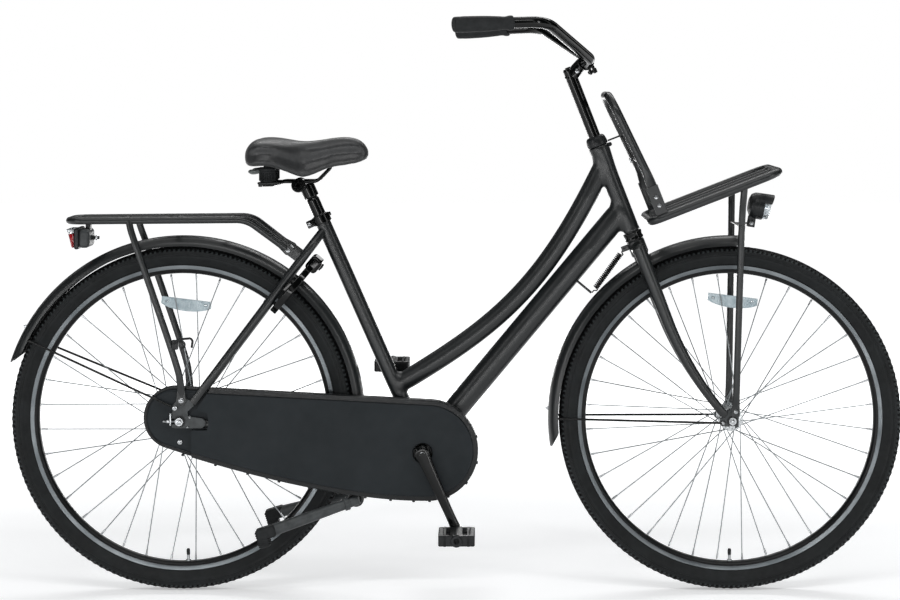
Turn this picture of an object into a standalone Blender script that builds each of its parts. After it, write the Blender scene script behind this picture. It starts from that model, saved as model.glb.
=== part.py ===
"""A transport bicycle: step-through frame, front carrier on the fork, rear carrier, chain case and coaster hub.

Metres, +X forwards, +Y to the rider's left, +Z up. The origin is on the ground, midway between the wheels.
"""

import math

import bmesh
import bpy
import numpy as np
from mathutils import Matrix, Vector

# Driving dimensions: wheels
WHEELBASE = 1.132
TYRE_RADIUS = 0.356
TYRE_WIDTH = 0.047
TYRE_WALL = 0.003
RIM_FLANGE_RADIUS = 0.316
RIM_INNER_RADIUS = 0.298
RIM_WIDTH = 0.025
RIM_WALL = 0.0022
BEAD_GAP = 0.0018
LIP_GAP = 0.00105
SPOKE_COUNT = 36
VALVE_RADIUS = 0.0035
SPOKE_RADIUS = 0.001
WHEEL_STEPS = 32

# Driving dimensions: frame
BRACKET_DROP = 0.064
CHAIN_STAY_LENGTH = 0.5015
SEAT_ANGLE = math.radians(66.0)
SEAT_TUBE_LENGTH = 0.530
SEAT_TUBE_RADIUS = 0.0155
HEAD_ANGLE = math.radians(68.7)
HEAD_TUBE_LENGTH = 0.190
HEAD_TUBE_RADIUS = 0.018
HEAD_FLARE = 0.0035
LOWER_STACK = 0.019
FORK_LENGTH = 0.413
FORK_RAKE = 0.0493
TOP_TUBE_RADIUS = 0.020
DOWN_TUBE_RADIUS = 0.0248
DOWN_TUBE_RISE = 0.050
TOP_TUBE_DROP = 0.036
TOP_TUBE_FOOT = 0.140
TOP_TUBE_UPPER_LEAN = math.radians(64.5)
TOP_TUBE_LOWER_LEAN = math.radians(31.0)
BRACKET_SHELL_RADIUS = 0.021
BRACKET_SHELL_WIDTH = 0.068
STAY_RADIUS = 0.009
DROPOUT_SPREAD = 0.058
PLATE = 0.005
AXLE_RADIUS = 0.0050
LUG_REACH = 0.0326
LUG_SPREAD = 0.0410
STAND_PLATE_SHARE = 0.135
REAR_HUB_LEFT = 0.041
REAR_HUB_RIGHT = 0.036

# Driving dimensions: steering
STEERER_RADIUS = 0.0143
QUILL_RADIUS = 0.0124
BLADE_TOP_RADIUS = 0.0140
BLADE_TIP_RADIUS = 0.0085
BLADE_SPREAD = 0.046
FORK_DROPOUT_SPREAD = 0.053
STEM_HEIGHT = 0.794
STEM_REACH = 0.0385
BAR_RADIUS = 0.0111
BAR_CLAMP_RADIUS = 0.0127
BAR_HALF_WIDTH = 0.315
GRIP_LENGTH = 0.122
GRIP_RADIUS = 0.0158

# Driving dimensions: drive
CRANK_LENGTH = 0.170
CRANK_ANGLE = math.radians(-65.5)
CHAINRING_TEETH = 38
SPROCKET_TEETH = 19
CHAIN_PITCH = 0.0127
CHAIN_LINE = 0.045
CHAIN_WIDTH = 0.009
SPROCKET_THICKNESS = 0.0025
CHAIN_HEIGHT = 0.0085
CASE_INNER = 0.036
CASE_OUTER = 0.066
CASE_WALL = 0.0016
CAP_OUTER = 0.0520
CASE_HOLE = 0.0205
CASE_REAR_MARGIN = 0.0269
CASE_FRONT_MARGIN = 0.0263
SPINDLE_RADIUS = 0.0085
SPINDLE_REACH = 0.0620
CARTRIDGE_RADIUS = 0.0180
CRANK_PLANE = 0.0795
PEDAL_AXLE_RADIUS = 0.0050
TENSIONER_PLATE = 0.0020
PEDAL_LENGTH = 0.072
PEDAL_WIDTH = 0.090
PEDAL_START = 0.098

# Driving dimensions: seat, carriers, fenders
POST_RADIUS = 0.0130
POST_NECK_RADIUS = 0.0110
SADDLE_CLAMP_BACK = -0.0418
SADDLE_CLAMP_RISE = 0.0609
SADDLE_TAIL = -0.1102
PAN_BOTTOM = 0.0490
PAN_TOP = 0.0528
RAIL_SPREAD = 0.0235
CLAMP_RADIUS = 0.0145
CLAMP_BOLT_RADIUS = 0.0050
SADDLE_LENGTH = 0.2525
SADDLE_HALF_WIDTH = 0.108
RAIL_RADIUS = 0.0035
REAR_CARRIER_HEIGHT = 0.7685
REAR_CARRIER_HALF_WIDTH = 0.060
REAR_CARRIER_OVERHANG = 0.231
CARRIER_TUBE_RADIUS = 0.007
PLATFORM_LENGTH = 0.274
PLATFORM_HALF_WIDTH = 0.112
PLATFORM_HEIGHT = 0.446
PLATFORM_START = 0.031
PLATFORM_TUBE_RADIUS = 0.008
BACKREST_TUBE_RADIUS = 0.0086
BACKREST_TOP = 0.713
BACKREST_BAR = 0.568
LEG_AHEAD = 0.2425
LAMP_HEIGHT = 0.756
FENDER_RADIUS = 0.376
FENDER_HALF_WIDTH = 0.029
FENDER_DEPTH = 0.020
FENDER_WALL = 0.0014
STAY_WIRE_RADIUS = 0.0021
LOCK_RING_RADIUS = 0.0625
LOCK_BOW_RADIUS = 0.0040
LOCK_ANGLE = math.radians(49.7)
LOCK_DISTANCE = 0.349
STAND_AHEAD = 0.359
STAND_HEIGHT = 0.191
STAND_BAR_RADIUS = 0.0080
STAND_LEG_LENGTH = 0.182
STAND_FOLD_ANGLE = math.radians(197.0)
STAND_PIVOT_SPREAD = 0.052
STAND_FOOT_SPREAD = 0.100

# Driving dimensions: springs
SPRING_TURNS = 14
SPRING_RADIUS = 0.0042
SPRING_WIRE = 0.0009
SPRING_POINTS = 8
SPRING_LENGTH = 0.11387
SPRING_LEAN = math.radians(3.758)

# Named clearances
SEAT_GAP = 0.0003
RUNNING_GAP = 0.0010
SLOT_GAP = 0.0005
HUB_GAP = 0.0012
DRIVER_GAP = 0.0020

# Places and openings that follow from the sizes above
SLOT_HALF = AXLE_RADIUS + SLOT_GAP
HUB_BORE = AXLE_RADIUS + HUB_GAP
DRIVER_BORE = AXLE_RADIUS + DRIVER_GAP
FRONT_AXLE = Vector((WHEELBASE / 2, 0, TYRE_RADIUS))
REAR_AXLE = Vector((-WHEELBASE / 2, 0, TYRE_RADIUS))
BRACKET = Vector((
    REAR_AXLE.x + math.sqrt(CHAIN_STAY_LENGTH ** 2 - BRACKET_DROP ** 2), 0, TYRE_RADIUS - BRACKET_DROP,
))
SEAT_LINE = Vector((-math.cos(SEAT_ANGLE), 0, math.sin(SEAT_ANGLE)))
SEAT_TOP = BRACKET + SEAT_LINE * SEAT_TUBE_LENGTH
STEER_UP = Vector((-math.cos(HEAD_ANGLE), 0, math.sin(HEAD_ANGLE)))
STEER_AHEAD = Vector((math.sin(HEAD_ANGLE), 0, math.cos(HEAD_ANGLE)))
STEER_FOOT = FRONT_AXLE - STEER_AHEAD * FORK_RAKE
HEAD_BOTTOM = FORK_LENGTH + LOWER_STACK
HEAD_TOP = HEAD_BOTTOM + HEAD_TUBE_LENGTH
SIDE = Matrix.Rotation(math.pi / 2, 4, "X")
STAY_HEAD = BRACKET + SEAT_LINE * 0.487 + Vector((-0.0137, 0, 0))
STAY_FOOT = REAR_AXLE + Vector((0.0265, 0, 0.0370))
STAY_WAY = (STAY_FOOT - STAY_HEAD).normalized()
STAY_BACK = Vector((STAY_WAY.z, 0, -STAY_WAY.x))
STAY_BRIDGE = STAY_HEAD + STAY_WAY * 0.0645
REAR_CARRIER_END = REAR_AXLE.x - REAR_CARRIER_OVERHANG
STAND_PIVOT = (REAR_AXLE.x + STAND_AHEAD, STAND_HEIGHT)

MATERIALS = {
    "frame_paint": ("#232627", 0.55, 0.2),
    "gloss_paint": ("#101112", 0.22, 0.3),
    "case_vinyl": ("#2c3133", 0.6, 0.0),
    "black_plastic": ("#1b1d1e", 0.5, 0.0),
    "tyre_rubber": ("#1a1c1d", 0.85, 0.0),
    "grip_rubber": ("#242627", 0.8, 0.0),
    "saddle_skin": ("#3a3b3b", 0.5, 0.0),
    "zinc_steel": ("#b4b6b8", 0.35, 1.0),
    "rim_metal": ("#2a2c2e", 0.45, 0.7),
    "chain_steel": ("#77716a", 0.4, 1.0),
    "red_lens": ("#a8141c", 0.15, 0.0),
    "clear_lens": ("#c9ced1", 0.1, 0.0),
    "reflector": ("#b9c6cb", 0.25, 0.0),
}


def clear_scene():
    for obj in list(bpy.data.objects):
        bpy.data.objects.remove(obj)


clear_scene()
PARTS = bpy.data.collections.new("cargo_bike")
bpy.context.scene.collection.children.link(PARTS)


def srgb_to_linear(hex_colour):
    channels = [int(hex_colour[i:i + 2], 16) / 255 for i in (1, 3, 5)]
    return [c / 12.92 if c <= 0.04045 else ((c + 0.055) / 1.055) ** 2.4 for c in channels]


def make_material(name):
    """A Principled material with the part's own colour, roughness and metallic value."""
    hex_colour, roughness, metallic = MATERIALS[name]
    material = bpy.data.materials.new(name)
    material.use_nodes = True
    shader = material.node_tree.nodes["Principled BSDF"]
    shader.inputs["Base Color"].default_value = (*srgb_to_linear(hex_colour), 1)
    shader.inputs["Roughness"].default_value = roughness
    shader.inputs["Metallic"].default_value = metallic
    material.diffuse_color = (*srgb_to_linear(hex_colour), 1)
    return material


FINISHES = {name: make_material(name) for name in MATERIALS}


def steer_point(ahead, across, up):
    """A point given from the foot of the steering axis: ahead of it, across it and up along it."""
    return STEER_FOOT + STEER_AHEAD * ahead + Vector((0, across, 0)) + STEER_UP * up


def axis_at(name, place, parent=None):
    """An empty on a joint's axis, for the pieces that turn or slide there."""
    empty = bpy.data.objects.new(name, None)
    PARTS.objects.link(empty)
    empty.empty_display_size = 0.05
    empty.location = place
    if parent:
        bpy.context.view_layer.update()
        empty.parent = parent
        empty.matrix_parent_inverse = parent.matrix_world.inverted()
    bpy.context.view_layer.update()
    return empty


def finish(obj, name, finish_name, parent=None):
    """Names a piece, gives it its own material and hangs it on its joint's empty."""
    obj.name = name
    obj.data.name = name
    obj.data.materials.clear()
    material = FINISHES[finish_name].copy()
    material.name = name + "_" + finish_name
    obj.data.materials.append(material)
    obj.data.shade_smooth()
    obj.data.set_sharp_from_angle(angle=math.radians(38))
    if parent:
        obj.parent = parent
        obj.matrix_parent_inverse = parent.matrix_world.inverted()
    return obj


def object_from(bm, matrix=Matrix()):
    """A mesh object in world space from a bmesh, its faces pointing out."""
    bm.transform(matrix)
    bmesh.ops.recalc_face_normals(bm, faces=bm.faces)
    if bm.calc_volume(signed=True) < 0:
        bmesh.ops.reverse_faces(bm, faces=bm.faces)
    mesh = bpy.data.meshes.new("piece")
    bm.to_mesh(mesh)
    bm.free()
    obj = bpy.data.objects.new("piece", mesh)
    PARTS.objects.link(obj)
    return obj


def baked(obj):
    """The closed mesh that a curve, or an object with modifiers, makes in world space."""
    graph = bpy.context.evaluated_depsgraph_get()
    mesh = bpy.data.meshes.new_from_object(obj.evaluated_get(graph))
    bm = bmesh.new()
    bm.from_mesh(mesh)
    bmesh.ops.remove_doubles(bm, verts=bm.verts, dist=1e-6)
    result = object_from(bm, obj.matrix_world)
    bpy.data.objects.remove(obj)
    bpy.data.meshes.remove(mesh)
    return result


def aim(start, end):
    """The matrix that lays local Z along the line from start to end, with its origin at the middle."""
    line = end - start
    return Matrix.Translation((start + end) / 2) @ line.to_track_quat("Z", "Y").to_matrix().to_4x4()


def cylinder(start, end, radius, sides=16, end_radius=None):
    start, end = Vector(start), Vector(end)
    bm = bmesh.new()
    bmesh.ops.create_cone(
        bm, cap_ends=True, segments=sides, radius1=radius,
        radius2=radius if end_radius is None else end_radius, depth=(end - start).length,
    )
    return object_from(bm, aim(start, end))


def bore(start, end, radius, sides=12):
    """A cutter for a round hole; its flats, and not its corners, lie at the radius."""
    return cylinder(start, end, radius / math.cos(math.pi / sides), sides)


def box(size, centre, matrix=Matrix()):
    bm = bmesh.new()
    bmesh.ops.create_cube(bm, size=1, matrix=Matrix.Diagonal((*size, 1)))
    return object_from(bm, Matrix.Translation(centre) @ matrix)


def rounded_box(size, centre, radius, matrix=Matrix(), segments=2):
    """A box whose edges are rounded."""
    obj = box(size, (0, 0, 0))
    bevel = obj.modifiers.new("edges", "BEVEL")
    bevel.width = radius
    bevel.segments = segments
    obj.matrix_world = Matrix.Translation(centre) @ matrix
    bpy.context.view_layer.update()
    return baked(obj)


def tube(points, radius, sides=8, scales=None, closed=False):
    """A round bar along a line of points, with closed ends; scales widen or narrow it at each point."""
    curve = bpy.data.curves.new("tube", "CURVE")
    curve.dimensions = "3D"
    curve.bevel_depth = radius
    curve.bevel_resolution = (sides - 4) // 2
    curve.use_fill_caps = not closed
    spline = curve.splines.new("POLY")
    spline.points.add(len(points) - 1)
    for i, (slot, place) in enumerate(zip(spline.points, points)):
        slot.co = (*place, 1)
        slot.radius = scales[i] if scales else 1
    spline.use_cyclic_u = closed
    obj = bpy.data.objects.new("tube", curve)
    PARTS.objects.link(obj)
    bpy.context.view_layer.update()
    return baked(obj)


def plate(outlines, thickness, matrix):
    """A flat plate from closed outlines in its own XY plane; inner outlines are holes."""
    curve = bpy.data.curves.new("plate", "CURVE")
    curve.dimensions = "2D"
    curve.fill_mode = "BOTH"
    curve.extrude = thickness / 2
    for outline in outlines:
        spline = curve.splines.new("POLY")
        spline.points.add(len(outline) - 1)
        for slot, (x, y) in zip(spline.points, outline):
            slot.co = (x, y, 0, 1)
        spline.use_cyclic_u = True
    obj = bpy.data.objects.new("plate", curve)
    PARTS.objects.link(obj)
    obj.matrix_world = matrix
    bpy.context.view_layer.update()
    return baked(obj)


def turned(profile, matrix, steps=24, closed=False, angle=math.tau):
    """A turned piece: a profile of (radius, height) swept about local Z. A closed profile makes a ring."""
    mesh = bpy.data.meshes.new("profile")
    count = len(profile)
    edges = [(i, (i + 1) % count) for i in range(count if closed else count - 1)]
    mesh.from_pydata([(r, 0, h) for r, h in profile], edges, [])
    obj = bpy.data.objects.new("turned", mesh)
    PARTS.objects.link(obj)
    screw = obj.modifiers.new("turn", "SCREW")
    screw.angle = angle
    screw.steps = steps
    screw.render_steps = steps
    screw.use_merge_vertices = angle == math.tau
    screw.merge_threshold = 1e-5
    obj.matrix_world = matrix
    bpy.context.view_layer.update()
    return baked(obj)


def loft(rings):
    """A closed solid through rings of equal point counts."""
    bm = bmesh.new()
    loops = [[bm.verts.new(p) for p in ring] for ring in rings]
    count = len(loops[0])
    for near, far in zip(loops, loops[1:]):
        for i in range(count):
            j = (i + 1) % count
            bm.faces.new((near[i], near[j], far[j], far[i]))
    bm.faces.new(loops[0])
    bm.faces.new(loops[-1])
    return object_from(bm)


def slab(outlines, side_from, side_to):
    """A plate in the side view that fills the space between two distances across the bicycle."""
    return plate(outlines, abs(side_to - side_from), facing_side((0, 0, 0), (side_from + side_to) / 2))


def boolean(obj, others, operation):
    for other in others:
        modifier = obj.modifiers.new(operation.lower(), "BOOLEAN")
        modifier.operation = operation
        modifier.solver = "EXACT"
        modifier.object = other
    bpy.context.view_layer.update()
    result = baked(obj)
    for other in others:
        bpy.data.objects.remove(other)
    return result


def welded(*pieces):
    """Pieces joined as a weld joins them: one body."""
    return boolean(pieces[0], pieces[1:], "UNION")


def cut(obj, *cutters):
    return boolean(obj, cutters, "DIFFERENCE")


def gathered(pieces):
    """Pieces that don't touch, as one object, for one Boolean."""
    bm = bmesh.new()
    for piece in pieces:
        bm.from_mesh(piece.data)
        bpy.data.objects.remove(piece)
    return object_from(bm)


def arc(centre, radius, start, end, steps):
    """Points (x, y) along an arc, its angles in radians."""
    return [
        (centre[0] + radius * math.cos(a), centre[1] + radius * math.sin(a))
        for a in np.linspace(start, end, steps + 1)
    ]


def filleted(corners, radii, steps=5):
    """A path through corners, each inner one rounded to its radius."""
    corners = [Vector(c) for c in corners]
    path = [corners[0]]
    for before, corner, after, radius in zip(corners, corners[1:], corners[2:], radii):
        into, out = (before - corner).normalized(), (after - corner).normalized()
        half = into.angle(out) / 2
        back = radius / math.tan(half)
        middle = corner + (into + out).normalized() * (radius / math.sin(half))
        first, last = corner + into * back - middle, corner + out * back - middle
        turn = first.angle(last)
        for i in range(steps + 1):
            s = i / steps
            along = first * math.sin((1 - s) * turn) + last * math.sin(s * turn)
            path.append(middle + along / math.sin(turn))
    path.append(corners[-1])
    return path


def bezier(p0, p1, p2, p3, steps):
    """Points along a cubic curve."""
    return [
        p0 * (1 - t) ** 3 + p1 * 3 * t * (1 - t) ** 2 + p2 * 3 * t ** 2 * (1 - t) + p3 * t ** 3
        for t in np.linspace(0, 1, steps + 1)
    ]


def side_view(x, z):
    return Vector((x, 0, z))


def at(place, across):
    """The same place in the side view, moved across the bicycle (positive to the left)."""
    return Vector((place[0], across, place[2]))


def facing_side(centre, across=0.0):
    """A matrix whose XY plane is the side view, with local Z towards the bicycle's right."""
    return Matrix.Translation((centre[0], across, centre[2])) @ SIDE


DOWN_TUBE_LINE = (steer_point(0, 0, HEAD_BOTTOM + DOWN_TUBE_RISE) - BRACKET).normalized()
SPRING_HEAD = steer_point(-0.0275, 0, FORK_LENGTH - 0.009)
SPRING_FOOT = SPRING_HEAD - Matrix.Rotation(-SPRING_LEAN, 3, "Y") @ DOWN_TUBE_LINE * SPRING_LENGTH


# Frame
def build_main_frame():
    """Head tube, curved top tube, straight down tube, seat tube and bottom bracket shell, welded."""
    head_low, head_high = steer_point(0, 0, HEAD_BOTTOM), steer_point(0, 0, HEAD_TOP)
    head = cylinder(head_low, head_high, HEAD_TUBE_RADIUS, 16)
    head_flare = cylinder(steer_point(0, 0, HEAD_TOP - 0.030), head_high, HEAD_TUBE_RADIUS, 16,
                          HEAD_TUBE_RADIUS + HEAD_FLARE)
    top_start = steer_point(0, 0, HEAD_TOP - TOP_TUBE_DROP)
    top_end = BRACKET + SEAT_LINE * TOP_TUBE_FOOT
    upper = Vector((-math.cos(TOP_TUBE_UPPER_LEAN), 0, -math.sin(TOP_TUBE_UPPER_LEAN)))
    lower = Vector((math.cos(TOP_TUBE_LOWER_LEAN), 0, math.sin(TOP_TUBE_LOWER_LEAN)))
    span = (top_start - top_end).length
    path = bezier(top_start, top_start + upper * span * 0.47, top_end + lower * span * 0.37, top_end, 10)
    top_tube = tube(path, TOP_TUBE_RADIUS, 10)
    down_tube = cylinder(BRACKET, steer_point(0, 0, HEAD_BOTTOM + DOWN_TUBE_RISE), DOWN_TUBE_RADIUS, 14)
    seat_tube = cylinder(BRACKET, SEAT_TOP, SEAT_TUBE_RADIUS, 14)
    half = BRACKET_SHELL_WIDTH / 2
    shell = cylinder(at(BRACKET, half), at(BRACKET, -half), BRACKET_SHELL_RADIUS, 16)
    lug_root = BRACKET + DOWN_TUBE_LINE * (SPRING_FOOT - BRACKET).dot(DOWN_TUBE_LINE)
    spring_lug = cylinder(lug_root, SPRING_FOOT + (lug_root - SPRING_FOOT).normalized() * 0.0010, 0.0025, 8)
    frame = welded(down_tube, seat_tube, top_tube, head, head_flare, shell, spring_lug)
    head_bore = bore(steer_point(0, 0, HEAD_BOTTOM - 0.05), steer_point(0, 0, HEAD_TOP + 0.05),
                     STEERER_RADIUS + RUNNING_GAP)
    bracket_bore = bore(at(BRACKET, 0.06), at(BRACKET, -0.06), CARTRIDGE_RADIUS + SEAT_GAP)
    post_bore = bore(BRACKET + SEAT_LINE * 0.20, SEAT_TOP + SEAT_LINE * 0.05, POST_RADIUS + SEAT_GAP)
    return finish(cut(frame, head_bore, bracket_bore, post_bore), "main_frame", "frame_paint")


def lug_frame(across):
    """A matrix on the seat stays' bridge, local X backwards and up from the stays, local Y along them."""
    turn = Matrix((STAY_BACK, -STAY_WAY, Vector((0, 1, 0)))).transposed().to_4x4()
    return Matrix.Translation(at(STAY_BRIDGE, across)) @ turn


def over_fender(axle, place, above=0.0):
    """The point over a fender, on the line from the axle to a place."""
    return axle + (place - axle).normalized() * (FENDER_RADIUS + FENDER_WALL / 2 + SEAT_GAP + above)


def along_stays():
    """The turn that lays local X along the chain stays, towards the rear axle."""
    line = REAR_AXLE - BRACKET
    return Matrix.Rotation(math.atan2(line.z, -line.x), 4, "Y")


def dropout(across):
    """Slotted rear dropout plate with its ears for the carrier leg and the fender stay."""
    outline = (
        arc((0.0035, 0.0428), 0.0110, math.radians(10), math.radians(190), 4)
        + arc((-0.0094, 0.0275), 0.0072, math.radians(120), math.radians(230), 2)
        + [(-0.0165, 0.0160), (-0.0165, SLOT_HALF), (SLOT_HALF, SLOT_HALF)]
        + [(SLOT_HALF, -SLOT_HALF), (-0.0165, -SLOT_HALF), (-0.0165, -0.0125), (-0.0080, -0.0146)]
        + arc((0.0420, -0.0040), 0.0106, math.radians(-90), math.radians(70), 3)
        + [(0.0170, 0.0100), (0.0160, 0.0200), (0.0290, 0.0310), (0.0270, 0.0420)]
    )
    return plate([outline], PLATE, facing_side(REAR_AXLE, across))


def build_rear_stays():
    """Chain stays, seat stays, bridges, lugs and dropouts, welded round the rear wheel."""
    right, left = [], []
    for side, pieces in ((-1, right), (1, left)):
        far = side * DROPOUT_SPREAD
        tip = side * (DROPOUT_SPREAD - PLATE / 2 - 0.0030)
        along = REAR_AXLE - BRACKET
        chain_stay = tube(
            [at(BRACKET + along * 0.028, side * 0.0240), at(BRACKET + along * 0.36, side * 0.0425),
             at(BRACKET + along * 0.60, side * 0.0475), at(BRACKET + along * 0.84, side * 0.0508),
             at(BRACKET + along * 0.925, tip)],
            STAY_RADIUS, 8, [1.1, 1.08, 1.02, 0.95, 0.60])
        seat_stay = tube(
            [at(STAY_HEAD - STAY_WAY * 0.003, side * 0.0110), at(STAY_HEAD + STAY_WAY * 0.022, side * 0.0310),
             at(STAY_HEAD + STAY_WAY * 0.045, side * 0.0375), at(STAY_BRIDGE, side * 0.0390),
             at(STAY_HEAD.lerp(STAY_FOOT, 0.80), side * (DROPOUT_SPREAD + 0.002)),
             at(STAY_FOOT, side * (DROPOUT_SPREAD + 0.001))],
            STAY_RADIUS, 8, [0.9, 1, 1, 1, 0.9, 0.5])
        lug = plate([arc((LUG_REACH, 0), 0.0095, math.radians(-80), math.radians(80), 4) + [(0, 0.009), (0, -0.009)]],
                    0.004, lug_frame(side * LUG_SPREAD))
        pieces += [chain_stay, seat_stay, dropout(far), lug]
    stand_place = BRACKET + (REAR_AXLE - BRACKET) * STAND_PLATE_SHARE
    stand_plate = box((0.050, 0.062, 0.006), stand_place, along_stays())
    bridge = cylinder(at(STAY_BRIDGE, 0.036), at(STAY_BRIDGE, -0.036), 0.006, 8)
    fender_top = over_fender(REAR_AXLE, STAY_BRIDGE, 0.0046)
    fender_bridge = cylinder(at(fender_top, 0.038), at(fender_top, -0.038), 0.005, 8)
    stays = welded(*right, *left, stand_plate, bridge, fender_bridge)
    seat_cut = cylinder(BRACKET, SEAT_TOP, SEAT_TUBE_RADIUS + SEAT_GAP, 14)
    shell_cut = cylinder(at(BRACKET, 0.05), at(BRACKET, -0.05), BRACKET_SHELL_RADIUS + SEAT_GAP, 16)
    return finish(cut(stays, seat_cut, shell_cut), "rear_stays", "frame_paint")


def build_head_parts():
    """Lower bearing cup and the rounded cap over the upper bearing."""
    lower = turned(
        [(STEERER_RADIUS + RUNNING_GAP, LOWER_STACK - 0.0015), (0.0195, LOWER_STACK - 0.0015), (0.0185, 0.009),
         (0.0195, 0.0015), (STEERER_RADIUS + RUNNING_GAP, 0.0015)],
        steer_frame(FORK_LENGTH), 12, closed=True)
    finish(lower, "lower_head_cup", "gloss_paint")
    wide = HEAD_TUBE_RADIUS + HEAD_FLARE
    cap = turned(
        [(QUILL_RADIUS + 0.0006, 0.0220), (0.0160, 0.0220), (wide - 0.0015, 0.0170),
         (wide + 0.0005, 0.0080), (wide, 0.0012), (QUILL_RADIUS + 0.0022, 0.0012)],
        steer_frame(HEAD_TOP), 14, closed=True)
    finish(cap, "head_cap", "black_plastic", STEERING)


def steer_frame(up):
    """A matrix on the steering axis, local Z up along it and local X ahead."""
    place = steer_point(0, 0, up)
    turn = Matrix((STEER_AHEAD, Vector((0, 1, 0)), STEER_UP)).transposed().to_4x4()
    return Matrix.Translation(place) @ turn


def steer_turn():
    """The turn of the steering axis alone."""
    return steer_frame(0).to_3x3().to_4x4()


def build_seat_collar():
    """Clamp ring at the top of the seat tube, with its ears at the back and a bolt across them."""
    low, high = SEAT_TOP - SEAT_LINE * 0.020, SEAT_TOP - SEAT_LINE * 0.002
    ring = cylinder(low, high, SEAT_TUBE_RADIUS + 0.0035, 14)
    behind = Vector((-math.sin(SEAT_ANGLE), 0, -math.cos(SEAT_ANGLE)))
    turn = Matrix((behind, Vector((0, 1, 0)), -SEAT_LINE)).transposed().to_4x4()
    middle = (low + high) / 2
    ears = box((0.020, 0.018, 0.016), middle + behind * (SEAT_TUBE_RADIUS + 0.0085), turn)
    bolt_place = middle + behind * (SEAT_TUBE_RADIUS + 0.0125)
    bolt = cylinder(at(bolt_place, 0.0135), at(bolt_place, -0.0145), 0.0042, 6)
    collar = welded(ring, ears, bolt)
    hole = cylinder(low - SEAT_LINE * 0.02, high + SEAT_LINE * 0.02, SEAT_TUBE_RADIUS + SEAT_GAP, 14)
    finish(cut(collar, hole), "seat_collar", "gloss_paint")


# Wheels
def wheel_frame(axle):
    """A matrix on a wheel's axle, turned so that a flat of the many-sided ring lies on the ground."""
    return facing_side(axle) @ Matrix.Rotation(math.pi / WHEEL_STEPS, 4, "Z")


def ring_radius(radius):
    """The corner radius of a many-sided ring whose flats lie at this radius."""
    return radius / math.cos(math.pi / WHEEL_STEPS)


def build_tyre(name, axle, spin):
    """An open carcass: a round crown over the rim, with beads that hook inside the rim's flanges."""
    half = TYRE_WIDTH / 2
    middle = (TYRE_RADIUS + RIM_FLANGE_RADIUS) / 2 + 0.002
    angles = np.linspace(math.radians(-34), math.radians(214), 6)
    rise = (TYRE_RADIUS - middle) / math.sin(angles[2])
    outside = [(ring_radius(middle + rise * math.sin(a)), half * math.cos(a)) for a in angles]
    inside = [
        (ring_radius(middle + (rise - TYRE_WALL) * math.sin(a)), (half - TYRE_WALL) * math.cos(a))
        for a in np.linspace(math.radians(200), math.radians(-20), 3)
    ]
    bead = RIM_WIDTH / 2 - RIM_WALL - BEAD_GAP
    hook = RIM_FLANGE_RADIUS - 0.004
    low = middle + rise * math.sin(angles[0])
    low_half = bead + (RIM_WIDTH / 2 - LIP_GAP - bead) * (low - hook) / (RIM_FLANGE_RADIUS - hook)
    outside[0], outside[-1] = (ring_radius(low), low_half), (ring_radius(low), -low_half)
    inside[0] = (inside[0][0], -low_half + SEAT_GAP)
    inside[-1] = (inside[-1][0], low_half - SEAT_GAP)
    profile = outside + [(hook, -bead), (hook, -bead + TYRE_WALL)]
    profile += inside + [(hook, bead - TYRE_WALL), (hook, bead)]
    return finish(turned(profile, wheel_frame(axle), WHEEL_STEPS, closed=True), name, "tyre_rubber", spin)


def build_rim(name, axle, spin, valve_angle):
    """A box-section rim with two flanges, drilled for the valve."""
    half = RIM_WIDTH / 2
    floor = RIM_FLANGE_RADIUS - 0.009
    profile = [
        (RIM_INNER_RADIUS, 0.006), (RIM_INNER_RADIUS + 0.006, half), (RIM_FLANGE_RADIUS, half),
        (floor, half - RIM_WALL), (floor, -half + RIM_WALL),
        (RIM_FLANGE_RADIUS, -half), (RIM_INNER_RADIUS + 0.006, -half), (RIM_INNER_RADIUS, -0.006),
    ]
    rim = turned([(ring_radius(r), z) for r, z in profile], wheel_frame(axle), WHEEL_STEPS, closed=True)
    way = Vector((math.cos(valve_angle), 0, math.sin(valve_angle)))
    hole = cylinder(axle + way * (RIM_INNER_RADIUS - 0.02), axle + way * (RIM_FLANGE_RADIUS + 0.02),
                    VALVE_RADIUS + 0.0008, 8)
    return finish(cut(rim, hole), name, "rim_metal", spin)


def build_inner_tube(name, axle, spin, valve_angle):
    """The air tube inside the tyre, with its valve through the rim."""
    bm = bmesh.new()
    steps, sides = 20, 4
    middle, radius = (TYRE_RADIUS + RIM_FLANGE_RADIUS) / 2 + 0.001, (TYRE_RADIUS - RIM_FLANGE_RADIUS) / 2 - 0.0075
    rings = []
    for a in np.linspace(0, math.tau, steps, endpoint=False):
        ring = []
        for b in np.linspace(0, math.tau, sides, endpoint=False):
            r = middle + radius * math.cos(b)
            ring.append(bm.verts.new((r * math.cos(a), r * math.sin(a), radius * math.sin(b))))
        rings.append(ring)
    for i in range(steps):
        near, far = rings[i], rings[(i + 1) % steps]
        for j in range(sides):
            k = (j + 1) % sides
            bm.faces.new((near[j], far[j], far[k], near[k]))
    ring = object_from(bm, facing_side(axle))
    way = Vector((math.cos(valve_angle), 0, math.sin(valve_angle)))
    valve = cylinder(axle + way * (middle - 0.004), axle + way * (RIM_INNER_RADIUS - 0.026), VALVE_RADIUS, 6)
    return finish(welded(ring, valve), name, "tyre_rubber", spin)


def spoke(axle, flange_radius, flange_side, lead, rim_angle, side):
    """One spoke, tangent to its flange, laced over three others."""
    hub_angle = rim_angle + lead * math.radians(60)
    offset = 0.0014 * lead
    start = Vector((flange_radius * math.cos(hub_angle), flange_radius * math.sin(hub_angle),
                    side * (flange_side + offset)))
    rim_reach = RIM_INNER_RADIUS - 0.0012
    end = Vector((rim_reach * math.cos(rim_angle), rim_reach * math.sin(rim_angle), side * (0.003 + offset)))
    place = facing_side(axle)
    return cylinder(place @ start, place @ end, SPOKE_RADIUS, 3)


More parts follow.
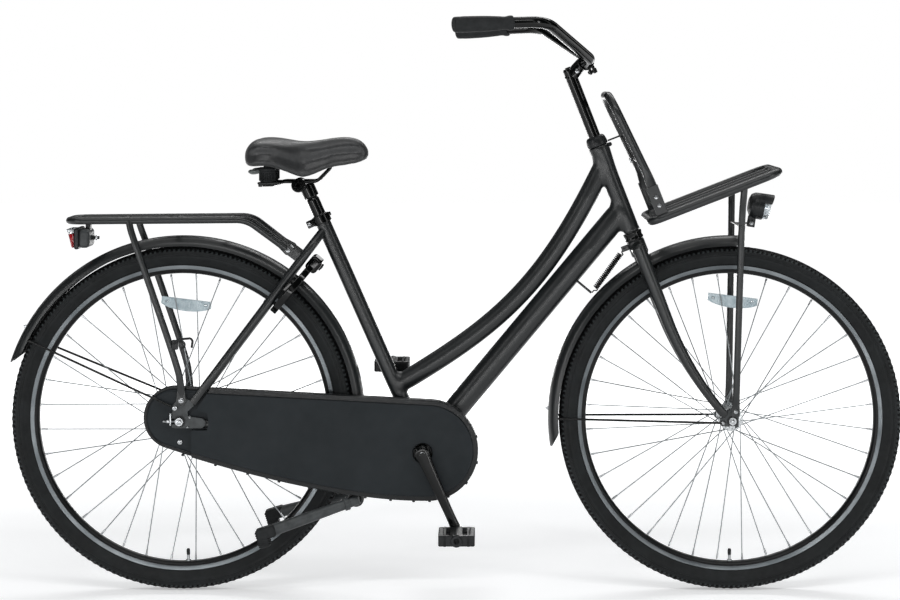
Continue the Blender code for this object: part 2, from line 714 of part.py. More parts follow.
def build_hub(name, axle, spin, flange_radius, shell_radius, flange_sides, ends):
    """Hub shell with two flanges, and its crossed spokes fused to them."""
    left, right = flange_sides
    wide = 0.0028
    rim = flange_radius + 0.004
    profile = [
        (HUB_BORE, ends[1]), (shell_radius * 0.76, ends[1]), (shell_radius * 0.80, right + wide),
        (rim, right + wide), (rim, right - wide), (shell_radius, right - wide - 0.004),
        (shell_radius, -left + wide + 0.004), (rim, -left + wide), (rim, -left - wide),
        (shell_radius * 0.80, -left - wide), (shell_radius * 0.76, -ends[0]), (HUB_BORE, -ends[0]),
    ]
    shell = turned(profile, facing_side(axle), 10, closed=True)
    spokes = []
    for i in range(SPOKE_COUNT):
        rim_angle = math.tau * (i + 0.5) / SPOKE_COUNT
        side = 1 if i % 2 else -1
        lead = 1 if i // 2 % 2 else -1
        reach = right if side > 0 else left
        spokes.append(spoke(axle, flange_radius, reach, lead, rim_angle, side))
    return finish(welded(shell, gathered(spokes)), name, "zinc_steel", spin)


def build_spoke_reflector(name, axle, spin, across):
    """A boat-shaped reflector clipped to the spokes near the top of the rim."""
    centre_radius, half_length = 0.232, 0.050
    outline = (
        arc((half_length - 0.008, 0), 0.008, math.radians(-70), math.radians(70), 3)
        + [(0, 0.0135)]
        + arc((-half_length + 0.008, 0), 0.008, math.radians(110), math.radians(250), 3)
        + [(0, -0.0150)]
    )
    centre = axle + Vector((0, 0, centre_radius))
    return finish(plate([outline], 0.0050, facing_side(centre, -across)), name, "reflector", spin)


def build_axle(name, axle, spread, radius, nut_radius, stack=0.0):
    """A threaded axle with a nut at each end; stack leaves room for a plate under the nut."""
    outer = spread + PLATE / 2 + SEAT_GAP + stack
    pieces = [cylinder(at(axle, outer + 0.016), at(axle, -outer - 0.016), radius, 8)]
    for side in (-1, 1):
        pieces.append(cylinder(at(axle, side * outer), at(axle, side * (outer + 0.009)), nut_radius, 6))
    return welded(*pieces)


def build_wheel(prefix, axle, spin, valve_angle, reflector_across, hub):
    build_tyre(prefix + "_tyre", axle, spin)
    build_rim(prefix + "_rim", axle, spin, valve_angle)
    build_inner_tube(prefix + "_inner_tube", axle, spin, valve_angle)
    build_hub(prefix + "_hub", axle, spin, *hub)
    build_spoke_reflector(prefix + "_reflector", axle, spin, reflector_across)


# Drive
def pitch_radius(teeth):
    return CHAIN_PITCH / (2 * math.sin(math.pi / teeth))


def toothed_outline(teeth):
    """The outline of a sprocket: pointed teeth between narrow roots."""
    root = pitch_radius(teeth) - 0.0036
    tip = pitch_radius(teeth) + 0.0014
    points = []
    for i in range(teeth):
        middle = math.tau * (i + 0.5) / teeth
        step = math.tau / teeth
        for share, radius in ((0.0, root), (0.5, tip)):
            angle = middle + share * step
            points.append((radius * math.cos(angle), radius * math.sin(angle)))
    return points


def circle(radius, steps, centre=(0, 0)):
    return arc(centre, radius, 0, math.tau, steps)[:-1]


def build_sprockets(crank_spin, driver_spin):
    chainring = plate(
        [toothed_outline(CHAINRING_TEETH), circle(SPINDLE_RADIUS + RUNNING_GAP, 12)],
        SPROCKET_THICKNESS, facing_side(BRACKET, -CHAIN_LINE))
    finish(chainring, "chainring", "chain_steel", crank_spin)
    sprocket = plate([toothed_outline(SPROCKET_TEETH), circle(0.0120, 8)], SPROCKET_THICKNESS,
                     facing_side(REAR_AXLE, -CHAIN_LINE))
    inside, outside = REAR_HUB_RIGHT + SEAT_GAP, CHAIN_LINE + 0.0042
    driver = turned([(DRIVER_BORE, outside), (0.0160, outside), (0.0160, inside), (DRIVER_BORE, inside)],
                    facing_side(REAR_AXLE), 10, closed=True)
    finish(welded(sprocket, driver), "rear_sprocket", "chain_steel", driver_spin)


def build_chain():
    """The chain as one loop with the channel between its side plates that the teeth run in."""
    front, rear = pitch_radius(CHAINRING_TEETH), pitch_radius(SPROCKET_TEETH)
    gap = (BRACKET - REAR_AXLE).length
    lean = math.atan2(BRACKET.z - REAR_AXLE.z, BRACKET.x - REAR_AXLE.x)
    wrap = math.acos((front - rear) / gap)
    places = [(BRACKET, front, lean + a) for a in np.linspace(wrap, -wrap, 12)]
    places += [(REAR_AXLE, rear, lean + a) for a in np.linspace(-wrap, wrap - math.tau, 9)]
    half, inner, tall = CHAIN_WIDTH / 2, 0.0021, CHAIN_HEIGHT / 2
    profile = [(-tall, -half), (tall, -half), (tall, half), (-tall, half),
               (-tall, inner), (tall - 0.0014, inner), (tall - 0.0014, -inner), (-tall, -inner)]
    bm = bmesh.new()
    rings = []
    for centre, radius, angle in places:
        out = Vector((math.cos(angle), 0, math.sin(angle)))
        rings.append([
            bm.verts.new(at(centre, -CHAIN_LINE) + out * (radius + r) + Vector((0, w, 0))) for r, w in profile
        ])
    for near, far in zip(rings, rings[1:] + rings[:1]):
        for i in range(len(profile)):
            j = (i + 1) % len(profile)
            bm.faces.new((near[i], near[j], far[j], far[i]))
    finish(object_from(bm), "chain", "chain_steel")


CASE_REAR_RADIUS = pitch_radius(SPROCKET_TEETH) + CASE_REAR_MARGIN
CASE_FRONT_RADIUS = pitch_radius(CHAINRING_TEETH) + CASE_FRONT_MARGIN


def case_outline(inset):
    """The chain case's outline in the side view, drawn in by inset: two arcs, a straight top and a belly."""
    front, rear = CASE_FRONT_RADIUS - inset, CASE_REAR_RADIUS - inset
    front_centre = (BRACKET.x + 0.0104, BRACKET.z + 0.0039)
    rear_centre = (REAR_AXLE.x - 0.0106, REAR_AXLE.z + 0.0056)
    front_arc = arc(front_centre, front, math.radians(84), math.radians(-94), 11)
    rear_arc = arc(rear_centre, rear, math.radians(-105), math.radians(-278), 8)
    start, end = Vector((*front_arc[-1], 0)), Vector((*rear_arc[0], 0))
    low = Vector((BRACKET.x - 0.1233, BRACKET.z - 0.1002 + inset, 0))
    back = Vector((REAR_AXLE.x + 0.1749, REAR_AXLE.z - 0.1248 + inset, 0))
    belly = [(p.x, p.y) for p in bezier(start, low, back, end, 5)][1:-1]
    return front_arc + belly + rear_arc


def case_border(growth):
    """The line where the end cap takes over from the case, round the dropout's tongue and the seat stay."""
    step = [(0.024, -0.20), (0.024, -0.018), (0.056, -0.018), (0.060, -0.004), (0.057, 0.017),
            (0.034, 0.024), (0.068, 0.074), (0.082, 0.100)]
    line = [(REAR_AXLE.x + x + growth, REAR_AXLE.z + z + (growth if z > -0.01 else -growth)) for x, z in step]
    behind = REAR_AXLE.x - 0.20
    return line + [(behind, line[-1][1]), (behind, line[0][1])]


def stay_room():
    """A cutter for the end of the chain stay, where it passes the case's rear wall."""
    return box((0.056, 0.030, 0.024), REAR_AXLE + Vector((0.053, -0.045, -0.005)))


def build_chain_case():
    """A closed shell round the chain, its back open for the stay, with an end cap behind the dropout."""
    outer = slab([case_outline(0)], -CASE_INNER, -CASE_OUTER)
    bevel = outer.modifiers.new("edge", "BEVEL")
    bevel.width = 0.004
    bevel.segments = 1
    bevel.limit_method = "ANGLE"
    bevel.angle_limit = math.radians(60)
    bpy.context.view_layer.update()
    outer = baked(outer)
    hollow = cut(slab([case_outline(CASE_WALL)], -CASE_INNER - CASE_WALL, -CASE_OUTER + CASE_WALL),
                 slab([case_border(CASE_WALL)], 0.05, -0.15))
    back_cut = slab([case_outline(0.016)], -CASE_INNER + 0.01, -CASE_INNER - 0.01)
    passage = slab([case_outline(CASE_WALL)], -CASE_INNER - CASE_WALL, -CAP_OUTER - SEAT_GAP)
    behind = slab([case_border(0)], 0.05, -0.15)
    spindle_hole = cylinder(at(BRACKET, -0.05), at(BRACKET, -0.09), CASE_HOLE, 18)
    case = cut(outer, behind, hollow, passage, back_cut, spindle_hole, stay_room())
    finish(case, "chain_case", "case_vinyl")
    cap = slab([case_outline(CASE_WALL / 4)], -CASE_INNER, -CAP_OUTER)
    cap_hollow = slab([case_outline(1.25 * CASE_WALL)], -CASE_INNER + 0.01, -CAP_OUTER + CASE_WALL)
    keep = slab([case_border(-SEAT_GAP)], 0.05, -0.15)
    axle_hole = cylinder(at(REAR_AXLE, 0), at(REAR_AXLE, -0.09), 0.0120, 12)
    cap = cut(boolean(cut(cap, cap_hollow), [keep], "INTERSECT"), axle_hole, stay_room())
    finish(cap, "chain_case_end_cap", "case_vinyl")


def crank_arm(side):
    """A forged crank arm: a bored boss on the spindle, a tapering arm, the pedal eye and the pedal's axle."""
    way = 1 if side < 0 else -1
    direction = Vector((math.cos(CRANK_ANGLE), 0, math.sin(CRANK_ANGLE))) * way
    start, end = at(BRACKET, side * CRANK_PLANE), at(BRACKET, side * (CRANK_PLANE + 0.005)) + direction * CRANK_LENGTH
    boss = cylinder(at(BRACKET, side * (CHAIN_LINE + SPROCKET_THICKNESS / 2 + SEAT_GAP)),
                    at(BRACKET, side * (CRANK_PLANE + 0.0065)), 0.0150, 12)
    pedal_eye = cylinder(end + Vector((0, side * -0.0065, 0)), end + Vector((0, side * 0.0065, 0)), 0.0125, 10)
    across = Vector((-direction.z, 0, direction.x))
    rings = []
    for share, half_width, half_thick in ((0.0, 0.0125, 0.0060), (0.2, 0.0120, 0.0065), (0.75, 0.0090, 0.0055),
                                          (1.0, 0.0090, 0.0055)):
        centre = start.lerp(end, share)
        rings.append([
            centre + across * (half_width * x) + Vector((0, half_thick * y, 0))
            for x, y in ((1, -0.5), (1, 0.5), (0.6, 1), (-0.6, 1), (-1, 0.5), (-1, -0.5), (-0.6, -1), (0.6, -1))
        ])
    pedal_axle = cylinder(end, at(end, side * (PEDAL_START + PEDAL_WIDTH - 0.006)), PEDAL_AXLE_RADIUS, 8)
    arm = welded(boss, pedal_eye, loft(rings), pedal_axle)
    return cut(arm, bore(BRACKET, at(BRACKET, side * SPINDLE_REACH), SPINDLE_RADIUS + SEAT_GAP)), end


def build_pedal(name, place, side, spin):
    """A platform pedal: a frame with two windows, a tread block at each end and a bearing barrel."""
    near, far = PEDAL_START, PEDAL_START + PEDAL_WIDTH
    half, deep = PEDAL_LENGTH / 2, PEDAL_WIDTH / 2
    middle = at(place, side * (near + far) / 2)
    window = [(-0.0075, -deep + 0.012), (0.0075, -deep + 0.012), (0.0075, deep - 0.012), (-0.0075, deep - 0.012)]
    outline = [(-half, -deep), (half, -deep), (half, deep), (-half, deep)]
    windows = [[(x + s * (half - 0.0165), y) for x, y in window] for s in (-1, 1)]
    body = plate([outline, *windows], 0.022, Matrix.Translation(middle))
    blocks = [
        box((0.0085, PEDAL_WIDTH - 0.008, 0.034), middle + Vector((s * (half - 0.0040), 0, 0)))
        for s in (-1, 1)
    ]
    barrel = cylinder(at(place, side * (near - 0.003)), at(place, side * (far + 0.003)), 0.0125, 8)
    hole = bore(at(place, side * 0.05), at(place, side * (far - 0.003)), PEDAL_AXLE_RADIUS + SEAT_GAP, 8)
    return finish(cut(welded(body, *blocks, barrel), hole), name, "black_plastic", spin)


def build_cranks(crank_spin):
    end = SPINDLE_REACH - SEAT_GAP
    spindle = cylinder(at(BRACKET, end), at(BRACKET, -end), SPINDLE_RADIUS, 12)
    finish(spindle, "crank_spindle", "zinc_steel", crank_spin)
    for name, side in (("right", -1), ("left", 1)):
        arm, end = crank_arm(side)
        finish(arm, "crank_" + name, "gloss_paint", crank_spin)
        pedal_spin = axis_at(f"pedal_{name}_axis", end, crank_spin)
        build_pedal("pedal_" + name, end, side, pedal_spin)
    edge = BRACKET_SHELL_WIDTH / 2
    inside = SPINDLE_RADIUS + RUNNING_GAP
    cartridge = turned(
        [(inside, edge + 0.0040), (BRACKET_SHELL_RADIUS - 0.001, edge + 0.0040),
         (BRACKET_SHELL_RADIUS - 0.001, edge + SEAT_GAP), (CARTRIDGE_RADIUS, edge + SEAT_GAP),
         (CARTRIDGE_RADIUS, -edge), (inside, -edge)],
        facing_side(BRACKET), 12, closed=True)
    finish(cartridge, "bottom_bracket_cartridge", "zinc_steel")


# Rear axle fittings
def build_rear_fittings():
    """Rear axle with its nuts, the two chain tensioners under them, and the coaster brake's arm."""
    axle = build_axle("rear_axle", REAR_AXLE, DROPOUT_SPREAD, AXLE_RADIUS, 0.0092, TENSIONER_PLATE + SEAT_GAP)
    finish(axle, "rear_axle", "zinc_steel")
    outline = (arc((0, 0), 0.0145, math.radians(20), math.radians(255), 7)
               + [(0.040, -0.0330), (0.150, -0.0475)]
               + arc((0.155, -0.0400), 0.0072, math.radians(-80), math.radians(80), 3)
               + [(0.048, -0.0185)])
    arm = plate([outline, circle(AXLE_RADIUS + SEAT_GAP, 8)], 0.0026, facing_side(REAR_AXLE, REAR_HUB_LEFT + 0.0016))
    finish(arm, "brake_arm", "zinc_steel")
    for name, side in (("right", -1), ("left", 1)):
        face = DROPOUT_SPREAD + PLATE / 2 + SEAT_GAP
        rod_place = at(REAR_AXLE, side * (face + 0.0024))
        eye = plate([circle(0.0090, 8), circle(AXLE_RADIUS + SEAT_GAP, 8)], TENSIONER_PLATE,
                    facing_side(REAR_AXLE, side * (face + TENSIONER_PLATE / 2)))
        rod = cylinder(rod_place + Vector((-0.0080, 0, 0)), rod_place + Vector((-0.0345, 0, 0)), 0.0024, 6)
        bar = box((0.0032, 0.0130, 0.0250), at(REAR_AXLE, side * (face - 0.001)) + Vector((-0.0165 - 0.0019, 0, 0.0045)))
        nut = cylinder(rod_place + Vector((-0.0195, 0, 0)), rod_place + Vector((-0.0255, 0, 0)), 0.0045, 6)
        finish(welded(eye, rod, bar, nut), "chain_tensioner_" + name, "zinc_steel")


# Fenders
def fender(axle, start, end, steps):
    """A half-round strip of sheet, bent round the wheel between two angles."""
    mesh = bpy.data.meshes.new("strip")
    profile = [
        (FENDER_RADIUS - FENDER_DEPTH * (1 - math.cos(a)), FENDER_HALF_WIDTH * math.sin(a))
        for a in np.linspace(math.radians(-90), math.radians(90), 5)
    ]
    mesh.from_pydata([(r, 0, z) for r, z in profile], [(i, i + 1) for i in range(len(profile) - 1)], [])
    obj = bpy.data.objects.new("strip", mesh)
    PARTS.objects.link(obj)
    screw = obj.modifiers.new("bend", "SCREW")
    screw.angle = end - start
    screw.steps = steps
    screw.render_steps = steps
    screw.use_merge_vertices = False
    sheet = obj.modifiers.new("sheet", "SOLIDIFY")
    sheet.thickness = FENDER_WALL
    sheet.offset = 0
    obj.matrix_world = facing_side(axle) @ Matrix.Rotation(start, 4, "Z")
    bpy.context.view_layer.update()
    return baked(obj)


def fender_stay(axle, angle, screw, spread):
    """A wire stay: from one dropout out to the fender's edge, across it and back to the other dropout."""
    over = axle + Vector((math.cos(angle), 0, math.sin(angle))) * (FENDER_RADIUS + 0.0026)
    edge = FENDER_HALF_WIDTH + 0.0045
    points = [at(screw, -spread), at(over, -edge), at(over, edge), at(screw, spread)]
    return tube(filleted(points, [0.006, 0.006], 2), STAY_WIRE_RADIUS, 6)


def build_fenders():
    spread = DROPOUT_SPREAD + PLATE / 2 + SEAT_GAP + 1.3 * STAY_WIRE_RADIUS
    finish(fender(REAR_AXLE, math.radians(-3), math.radians(162), 20), "rear_fender", "frame_paint")
    stay = fender_stay(REAR_AXLE, math.radians(155), REAR_AXLE + Vector((-0.0094, 0, 0.0275)), spread)
    finish(stay, "rear_fender_stay", "gloss_paint")
    spread = FORK_DROPOUT_SPREAD + PLATE / 2 + SEAT_GAP + 1.3 * STAY_WIRE_RADIUS
    finish(fender(FRONT_AXLE, math.radians(88), math.radians(189), 13), "front_fender", "frame_paint", STEERING)
    stay = fender_stay(FRONT_AXLE, math.radians(180), FRONT_AXLE + Vector((-0.019, 0, -0.004)), spread)
    finish(stay, "front_fender_stay", "gloss_paint", STEERING)


# Steering
def build_fork():
    """Steerer, crown and two raked, tapering blades with their dropouts, welded."""
    steerer = cylinder(steer_point(0, 0, FORK_LENGTH - 0.02), steer_point(0, 0, HEAD_TOP), STEERER_RADIUS, 14)
    crown = cylinder(steer_point(0, 0, FORK_LENGTH - 0.033), steer_point(0, 0, FORK_LENGTH), 0.0185, 14)
    shoulder = cylinder(steer_point(0, BLADE_SPREAD, FORK_LENGTH - 0.0200),
                        steer_point(0, -BLADE_SPREAD, FORK_LENGTH - 0.0200), 0.0155, 10)
    spring_tab = box((0.018, 0.004, 0.012), steer_point(-0.024, 0, FORK_LENGTH - 0.009), steer_turn())
    crown_foot = steer_point(0, 0, FORK_LENGTH - 0.031)
    fender_lug = cylinder(crown_foot, over_fender(FRONT_AXLE, crown_foot), 0.0050, 8)
    pieces = [steerer, crown, shoulder, spring_tab, fender_lug]
    for side in (-1, 1):
        top = steer_point(0, side * BLADE_SPREAD, FORK_LENGTH - 0.014)
        knee = steer_point(0, side * 0.0495, 0.165)
        ankle = steer_point(0.014, side * 0.0515, 0.085)
        tip = steer_point(0.0400, side * FORK_DROPOUT_SPREAD, 0.014)
        path = [top] + bezier(top.lerp(knee, 0.70), knee, ankle, tip, 6)
        shares = [(place - top).length / (tip - top).length for place in path]
        scales = [1 - (1 - BLADE_TIP_RADIUS / BLADE_TOP_RADIUS) * s ** 1.3 for s in shares]
        blade = tube(path, BLADE_TOP_RADIUS, 8, scales)
        outline = (arc((0.0050, 0.0190), 0.0105, math.radians(-20), math.radians(160), 4)
                   + arc((-0.0190, -0.0040), 0.0075, math.radians(130), math.radians(250), 3)
                   + [(-0.0070, -0.0120), (-SLOT_HALF, -0.0160), (-SLOT_HALF, SLOT_HALF), (SLOT_HALF, SLOT_HALF),
                      (SLOT_HALF, -0.0160), (0.0130, -0.0120), (0.0130, 0.0060)])
        tip_plate = plate([outline], PLATE, facing_side(FRONT_AXLE, side * FORK_DROPOUT_SPREAD))
        pieces += [blade, tip_plate]
    fork = welded(*pieces)
    quill_bore = bore(steer_point(0, 0, FORK_LENGTH + 0.02), steer_point(0, 0, HEAD_TOP + 0.05),
                      QUILL_RADIUS + SEAT_GAP)
    hook_eye = bore(at(SPRING_HEAD, 0.01), at(SPRING_HEAD, -0.01), 2.2 * SPRING_WIRE, 6)
    finish(cut(fork, quill_bore, hook_eye), "fork", "frame_paint", STEERING)
    axle = build_axle("front_axle", FRONT_AXLE, FORK_DROPOUT_SPREAD, AXLE_RADIUS, 0.0085)
    finish(axle, "front_axle", "zinc_steel", STEERING)


def build_stem_and_bar():
    """Quill stem with its short forward arm and clamp, and the swept-back handlebar with two grips."""
    stem_slide = axis_at("stem_axis", steer_point(0, 0, HEAD_TOP), STEERING)
    clamp = steer_point(STEM_REACH, 0, STEM_HEIGHT)
    quill = cylinder(steer_point(0, 0, HEAD_TOP - 0.080), steer_point(0, 0, STEM_HEIGHT - 0.012),
                     QUILL_RADIUS, 14)
    arm = cylinder(steer_point(0.002, 0, STEM_HEIGHT - 0.016), clamp, 0.0135, 10, 0.0120)
    barrel = cylinder(at(clamp, 0.019), at(clamp, -0.019), BAR_CLAMP_RADIUS + 0.0045, 14)
    lean = Matrix.Rotation(math.radians(-20), 4, "Y")
    ears = box((0.014, 0.030, 0.018), clamp - STEER_UP * 0.020 + STEER_AHEAD * 0.006, lean)
    bolt_place = clamp - STEER_UP * 0.0235 + STEER_AHEAD * 0.006
    bolt = cylinder(bolt_place - STEER_AHEAD * 0.012, bolt_place + STEER_AHEAD * 0.010, 0.0038, 6)
    bar_bore = bore(at(clamp, 0.05), at(clamp, -0.05), BAR_CLAMP_RADIUS + SEAT_GAP)
    stem = cut(welded(quill, arm, barrel, ears, bolt), bar_bore)
    finish(stem, "stem", "gloss_paint", stem_slide)

    bar_roll = axis_at("handlebar_axis", clamp, stem_slide)
    halves = []
    for side in (-1, 1):
        grip_end = Vector((0.0010, side * BAR_HALF_WIDTH, 1.1620))
        sweep = Vector((0.1790, side * 0.2500, 1.1690))
        shoulder = Vector((clamp.x + 0.0070, side * 0.0520, clamp.z + 0.0060))
        halves.append([grip_end, sweep, shoulder, at(clamp, side * 0.022)])
    corners = halves[0] + halves[1][::-1]
    path = filleted(corners, [0.075, 0.030, 0.060, 0.060, 0.030, 0.075], 3)
    thick = BAR_CLAMP_RADIUS / BAR_RADIUS
    scales = [thick if abs(place.y) < 0.026 else 1 for place in path]
    bar = tube(path, BAR_RADIUS, 8, scales)
    finish(bar, "handlebar", "gloss_paint", bar_roll)
    for name, (end, sweep, _, _) in zip(("right", "left"), halves):
        inward = (sweep - end).normalized()
        inside = BAR_RADIUS + SEAT_GAP
        start = end - inward * 0.004
        turn = inward.to_track_quat("Z", "Y").to_matrix().to_4x4()
        profile = [
            (0.0, 0.0), (GRIP_RADIUS - 0.002, 0.0), (GRIP_RADIUS, 0.003), (GRIP_RADIUS, 0.066),
            (GRIP_RADIUS - 0.0024, 0.096), (GRIP_RADIUS - 0.0010, GRIP_LENGTH), (inside, GRIP_LENGTH),
            (inside, 0.0037), (0.0, 0.0037),
        ]
        grip = turned(profile[::-1], Matrix.Translation(start) @ turn, 14)
        finish(grip, "grip_" + name, "grip_rubber", bar_roll)


def build_steering_spring():
    """The spring that centres the fork: a coil between an eye on the crown and a lug on the down tube."""
    line = SPRING_FOOT - SPRING_HEAD
    along = line.normalized()
    first = along.cross(Vector((0, 1, 0))).normalized()
    second = along.cross(first)
    lead = 0.013
    length = line.length - 2 * lead
    coil = []
    for i in range(SPRING_TURNS * SPRING_POINTS + 1):
        turn = i / SPRING_POINTS
        angle = math.tau * turn
        place = SPRING_HEAD + along * (lead + length * turn / SPRING_TURNS)
        coil.append(place + first * (SPRING_RADIUS * math.cos(angle)) + second * (SPRING_RADIUS * math.sin(angle)))
    aside = Vector((0, 0.0045, 0))
    start = [SPRING_HEAD - aside, SPRING_HEAD + aside, SPRING_HEAD + along * 0.0085 + aside,
             coil[0] - along * 0.0020]
    end = [coil[-1] + along * 0.0025, SPRING_FOOT - along * 0.007, SPRING_FOOT - along * 0.0012]
    pitch = length / SPRING_TURNS
    print(f"steering spring: pitch {pitch * 1000:.2f} mm, least gap {least_gap(coil) * 1000:.2f} mm")
    spring = tube(start + coil + end, SPRING_WIRE, 6)
    finish(spring, "steering_spring", "gloss_paint")


def least_gap(coil):
    """The least distance between the surfaces of turns that lie next to each other."""
    places = np.array([tuple(p) for p in coil])
    least = 1.0
    for i in range(len(places) - SPRING_POINTS // 2):
        others = places[i + SPRING_POINTS // 2:]
        least = min(least, float(np.linalg.norm(others - places[i], axis=1).min()))
    return least - 2 * SPRING_WIRE


# Front carrier
def at_leg_height(height):
    """The place on the front carrier's legs at a height above the ground."""
    low, high = FRONT_AXLE + Vector((0, 0, 0.060)), steer_point(LEG_AHEAD, 0, PLATFORM_HEIGHT)
    return low.lerp(high, (height - low.z) / (high.z - low.z))


def build_front_carrier():
    """Tubular platform with inner bars, its two legs to the fork ends, and the tabs for the backrest."""
    r, w, up = PLATFORM_TUBE_RADIUS, PLATFORM_HALF_WIDTH, PLATFORM_HEIGHT
    back, front = PLATFORM_START, PLATFORM_START + PLATFORM_LENGTH
    middle = (back + front) / 2
    loop = filleted(
        [steer_point(middle, w, up), steer_point(front, w, up), steer_point(front, -w, up),
         steer_point(back, -w, up), steer_point(back, w, up), steer_point(middle, w, up)],
        [0.035, 0.035, 0.022, 0.022], 2)
    pieces = [tube(loop[:-1], r, 8, closed=True)]
    for across in (-0.056, 0.0, 0.056):
        pieces.append(cylinder(steer_point(back, across, up), steer_point(front, across, up), 0.0045, 6))
    for side in (-1, 1):
        tab = box((0.025, 0.003, 0.070), steer_point(0.0665, side * (w - 0.002), up + 0.033), steer_turn())
        foot = at(FRONT_AXLE + Vector((0.006, 0, 0.0200)), side * (FORK_DROPOUT_SPREAD + PLATE / 2 + 0.0072))
        leg = tube(
            [foot + Vector((0, 0, 0.004)), foot + Vector((0.001, side * 0.004, 0.040)),
             steer_point(LEG_AHEAD, side * (w - 0.004), up)], CARRIER_TUBE_RADIUS, 8, [0.55, 1, 1])
        eye = plate([circle(0.0095, 10)], 0.003,
                    facing_side(foot, side * (FORK_DROPOUT_SPREAD + PLATE / 2 + SEAT_GAP + 0.0045)))
        pieces += [tab, leg, eye]
    brace_low = at_leg_height(LAMP_HEIGHT)
    brace = cylinder(at(brace_low, PLATFORM_HALF_WIDTH - 0.006), at(brace_low, -PLATFORM_HALF_WIDTH + 0.006), 0.005, 8)
    lamp_tab = box((0.036, 0.012, 0.003), brace_low + Vector((0.018, 0, 0.002)))
    pieces += [brace, lamp_tab]
    finish(welded(*pieces), "front_carrier", "frame_paint", STEERING)


def build_backrest():
    """Round-cornered hoop with one cross bar, its flattened feet screwed to the carrier's tabs."""
    w = PLATFORM_HALF_WIDTH - 0.002
    low, high = PLATFORM_HEIGHT + 0.052, BACKREST_TOP
    lean_low, lean_high = 0.0685, 0.0540
    feet = [steer_point(lean_low, side * (w - 0.0105), low + 0.020) for side in (-1, 1)]
    tops = [steer_point(lean_high, side * (w - 0.0105), high) for side in (-1, 1)]
    hoop = tube(filleted([feet[0], tops[0], tops[1], feet[1]], [0.045, 0.045], 3), BACKREST_TUBE_RADIUS, 8)
    bar_lean = lean_low + (lean_high - lean_low) * (BACKREST_BAR - low) / (high - low)
    bar = cylinder(steer_point(bar_lean, w - 0.011, BACKREST_BAR), steer_point(bar_lean, -w + 0.011, BACKREST_BAR),
                   0.0050, 8)
    pieces = [hoop, bar]
    for side in (-1, 1):
        foot_place = steer_point(0.0670, side * (w - 0.0015 - SEAT_GAP - 0.0018), PLATFORM_HEIGHT + 0.0420)
        foot = box((0.022, 0.0036, 0.060), foot_place, steer_turn())
        neck = cylinder(steer_point(lean_low, side * (w - 0.0105), low + 0.028),
                        steer_point(0.0670, side * (w - 0.0055), low + 0.006), 0.0078, 8, 0.0040)
        pieces += [foot, neck]
    finish(welded(*pieces), "front_backrest", "frame_paint", STEERING)
    rear_side = bar_lean - 0.0050 - SEAT_GAP - 0.0018
    wire = filleted(
        [steer_point(HEAD_TUBE_RADIUS + HEAD_FLARE + 0.0008, 0, HEAD_TOP + 0.0035),
         steer_point(rear_side - 0.004, 0, HEAD_TOP + 0.0035),
         steer_point(rear_side, 0, BACKREST_BAR - 0.008)], [0.006], 2)
    finish(tube(wire, 0.0018, 6), "backrest_stay", "gloss_paint", STEERING)


def build_headlamp():
    """A round lamp on the carrier's brace, with a clamp screw that it tilts about."""
    pivot = at_leg_height(LAMP_HEIGHT) + Vector((0.0300, 0, 0.0020))
    tilt = axis_at("headlamp_axis", pivot, STEERING)
    lean = math.radians(-9)
    ahead = Vector((math.cos(lean), 0, math.sin(lean)))
    centre = pivot + Vector((-0.0010, 0, 0.0386))
    turn = ahead.to_track_quat("Z", "Y").to_matrix().to_4x4()
    frame = Matrix.Translation(centre) @ turn
    body = turned(
        [(0.0, 0.0330), (0.0250, 0.0330), (0.0250, 0.0430), (0.0275, 0.0430), (0.0275, 0.0130),
         (0.0240, 0.0050), (0.0160, 0.0010), (0.0, 0.0010)], frame, 16)
    cheeks = [
        box((0.015, 0.0030, 0.034), pivot + Vector((0.002, side * 0.0078, 0.0090)), Matrix.Rotation(-lean, 4, "Y"))
        for side in (-1, 1)
    ]
    screws = [cylinder(at(pivot, side * 0.0070), at(pivot, side * 0.0120), 0.0050, 8) for side in (-1, 1)]
    finish(welded(body, *cheeks, *screws), "headlamp_body", "black_plastic", tilt)
    lens = turned(
        [(0.0, 0.0475), (0.0170, 0.0460), (0.0247, 0.0425), (0.0247, 0.0333), (0.0, 0.0333)],
        frame, 16)
    finish(lens, "headlamp_lens", "clear_lens", tilt)


